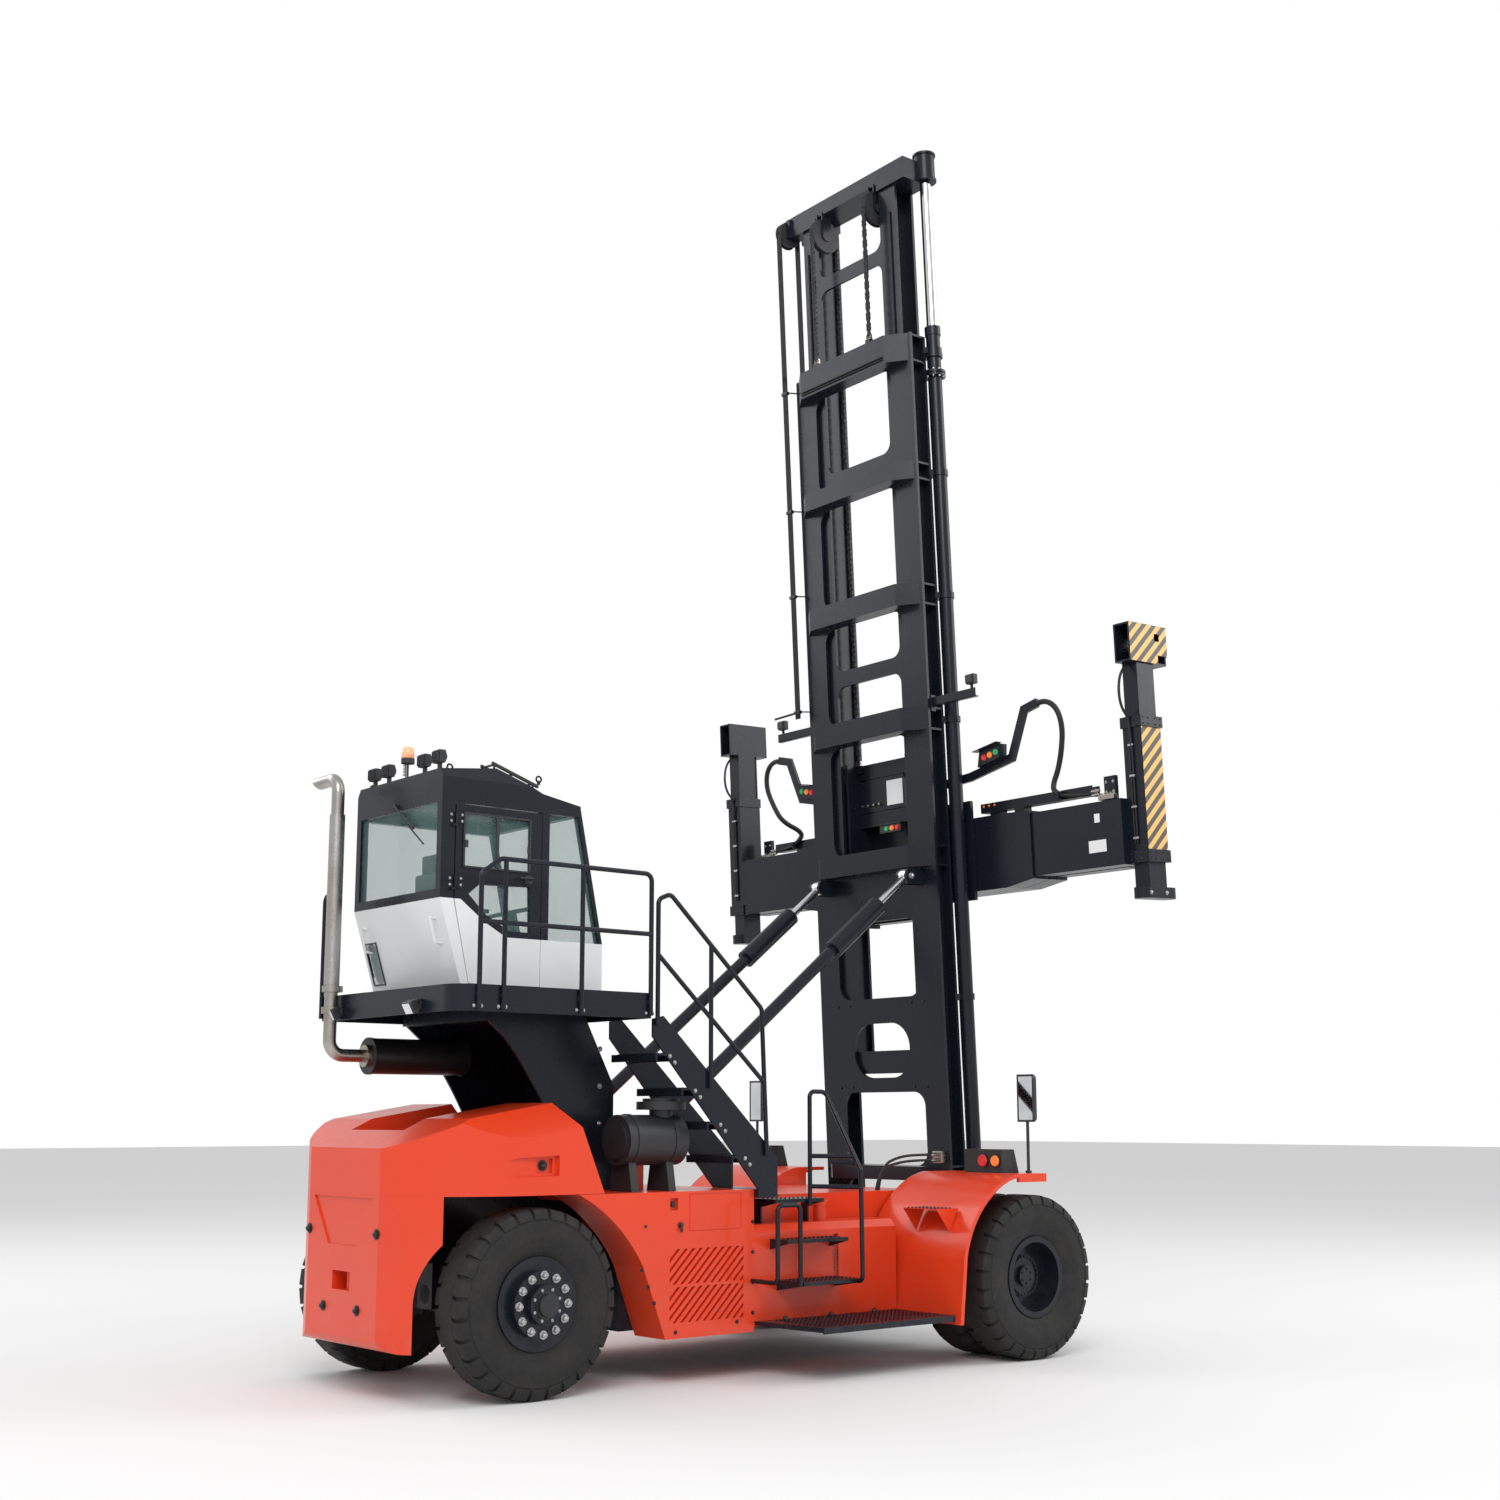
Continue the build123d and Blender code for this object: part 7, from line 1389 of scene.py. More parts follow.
    def energy_chain(self, shop: Shop, side: Side) -> None:
        """Links of the energy chain in its trough, with yellow marks near its start that glow a little from the
        amber lens finish: painted light, as they are no lamp.
        """
        sign, middle = side.value, self.trough_x[side]
        link = bmesh.new()
        block(link, about(0.0, 0.040), about(0.0, 0.016), (0.0, 0.068), 0.006)
        for x in ((-0.043, -0.038), (0.038, 0.043)):
            block(link, x, (-0.024, 0.010), (0.012, 0.056))
        row = shop.repeat(link, "black_plastic", self.chain_links, (0.0, sign * self.chain_pitch, 0.0))
        moved(row, (middle, sign * self.chain_y, self.chain_z), Layout.MAST)
        shop.piece(f"energy_chain_{side.word}", row, "spreader", "black_plastic")
        # The marks take the emissive amber lens finish, so they glow a little though they are no lamp: a painted
        # glow.
        places = [(middle - 0.0555, sign * (self.chain_y + index * 0.07), 5.02) for index in range(3)]
        marks = [(place, (-1, 0, 0)) for place in places]
        name = f"chain_marks_{side.word}"
        shop.bolts(name, "spreader", Layout.MAST, marks, 0.008, 0.002, "amber_lens", "black_plastic")

    def hang(self, shop: Shop, name: str, points: Sequence[Point], radius: float, first: str,
             second: str) -> None:
        """A free hose in the mast's coordinates from one body to another."""
        start, end = Layout.MAST.place(*points[0]), Layout.MAST.place(*points[-1])
        shop.free_hose(name, points, radius, Layout.MAST, Bend(first, second, start, end))

    def bundle(self, shop: Shop, side: Side) -> None:
        """Hose bundle from the hose arm's tip in a hanging loop to the trough, and on to the valve."""
        sign, word = side.value, side.word
        middle = self.trough_x[side]
        rest = middle - 0.085
        route = [(0.633, 1.855, 5.885), (0.633, 1.95, 5.90), (0.64, 2.075, 5.80), (0.66, 2.11, 5.62),
                 (0.70, 2.05, 5.42), (0.74, 1.96, 5.24), (middle - 0.045, 1.90, 5.13), (rest, 1.93, 5.035),
                 (rest, 2.02, 5.00)]
        tail = [(rest, 2.00, 5.00), (rest, 2.08, 4.985), (middle - 0.08, 2.22, 4.965),
                (middle - 0.05, 2.355, 4.967)]
        route, tail = ([(x, sign * y, z) for x, y, z in points] for points in (route, tail))
        self.hang(shop, f"hose_bundle_{word}", route, 0.026, "carriage", "spreader")
        strap = bmesh.new()
        block(strap, (middle - 0.125, middle - 0.054), side.span(1.985, 2.015), (4.965, 5.035), 0.006)
        shop.mast(f"bundle_strap_{word}", strap, "black_paint", "spreader")
        self.hang(shop, f"bundle_tail_{word}", tail, 0.017, "spreader", f"beam_{word}")

    def leg_loop(self, shop: Shop, side: Side) -> None:
        """Hose loop from the leg's head to its tube, behind the leg."""
        y = side.value * self.pipe_y
        route = [(x, y, z) for x, z in ((0.80, 6.125), (0.76, 6.09), (0.66, 5.98), (0.63, 5.82), (0.66, 5.68),
                                        (0.745, 5.60), (0.752, 5.45))]
        route.append((0.757, y + side.value * 0.014, 5.30))
        self.hang(shop, f"leg_loop_{side.word}", route, 0.0125, f"leg_{side.word}", f"beam_{side.word}")

    def labels(self, shop: Shop) -> None:
        """Two blank plates on the near beam."""
        shape = bmesh.new()
        for y, z in (((-2.46, -2.40), (4.69, 4.77)), ((-2.52, -2.32), (4.42, 4.53))):
            block(shape, (0.679, 0.682), y, z)
        shop.mast("beam_plates", shape, "white_paint", "beam_right")


@dataclass
class Lamps:
    """Lenses, beacon, tail lamps and mirrors of the body and the cab."""

    roof_x: float = -0.590
    roof_y: tuple = (0.48, 0.25, -0.33, -0.56)
    roof_z: float = 4.870
    beacon: Point = (-0.555, -0.05, 4.930)
    dome: tuple = (
        # height, radius
        (0.0, 0.052), (0.045, 0.051), (0.075, 0.048), (0.090, 0.040), (0.096, 0.024), (0.098, 0.004),
        (0.096, 0.001), (0.0, 0.001),
    )
    coil_turns: int = 9
    coil_points: int = 8
    coil_radius: float = 0.012
    coil_drop: float = 0.0015
    deck_x: float = -0.885
    deck_y: tuple = (0.45, -0.80)
    deck_z: float = 2.885
    deck_tilt: float = math.radians(-28)
    tail_x: float = 4.480
    tail_y: float = 1.565
    tail_z: float = 1.690
    tail_gap: float = 0.15
    mirror_x: float = 4.720
    mirror_y: float = 1.870

    def build(self, shop: Shop) -> None:
        """Make every lens and mirror."""
        self.roof(shop)
        self.warning(shop)
        self.under_platform(shop)
        for side in Side:
            self.tail(shop, side)
            self.mirror(shop, side)

    def roof(self, shop: Shop) -> None:
        """Clear lenses on the front of the roof's work lamps, and cooling fins on their backs."""
        lenses, fins = bmesh.new(), bmesh.new()
        front = self.roof_x + 0.070
        for y in self.roof_y:
            block(lenses, (front, front + 0.005), about(y, 0.045), about(self.roof_z, 0.022), 0.002)
            for step in range(6):
                fin = about(y - 0.045 + step * 0.018, 0.003)
                block(fins, (self.roof_x - 0.014, self.roof_x), fin, about(self.roof_z, 0.04))
        shop.chassis("roof_lenses", lenses, "clear_lens")
        shop.chassis("roof_lamp_fins", fins, "black_plastic")

    def warning(self, shop: Shop) -> None:
        """Amber beacon dome and its curly lead down to the roof."""
        x, y, z = self.beacon
        dome = bmesh.new()
        revolve(dome, self.dome, Vector((0, 0, 0)), 28)
        dome.transform(Matrix.Translation(self.beacon) @ Matrix.Rotation(math.radians(90), 4, "X"))
        shop.chassis("beacon_dome", dome, "beacon_lens", smooth=True)
        turn = circle(self.coil_points, self.coil_radius)
        coil = [(x + u, y + 0.05 + v, z - 0.03 - self.coil_drop * (lap * self.coil_points + index))
                for lap in range(self.coil_turns) for index, (u, v) in enumerate(turn)]
        route = [(x, y + 0.02, z - 0.025)] + coil + [(x, y + 0.06, z - 0.17)]
        shop.free_hose("beacon_lead", route, 0.003, Layout.CHASSIS, "chassis")

    def under_platform(self, shop: Shop) -> None:
        """Two work lamps on the platform's rear edge, turned down."""
        for index, y in enumerate(self.deck_y):
            lamp, lens = bmesh.new(), bmesh.new()
            block(lamp, (-0.032, 0.030), about(0.0, 0.062), about(0.0, 0.050), 0.010)
            for step in range(5):
                block(lamp, (0.028, 0.042), about(-0.05 + step * 0.025, 0.003), about(0.0, 0.04))
            block(lens, (-0.037, -0.032), about(0.0, 0.050), about(0.0, 0.040), 0.002)
            hung = Matrix.Translation((self.deck_x, y, self.deck_z)) @ Matrix.Rotation(self.deck_tilt, 4, "Y")
            for shape in (lamp, lens):
                shape.transform(hung)
            block(lamp, (-0.86, -0.8205), about(y, 0.05), (2.93, 2.945), 0.003)
            block(lamp, (-0.835, -0.8205), about(y, 0.05), (2.87, 2.945), 0.003)
            shop.chassis(f"deck_lamp_{index}", lamp, "black_plastic")
            shop.chassis(f"deck_lamp_lens_{index}", lens, "clear_lens")

    def tail(self, shop: Shop, side: Side) -> None:
        """Red and amber rear lamps of a fender's lamp box."""
        x, z = self.tail_x, self.tail_z
        red_y = side.value * self.tail_y
        amber_y = red_y + side.value * self.tail_gap
        red, amber, rim = bmesh.new(), bmesh.new(), bmesh.new()
        rod(red, (x, red_y, z), (x - 0.020, red_y, z), 0.058, 28, 0.046)
        rod(amber, (x, amber_y, z), (x - 0.020, amber_y, z), 0.052, 24, 0.042)
        for y, radius in ((red_y, 0.066), (amber_y, 0.060)):
            rod(rim, (x, y, z), (x - 0.008, y, z), radius, 28)
        shop.chassis(f"tail_red_{side.word}", red, "red_lens")
        shop.chassis(f"tail_amber_{side.word}", amber, "amber_lens")
        shop.chassis(f"tail_rims_{side.word}", rim, "black_plastic")

    def mirror(self, shop: Shop, side: Side) -> None:
        """Mirror glass with its rim on a mirror's rear face."""
        x, y = self.mirror_x, side.value * self.mirror_y
        glass, rim = bmesh.new(), bmesh.new()
        block(glass, (x - 0.003, x), about(y, 0.082), (2.048, 2.432), 0.001)
        for span in ((y - 0.095, y - 0.083), (y + 0.083, y + 0.095)):
            block(rim, (x - 0.008, x), span, (2.03, 2.45), 0.002)
        for span in ((2.030, 2.047), (2.433, 2.450)):
            block(rim, (x - 0.008, x), about(y, 0.095), span, 0.002)
        shop.chassis(f"mirror_glass_{side.word}", glass, "mirror_glass")
        shop.chassis(f"mirror_rim_{side.word}", rim, "black_plastic")


@dataclass
class CabTrim:
    """Wiper, door window frame, hinges, handles and lifting eyes of the cab."""

    side_y: float = -0.690
    rear_x: float = -0.600
    panel_x: float = -0.40
    panel_z: float = 3.09
    panel_lean: float = 0.2 / 0.655
    pane_x: tuple = (-0.405, 0.215)
    pane_z: tuple = (3.995, 4.430)
    hinge_z: tuple = (3.875, 4.375)
    grab_y: float = 0.560
    grab_z: tuple = (3.40, 3.59)
    eye_x: tuple = (-0.50, 0.33)
    eye_y: float = 0.62
    port_y: float = 0.545
    port_z: tuple = (3.150, 3.470)
    port_rubber: float = 0.012
    rail_x: tuple = (-0.631, -0.42, 0.28, 0.941)

    def build(self, shop: Shop) -> None:
        """Make every piece of the cab's trim."""
        self.wiper(shop)
        self.door(shop)
        self.grabs(shop)
        self.roof(shop)
        self.port(shop)
        self.shell_bolts(shop)

    def panel(self, z: float) -> float:
        """Where the leaning rear panel is at a height."""
        return self.panel_x - (z - self.panel_z) * self.panel_lean

    def wiper(self, shop: Shop) -> None:
        """Rear window wiper, its pivot near the top."""
        shape = bmesh.new()
        x = self.rear_x - 0.012
        rod(shape, (x + 0.03, 0.03, 4.545), (x - 0.014, 0.03, 4.545), 0.020, 16)
        rod(shape, (x - 0.008, 0.03, 4.545), (x - 0.008, -0.27, 4.335), 0.007, 8)
        rod(shape, (x - 0.002, -0.06, 4.455), (x - 0.002, -0.44, 4.185), 0.0065, 8)
        block(shape, (x - 0.012, x + 0.004), (-0.285, -0.255), (4.32, 4.35), 0.002)
        shop.chassis("rear_wiper", shape, "black_plastic")

    def door(self, shop: Shop) -> None:
        """Sliding pane's frame and latches, door handle and hinge bolts."""
        frame, handle = bmesh.new(), bmesh.new()
        side = self.side_y
        y = (side - 0.013, side - 0.001)
        (low_x, high_x), (low_z, high_z) = self.pane_x, self.pane_z
        block(frame, about((low_x + high_x) / 2, 0.014), y, (low_z + 0.004, high_z - 0.004), 0.003)
        for x in (low_x + 0.006, high_x - 0.006):
            block(frame, about(x, 0.008), y, self.pane_z, 0.003)
        for z in (low_z + 0.006, high_z - 0.006):
            block(frame, self.pane_x, y, about(z, 0.008), 0.003)
        for x in (low_x + 0.022, high_x - 0.022):
            block(frame, about(x, 0.014), (side - 0.026, side - 0.010), (4.15, 4.21), 0.005)
        shop.chassis("door_pane_frame", frame, "black_plastic", "door")
        outer = side - 0.048
        block(handle, (0.165, 0.235), (side - 0.014, side - 0.0005), (3.905, 3.975), 0.004)
        rod(handle, (0.215, side - 0.01, 3.95), (0.215, outer, 3.95), 0.011, 12)
        rod(handle, (0.222, outer, 3.95), (0.095, outer, 3.945), 0.010, 12)
        rod(handle, (0.20, side - 0.013, 3.922), (0.20, side - 0.017, 3.922), 0.010, 14)
        shop.chassis("door_handle", handle, "black_plastic", "door")
        for name, body, x, y in (
            ("door_hinge_bolts", "door", -0.429, side - 0.020),
            ("post_hinge_bolts", "chassis", -0.515, side - 0.001),
        ):
            rows = [((x, y, high), (0, -1, 0)) for z in self.hinge_z for high in about(z, 0.025)]
            shop.bolts(name, body, Layout.CHASSIS, rows, 0.008, 0.006)

    def grabs(self, shop: Shop) -> None:
        """White grab handles on the cab's rear panel."""
        low, high = self.grab_z
        low_x, high_x = self.panel(low), self.panel(high)
        for side in Side:
            y = side.value * self.grab_y
            shape = bmesh.new()
            rod(shape, (low_x, y, low), (low_x - 0.06, y, low + 0.01), 0.011, 12)
            rod(shape, (high_x, y, high), (high_x - 0.06, y, high + 0.01), 0.011, 12)
            rod(shape, (low_x - 0.058, y, low), (high_x - 0.058, y, high + 0.02), 0.011, 12)
            shop.chassis(f"grab_handle_{side.word}", shape, "white_paint")

    def roof(self, shop: Shop) -> None:
        """Four lifting eyes on the roof's edges."""
        shape = bmesh.new()
        outline = [(v, 0.024 + u) for u, v in circle(8, 0.008)]
        for x in self.eye_x:
            for y in (-self.eye_y, self.eye_y):
                ring = bmesh.new()
                revolve(ring, outline, Vector((x, y, 4.785)), 20)
                absorb(shape, to_mesh(ring))
                rod(shape, (x, y, 4.74), (x, y, 4.772), 0.014, 12)
        shop.chassis("lifting_eyes", shape, "black_paint")

    def port(self, shop: Shop) -> None:
        """Dark rubber surround of the small lower window in the rear panel."""
        shape = bmesh.new()
        proud, width = 0.008, self.port_rubber
        foot, head = self.port_z
        for y in about(self.port_y, 0.091):
            corners = ((foot, -proud), (head, -proud), (head, 0.01), (foot, 0.01))
            prism(shape, [(self.panel(z) + dx, y - width / 2, z) for z, dx in corners], (0, width, 0))
        for z in (foot - width, head):
            x = self.panel(z)
            block(shape, (x - proud, x + 0.01), about(self.port_y, 0.097), (z, z + width), 0.002)
        shop.chassis("port_rubber", shape, "black_plastic")

    def shell_bolts(self, shop: Shop) -> None:
        """Round bolts at the platform's rail feet and on the tower's sides."""
        rows = [((x + dx, -1.3315, z), (0, -1, 0)) for x in self.rail_x
                for dx, z in ((-0.03, 2.88), (0.03, 2.88), (0.0, 2.97))]
        shop.bolts("rail_foot_bolts", "chassis", Layout.CHASSIS, rows, 0.011, 0.008)
        tower = [((0.95, sign * 0.6505, 2.62 - k * 0.30), (0, sign, 0)) for sign in (-1, 1) for k in range(3)]
        shop.bolts("tower_bolts", "chassis", Layout.CHASSIS, tower, 0.016, 0.010)


@dataclass
class Seat:
    """Driver's seat: a stuffed cushion, back and headrest over the plain solid."""

    pads: tuple = (
        # name, x, y, z
        ("seat_cushion", (-0.235, 0.180), (-0.235, 0.235), (3.455, 3.555)),
        ("seat_back", (-0.325, -0.228), (-0.232, 0.232), (3.575, 4.045)),
        ("seat_headrest", (-0.318, -0.240), (-0.135, 0.135), (4.065, 4.185)),
    )
    voxel: float = 0.009
    swell: float = 0.012
    pressure: float = 4.0
    frames: int = 20
    folds: int = 6

    def build(self, shop: Shop) -> None:
        """Make the three padded pieces and the pedestal, and hide the plain seat."""
        pads = [self.pad(shop, *row) for row in self.pads]
        base = bmesh.new()
        block(base, (-0.20, 0.07), (-0.14, 0.14), (3.115, 3.30), 0.02)
        block(base, (-0.22, 0.11), (-0.19, 0.19), (3.31, 3.44), 0.03)
        block(base, (-0.312, -0.296), (-0.10, 0.10), (3.47, 4.09), 0.004)
        for step in range(self.folds):
            z = 3.302 + step * 0.0015
            block(base, (-0.19, 0.08), (-0.15, 0.15), (z, z + 0.001))
        for y in (-0.262, 0.262):
            block(base, (-0.20, 0.10), about(y, 0.028), (3.70, 3.735), 0.012)
            rod(base, (-0.26, y * 0.93, 3.70), (-0.17, y, 3.715), 0.014, 10)
        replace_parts(shop.chassis("seat_frame", base, "black_plastic"), "seat")

    def pad(self, shop: Shop, name: str, x: Span, y: Span, z: Span) -> Piece:
        """One stuffed pad, swollen by a cloth simulation.

        Args:
            shop: the shop.
            name: the piece's name.
            x: its span forward.
            y: its span to the left.
            z: its span up.

        Returns:
            The pad.
        """
        shape = bmesh.new()
        inset = self.swell * 0.7
        block(shape, *[(low + inset, high - inset) for low, high in (x, y, z)], 0.022)
        made = shop.chassis(name, shape, "seat_fabric", smooth=True)
        remesh = made.modifiers.new("remesh", "REMESH")
        remesh.mode = "VOXEL"
        remesh.voxel_size = self.voxel
        self.apply(made)
        self.inflate(made)
        soft = made.modifiers.new("soft", "SMOOTH")
        soft.factor, soft.iterations = 0.5, 6
        self.apply(made)
        made.data.shade_smooth()
        return made

    def inflate(self, made: Piece) -> None:
        """Swell a pad by cloth pressure and keep each point within the cap."""
        before = [vert.co.copy() for vert in made.data.vertices]
        cloth = made.modifiers.new("cloth", "CLOTH")
        cloth.settings.use_pressure = True
        cloth.settings.uniform_pressure_force = self.pressure
        cloth.settings.effector_weights.gravity = 0.0
        cloth.settings.quality = 5
        cloth.point_cache.frame_start, cloth.point_cache.frame_end = 1, self.frames
        scene = bpy.context.scene
        for frame in range(1, self.frames + 1):
            scene.frame_set(frame)
        self.apply(made)
        for vert, place in zip(made.data.vertices, before):
            offset = vert.co - place
            if offset.length > self.swell:
                vert.co = place + offset.normalized() * self.swell
        scene.frame_set(1)

    def apply(self, made: Piece) -> None:
        """Bake an object's modifiers into its mesh and remove them."""
        mesh = evaluated(made)
        made.modifiers.clear()
        old = made.data
        made.data = mesh
        bpy.data.meshes.remove(old)
        mesh.name = made.name


@dataclass
class Treads:
    """Serrated gratings on the steps, the walkway and the stairs."""

    steps: tuple = (
        # rear, front, inner, outer, top
        (2.293, 2.830, -1.00, -1.28, 1.40), (2.230, 2.903, -1.28, -1.50, 1.085),
        (2.301, 2.951, -1.28, -1.62, 0.755), (2.180, 3.620, -1.31, -1.97, 0.440),
    )
    stairs: tuple = ((2.014, 1.761), (1.755, 2.031), (1.497, 2.300), (1.238, 2.570))
    stair_deep: float = 0.23
    stair_y: tuple = (-1.31, -0.75)
    spacing: float = 0.045
    tooth: float = 0.022
    wide: float = 0.012
    high: float = 0.007
    sunk: float = 0.001
    hold_x: tuple = (2.35, 2.85, 3.35)
    hold_y: float = -1.335

    def build(self, shop: Shop) -> None:
        """Lay rows of raised teeth on every tread, and hold the walkway down."""
        for index, (rear, front, inner, outer, top) in enumerate(self.steps):
            deep, wide = ((low + 0.03, high - 0.03) for low, high in ((rear, front), (outer, inner)))
            self.plate(shop, f"step_tread_{index}", deep, wide, top)
        for index, (front, top) in enumerate(self.stairs):
            span = (front - self.stair_deep + 0.02, front - 0.015)
            self.plate(shop, f"stair_tread_{index}", span, self.stair_y, top)
        self.hold_downs(shop)

    def plate(self, shop: Shop, name: str, x: Span, y: Span, top: float) -> None:
        """Raised teeth over one tread."""
        tooth = bmesh.new()
        half, high = self.tooth / 2, self.high
        corners = ((-half, 0), (half, 0), (half * 0.5, high), (-half * 0.5, high))
        prism(tooth, [(along, -self.wide / 2, up) for along, up in corners], (0, self.wide, 0))
        count_x, count_y = (max(2, int((high - low) / self.spacing)) for low, high in (x, y))
        step_x, step_y = (x[1] - x[0]) / count_x, (y[1] - y[0]) / count_y
        row = shop.repeat(tooth, "black_paint", count_x, (step_x, 0.0, 0.0))
        grid = shop.repeat(row, "black_paint", count_y, (0.0, step_y, 0.0))
        moved(grid, (x[0] + step_x / 2, y[0] + step_y / 2, top - self.sunk), Layout.CHASSIS)
        shop.piece(name, grid, "chassis", "black_paint")

    def hold_downs(self, shop: Shop) -> None:
        """Rubber hold-downs at the walkway's inner edge."""
        shape = bmesh.new()
        y = self.hold_y
        for x in self.hold_x:
            rod(shape, (x, y, 0.439), (x, y, 0.462), 0.026, 18, 0.020)
            rod(shape, (x, y, 0.460), (x, y, 0.472), 0.010, 6)
        shop.chassis("walk_holds", shape, "black_plastic")


@dataclass
class BodyTrim:
    """Bolts, handles and plates on the orange body."""

    side_y: float = -1.281
    seam_x: float = 2.045
    spots: tuple = ((0.93, 0.90), (0.99, 0.77), (1.05, 0.645), (1.26, 0.41), (1.88, 0.45))
    seam_z: tuple = (1.23, 0.99, 0.75, 0.51)
    muffler_x: tuple = (-0.55, 0.33)
    muffler_y: float = 0.47
    muffler_z: float = 2.56
    muffler_radius: float = 0.143
    step_y: tuple = (1.42, 1.82)
    step_x: tuple = (3.62, 3.885)
    step_top: float = 1.300
    grip: float = 0.045
    weight_spots: tuple = ((-0.54, 1.21), (0.54, 1.21), (-0.27, 0.64), (0.27, 0.64))

    def build(self, shop: Shop) -> None:
        """Make every piece of the body's trim."""
        self.side_bolts(shop)
        self.fender_steps(shop)
        self.counterweight(shop)
        self.fittings(shop)
        self.muffler(shop)
        self.gauge(shop)

    def side_bolts(self, shop: Shop) -> None:
        """Rows of bolts around the arch, the seams and the fender on each side, and on the stringers."""
        spots = self.spots + tuple((self.seam_x, z) for z in self.seam_z)
        for side in Side:
            sign = side.value
            rows = [((x, -sign * self.side_y, z), (0, sign, 0)) for x, z in spots]
            shop.bolts(f"side_bolts_{side.word}", "chassis", Layout.CHASSIS, rows, 0.012, 0.008, "hub_black")
        stair = [((front - 0.09 + dx, -1.3305, top - 0.02 - dx), (0, -1, 0)) for front, top in Treads.stairs
                 for dx in (0.0, 0.05)]
        shop.bolts("stringer_bolts", "chassis", Layout.CHASSIS, stair, 0.012, 0.009)

    def muffler(self, shop: Shop) -> None:
        """Dark heat skin of the muffler, with rolled end rims and a lap seam."""
        shape = bmesh.new()
        (rear, front), y, z, radius = self.muffler_x, self.muffler_y, self.muffler_z, self.muffler_radius
        rod(shape, (rear - 0.0015, y, z), (front + 0.0015, y, z), radius + 0.0015, 40)
        for x in (rear, front - 0.02):
            rod(shape, (x - 0.003, y, z), (x + 0.023, y, z), radius + 0.007, 40)
        top = z + radius
        block(shape, (rear + 0.03, front - 0.03), (y + 0.02, y + 0.06), (top - 0.012, top + 0.003), 0.001)
        shop.chassis("muffler_skin", shape, "heat_dark")

    def fender_steps(self, shop: Shop) -> None:
        """Perforated wedge step on each fender's rear."""
        (rear, front), top = self.step_x, self.step_top
        for side in Side:
            sign = side.value
            shape = bmesh.new()
            inner, outer = (sign * y for y in self.step_y)
            for y in (inner, outer):
                prism(shape, [(rear, y, top), (front, y, top), (3.775, y, 1.100)], (0, sign * 0.004, 0))
            corners = ((rear, inner), (front, inner), (front, outer), (rear, outer))
            prism(shape, [(*corner, top - 0.004) for corner in corners], (0, 0, 0.005))
            shop.chassis(f"fender_step_{side.word}", shape, "orange_paint")
            places = [(rear + 0.03 + self.grip * i, inner + sign * (0.04 + self.grip * j), top + 0.0012)
                      for i in range(5) for j in range(8)]
            studs = [(place, (0, 0, 1)) for place in places]
            name = f"fender_step_grip_{side.word}"
            shop.bolts(name, "chassis", Layout.CHASSIS, studs, 0.009, 0.004, "hub_black")

    def counterweight(self, shop: Shop) -> None:
        """Caps of the bolts through the counterweight's rear face and its side pockets."""
        rows = [((-0.970, y, z), (-1, 0, 0)) for y, z in self.weight_spots]
        rows += [((0.035, sign * 1.218, 1.71), (0, sign, 0)) for sign in (-1, 1)]
        shop.bolts("counterweight_bolts", "chassis", Layout.CHASSIS, rows, 0.030, 0.014, "hub_black")

    def fittings(self, shop: Shop) -> None:
        """Lock lever, battery switch and filler ring on the right side."""
        shape = bmesh.new()
        y = self.side_y
        rod(shape, (1.30, y, 1.23), (1.30, y - 0.016, 1.23), 0.022, 18)
        block(shape, (1.288, 1.312), (y - 0.024, y - 0.014), (1.175, 1.245), 0.004)
        rod(shape, (0.96, y + 0.002, 1.23), (0.96, y - 0.002, 1.23), 0.014, 14)
        rod(shape, (1.24, y + 0.028, 1.392), (1.24, y + 0.006, 1.392), 0.020, 18)
        block(shape, (1.232, 1.248), (y + 0.004, y + 0.012), (1.362, 1.422), 0.003)
        shop.chassis("side_fittings", shape, "black_plastic")

    def gauge(self, shop: Shop) -> None:
        """Gauge glass on the right side tank."""
        glass = bmesh.new()
        y = self.side_y - 0.001
        rod(glass, (2.955, y, 0.76), (2.955, y, 1.08), 0.012, 12)
        shop.chassis("gauge_glass", glass, "glass")


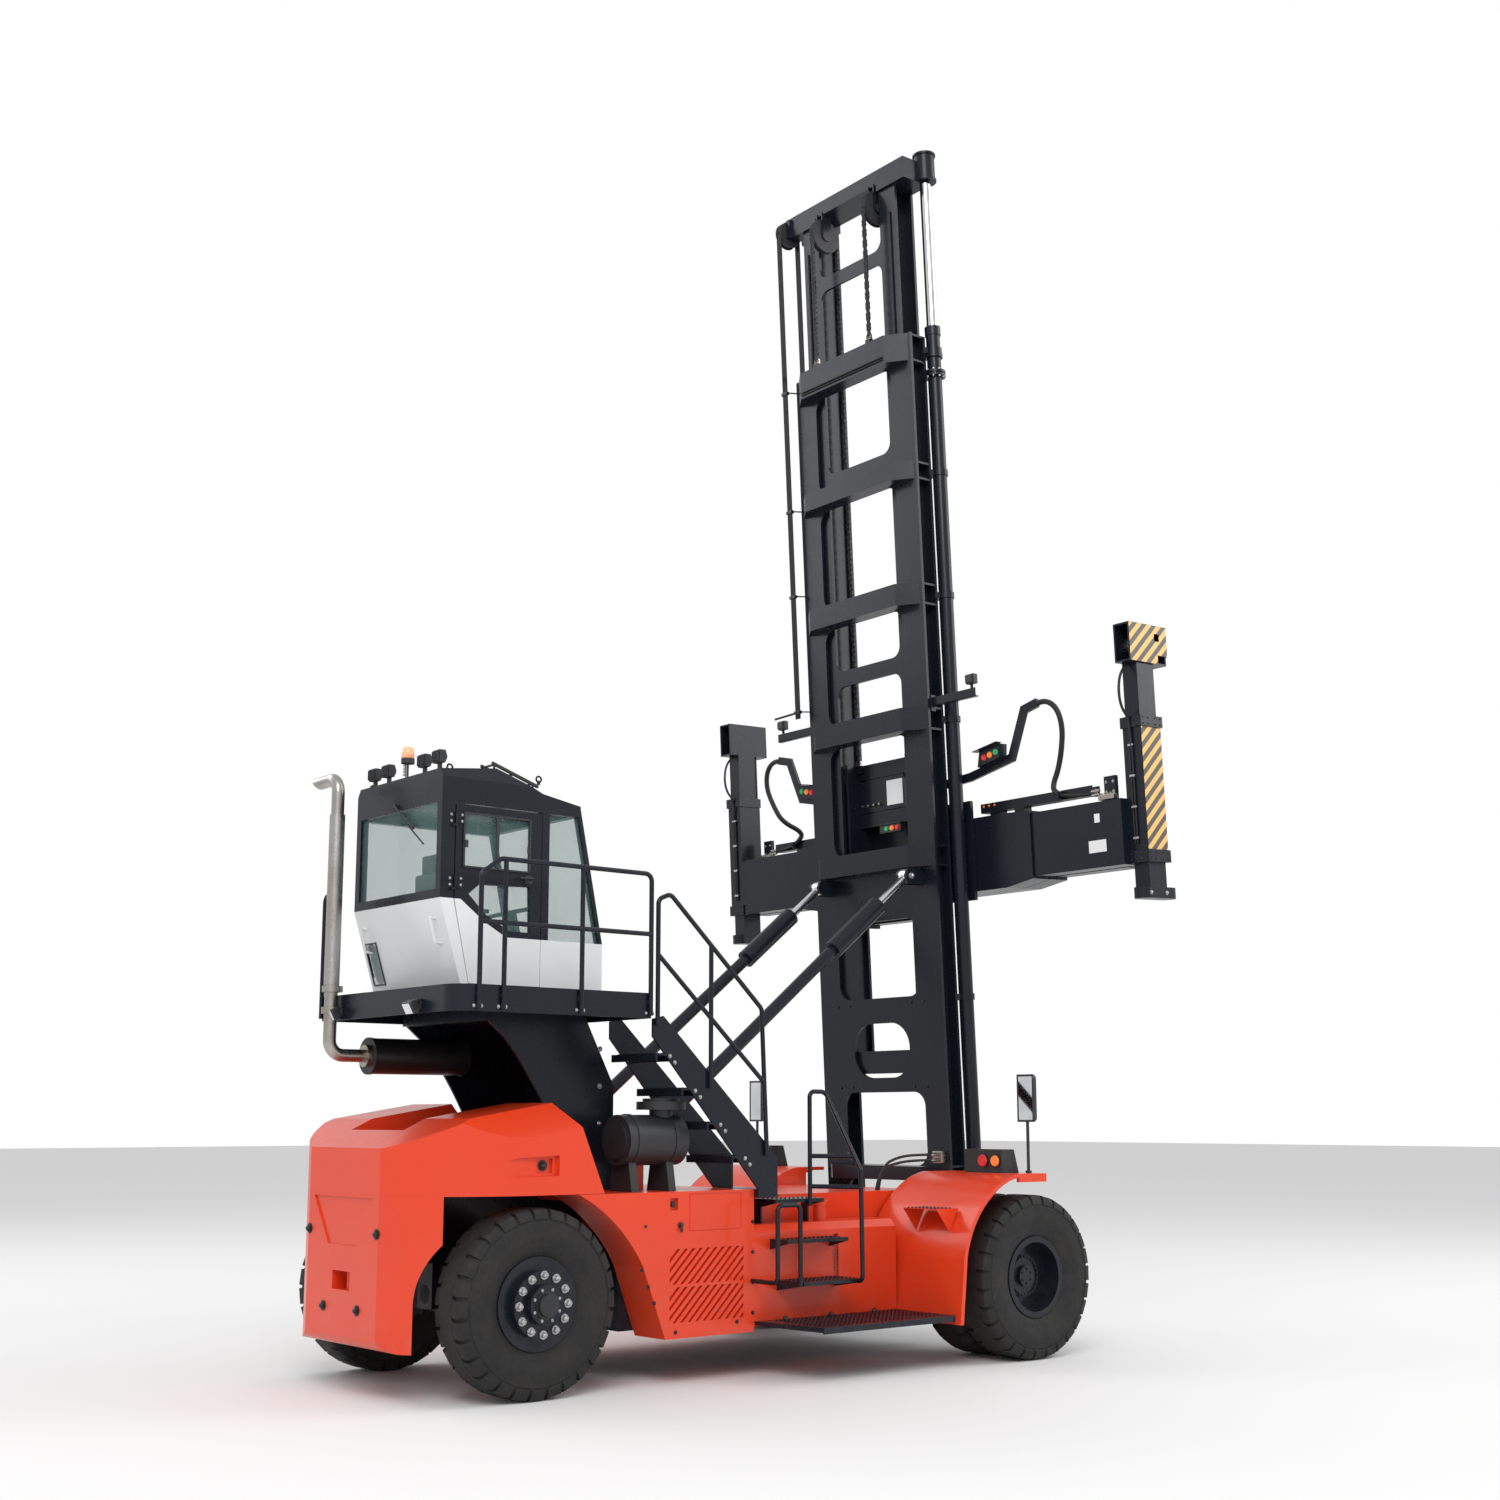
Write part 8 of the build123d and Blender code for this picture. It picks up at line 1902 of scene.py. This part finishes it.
@dataclass
class Studio:
    """Floor, lights and the camera at the photograph's viewpoint."""

    eye: Point = (-10.142, -13.048, 2.059)
    heading: float = math.radians(50.22)
    pitch: float = math.radians(9.06)
    lens: float = 44.2
    sensor: float = 36.0
    rise: float = 0.05
    far: float = 500.0
    floor_half: float = 120.0
    aim: Point = (0.0, 0.0, 4.0)
    lamps: tuple = (
        # place, size, energy
        ((-14.0, -16.0, 18.0), 12.0, 2600.0),
        ((16.0, -10.0, 14.0), 12.0, 1300.0),
        ((-8.0, 16.0, 16.0), 12.0, 1000.0),
    )

    def build(self) -> None:
        """Make the camera, the floor, the lamps and the world."""
        scene = bpy.context.scene
        scene.view_settings.view_transform = "Standard"
        data = bpy.data.cameras.new("photo_view")
        data.sensor_width = self.sensor
        data.lens = self.lens
        data.shift_y = self.rise
        data.clip_end = self.far
        camera = bpy.data.objects.new("photo_view", data)
        camera.location = self.eye
        camera.rotation_euler = (math.pi / 2 + self.pitch, 0.0, self.heading - math.pi / 2)
        scene.collection.objects.link(camera)
        scene.camera = camera
        self.floor()
        for index, (place, size, energy) in enumerate(self.lamps):
            self.lamp(f"softbox_{index}", place, size, energy)
        self.world()

    def floor(self) -> None:
        """Lay the pale grey floor."""
        graph = Graph("studio_floor")
        graph.wire("Base Color", (0.82, 0.82, 0.82, 1.0))
        graph.wire("Roughness", 0.9)
        shape = bmesh.new()
        bmesh.ops.create_grid(shape, x_segments=1, y_segments=1, size=self.floor_half)
        mesh = plain_mesh(shape)
        mesh.materials.append(graph.material)
        made = bpy.data.objects.new("studio_floor", mesh)
        bpy.context.scene.collection.objects.link(made)

    def lamp(self, name: str, place: Point, size: float, energy: float) -> None:
        """Hang one softbox aimed at the machine's middle."""
        data = bpy.data.lights.new(name, "AREA")
        data.size = size
        data.energy = energy
        made = bpy.data.objects.new(name, data)
        made.location = place
        made.rotation_euler = (Vector(self.aim) - Vector(place)).to_track_quat("-Z", "Y").to_euler()
        bpy.context.scene.collection.objects.link(made)

    def world(self) -> None:
        """Plain pale surroundings: white to the camera and through glass, softer as light and in reflections."""
        world = bpy.data.worlds.new("studio_world")
        bpy.context.scene.world = world
        world.use_nodes = True
        network = Network(world.node_tree)
        rays = network.add("ShaderNodeLightPath").outputs
        seen = network.maths("MAXIMUM", rays["Is Camera Ray"], rays["Is Transmission Ray"])
        level = network.add("ShaderNodeMapRange", {"Value": seen, "To Min": 0.75, "To Max": 1.0})
        back = world.node_tree.nodes["Background"].inputs
        network.join(level.outputs["Result"], back["Strength"])
        network.join((1.0, 1.0, 1.0, 1.0), back["Color"])


def main() -> None:
    """Load the frame, set the studio and build every piece."""
    logging.basicConfig(level=logging.INFO, format="%(name)s: %(message)s")
    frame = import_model()
    shop = Shop()
    slots = {row["node"]: row["material_slot"] for row in frame["record"]["subparts"]}
    for node, made in frame["nodes"].items():
        shop.dress(made, slots[node])
    Studio().build()
    for kind in (Wheels, LiftChains, MastTrim, SpreaderTrim, Lamps, CabTrim, Seat, Treads, BodyTrim):
        LOG.info("building %s", kind.__name__)
        kind().build(shop)


if __name__ == "__main__":
    main()
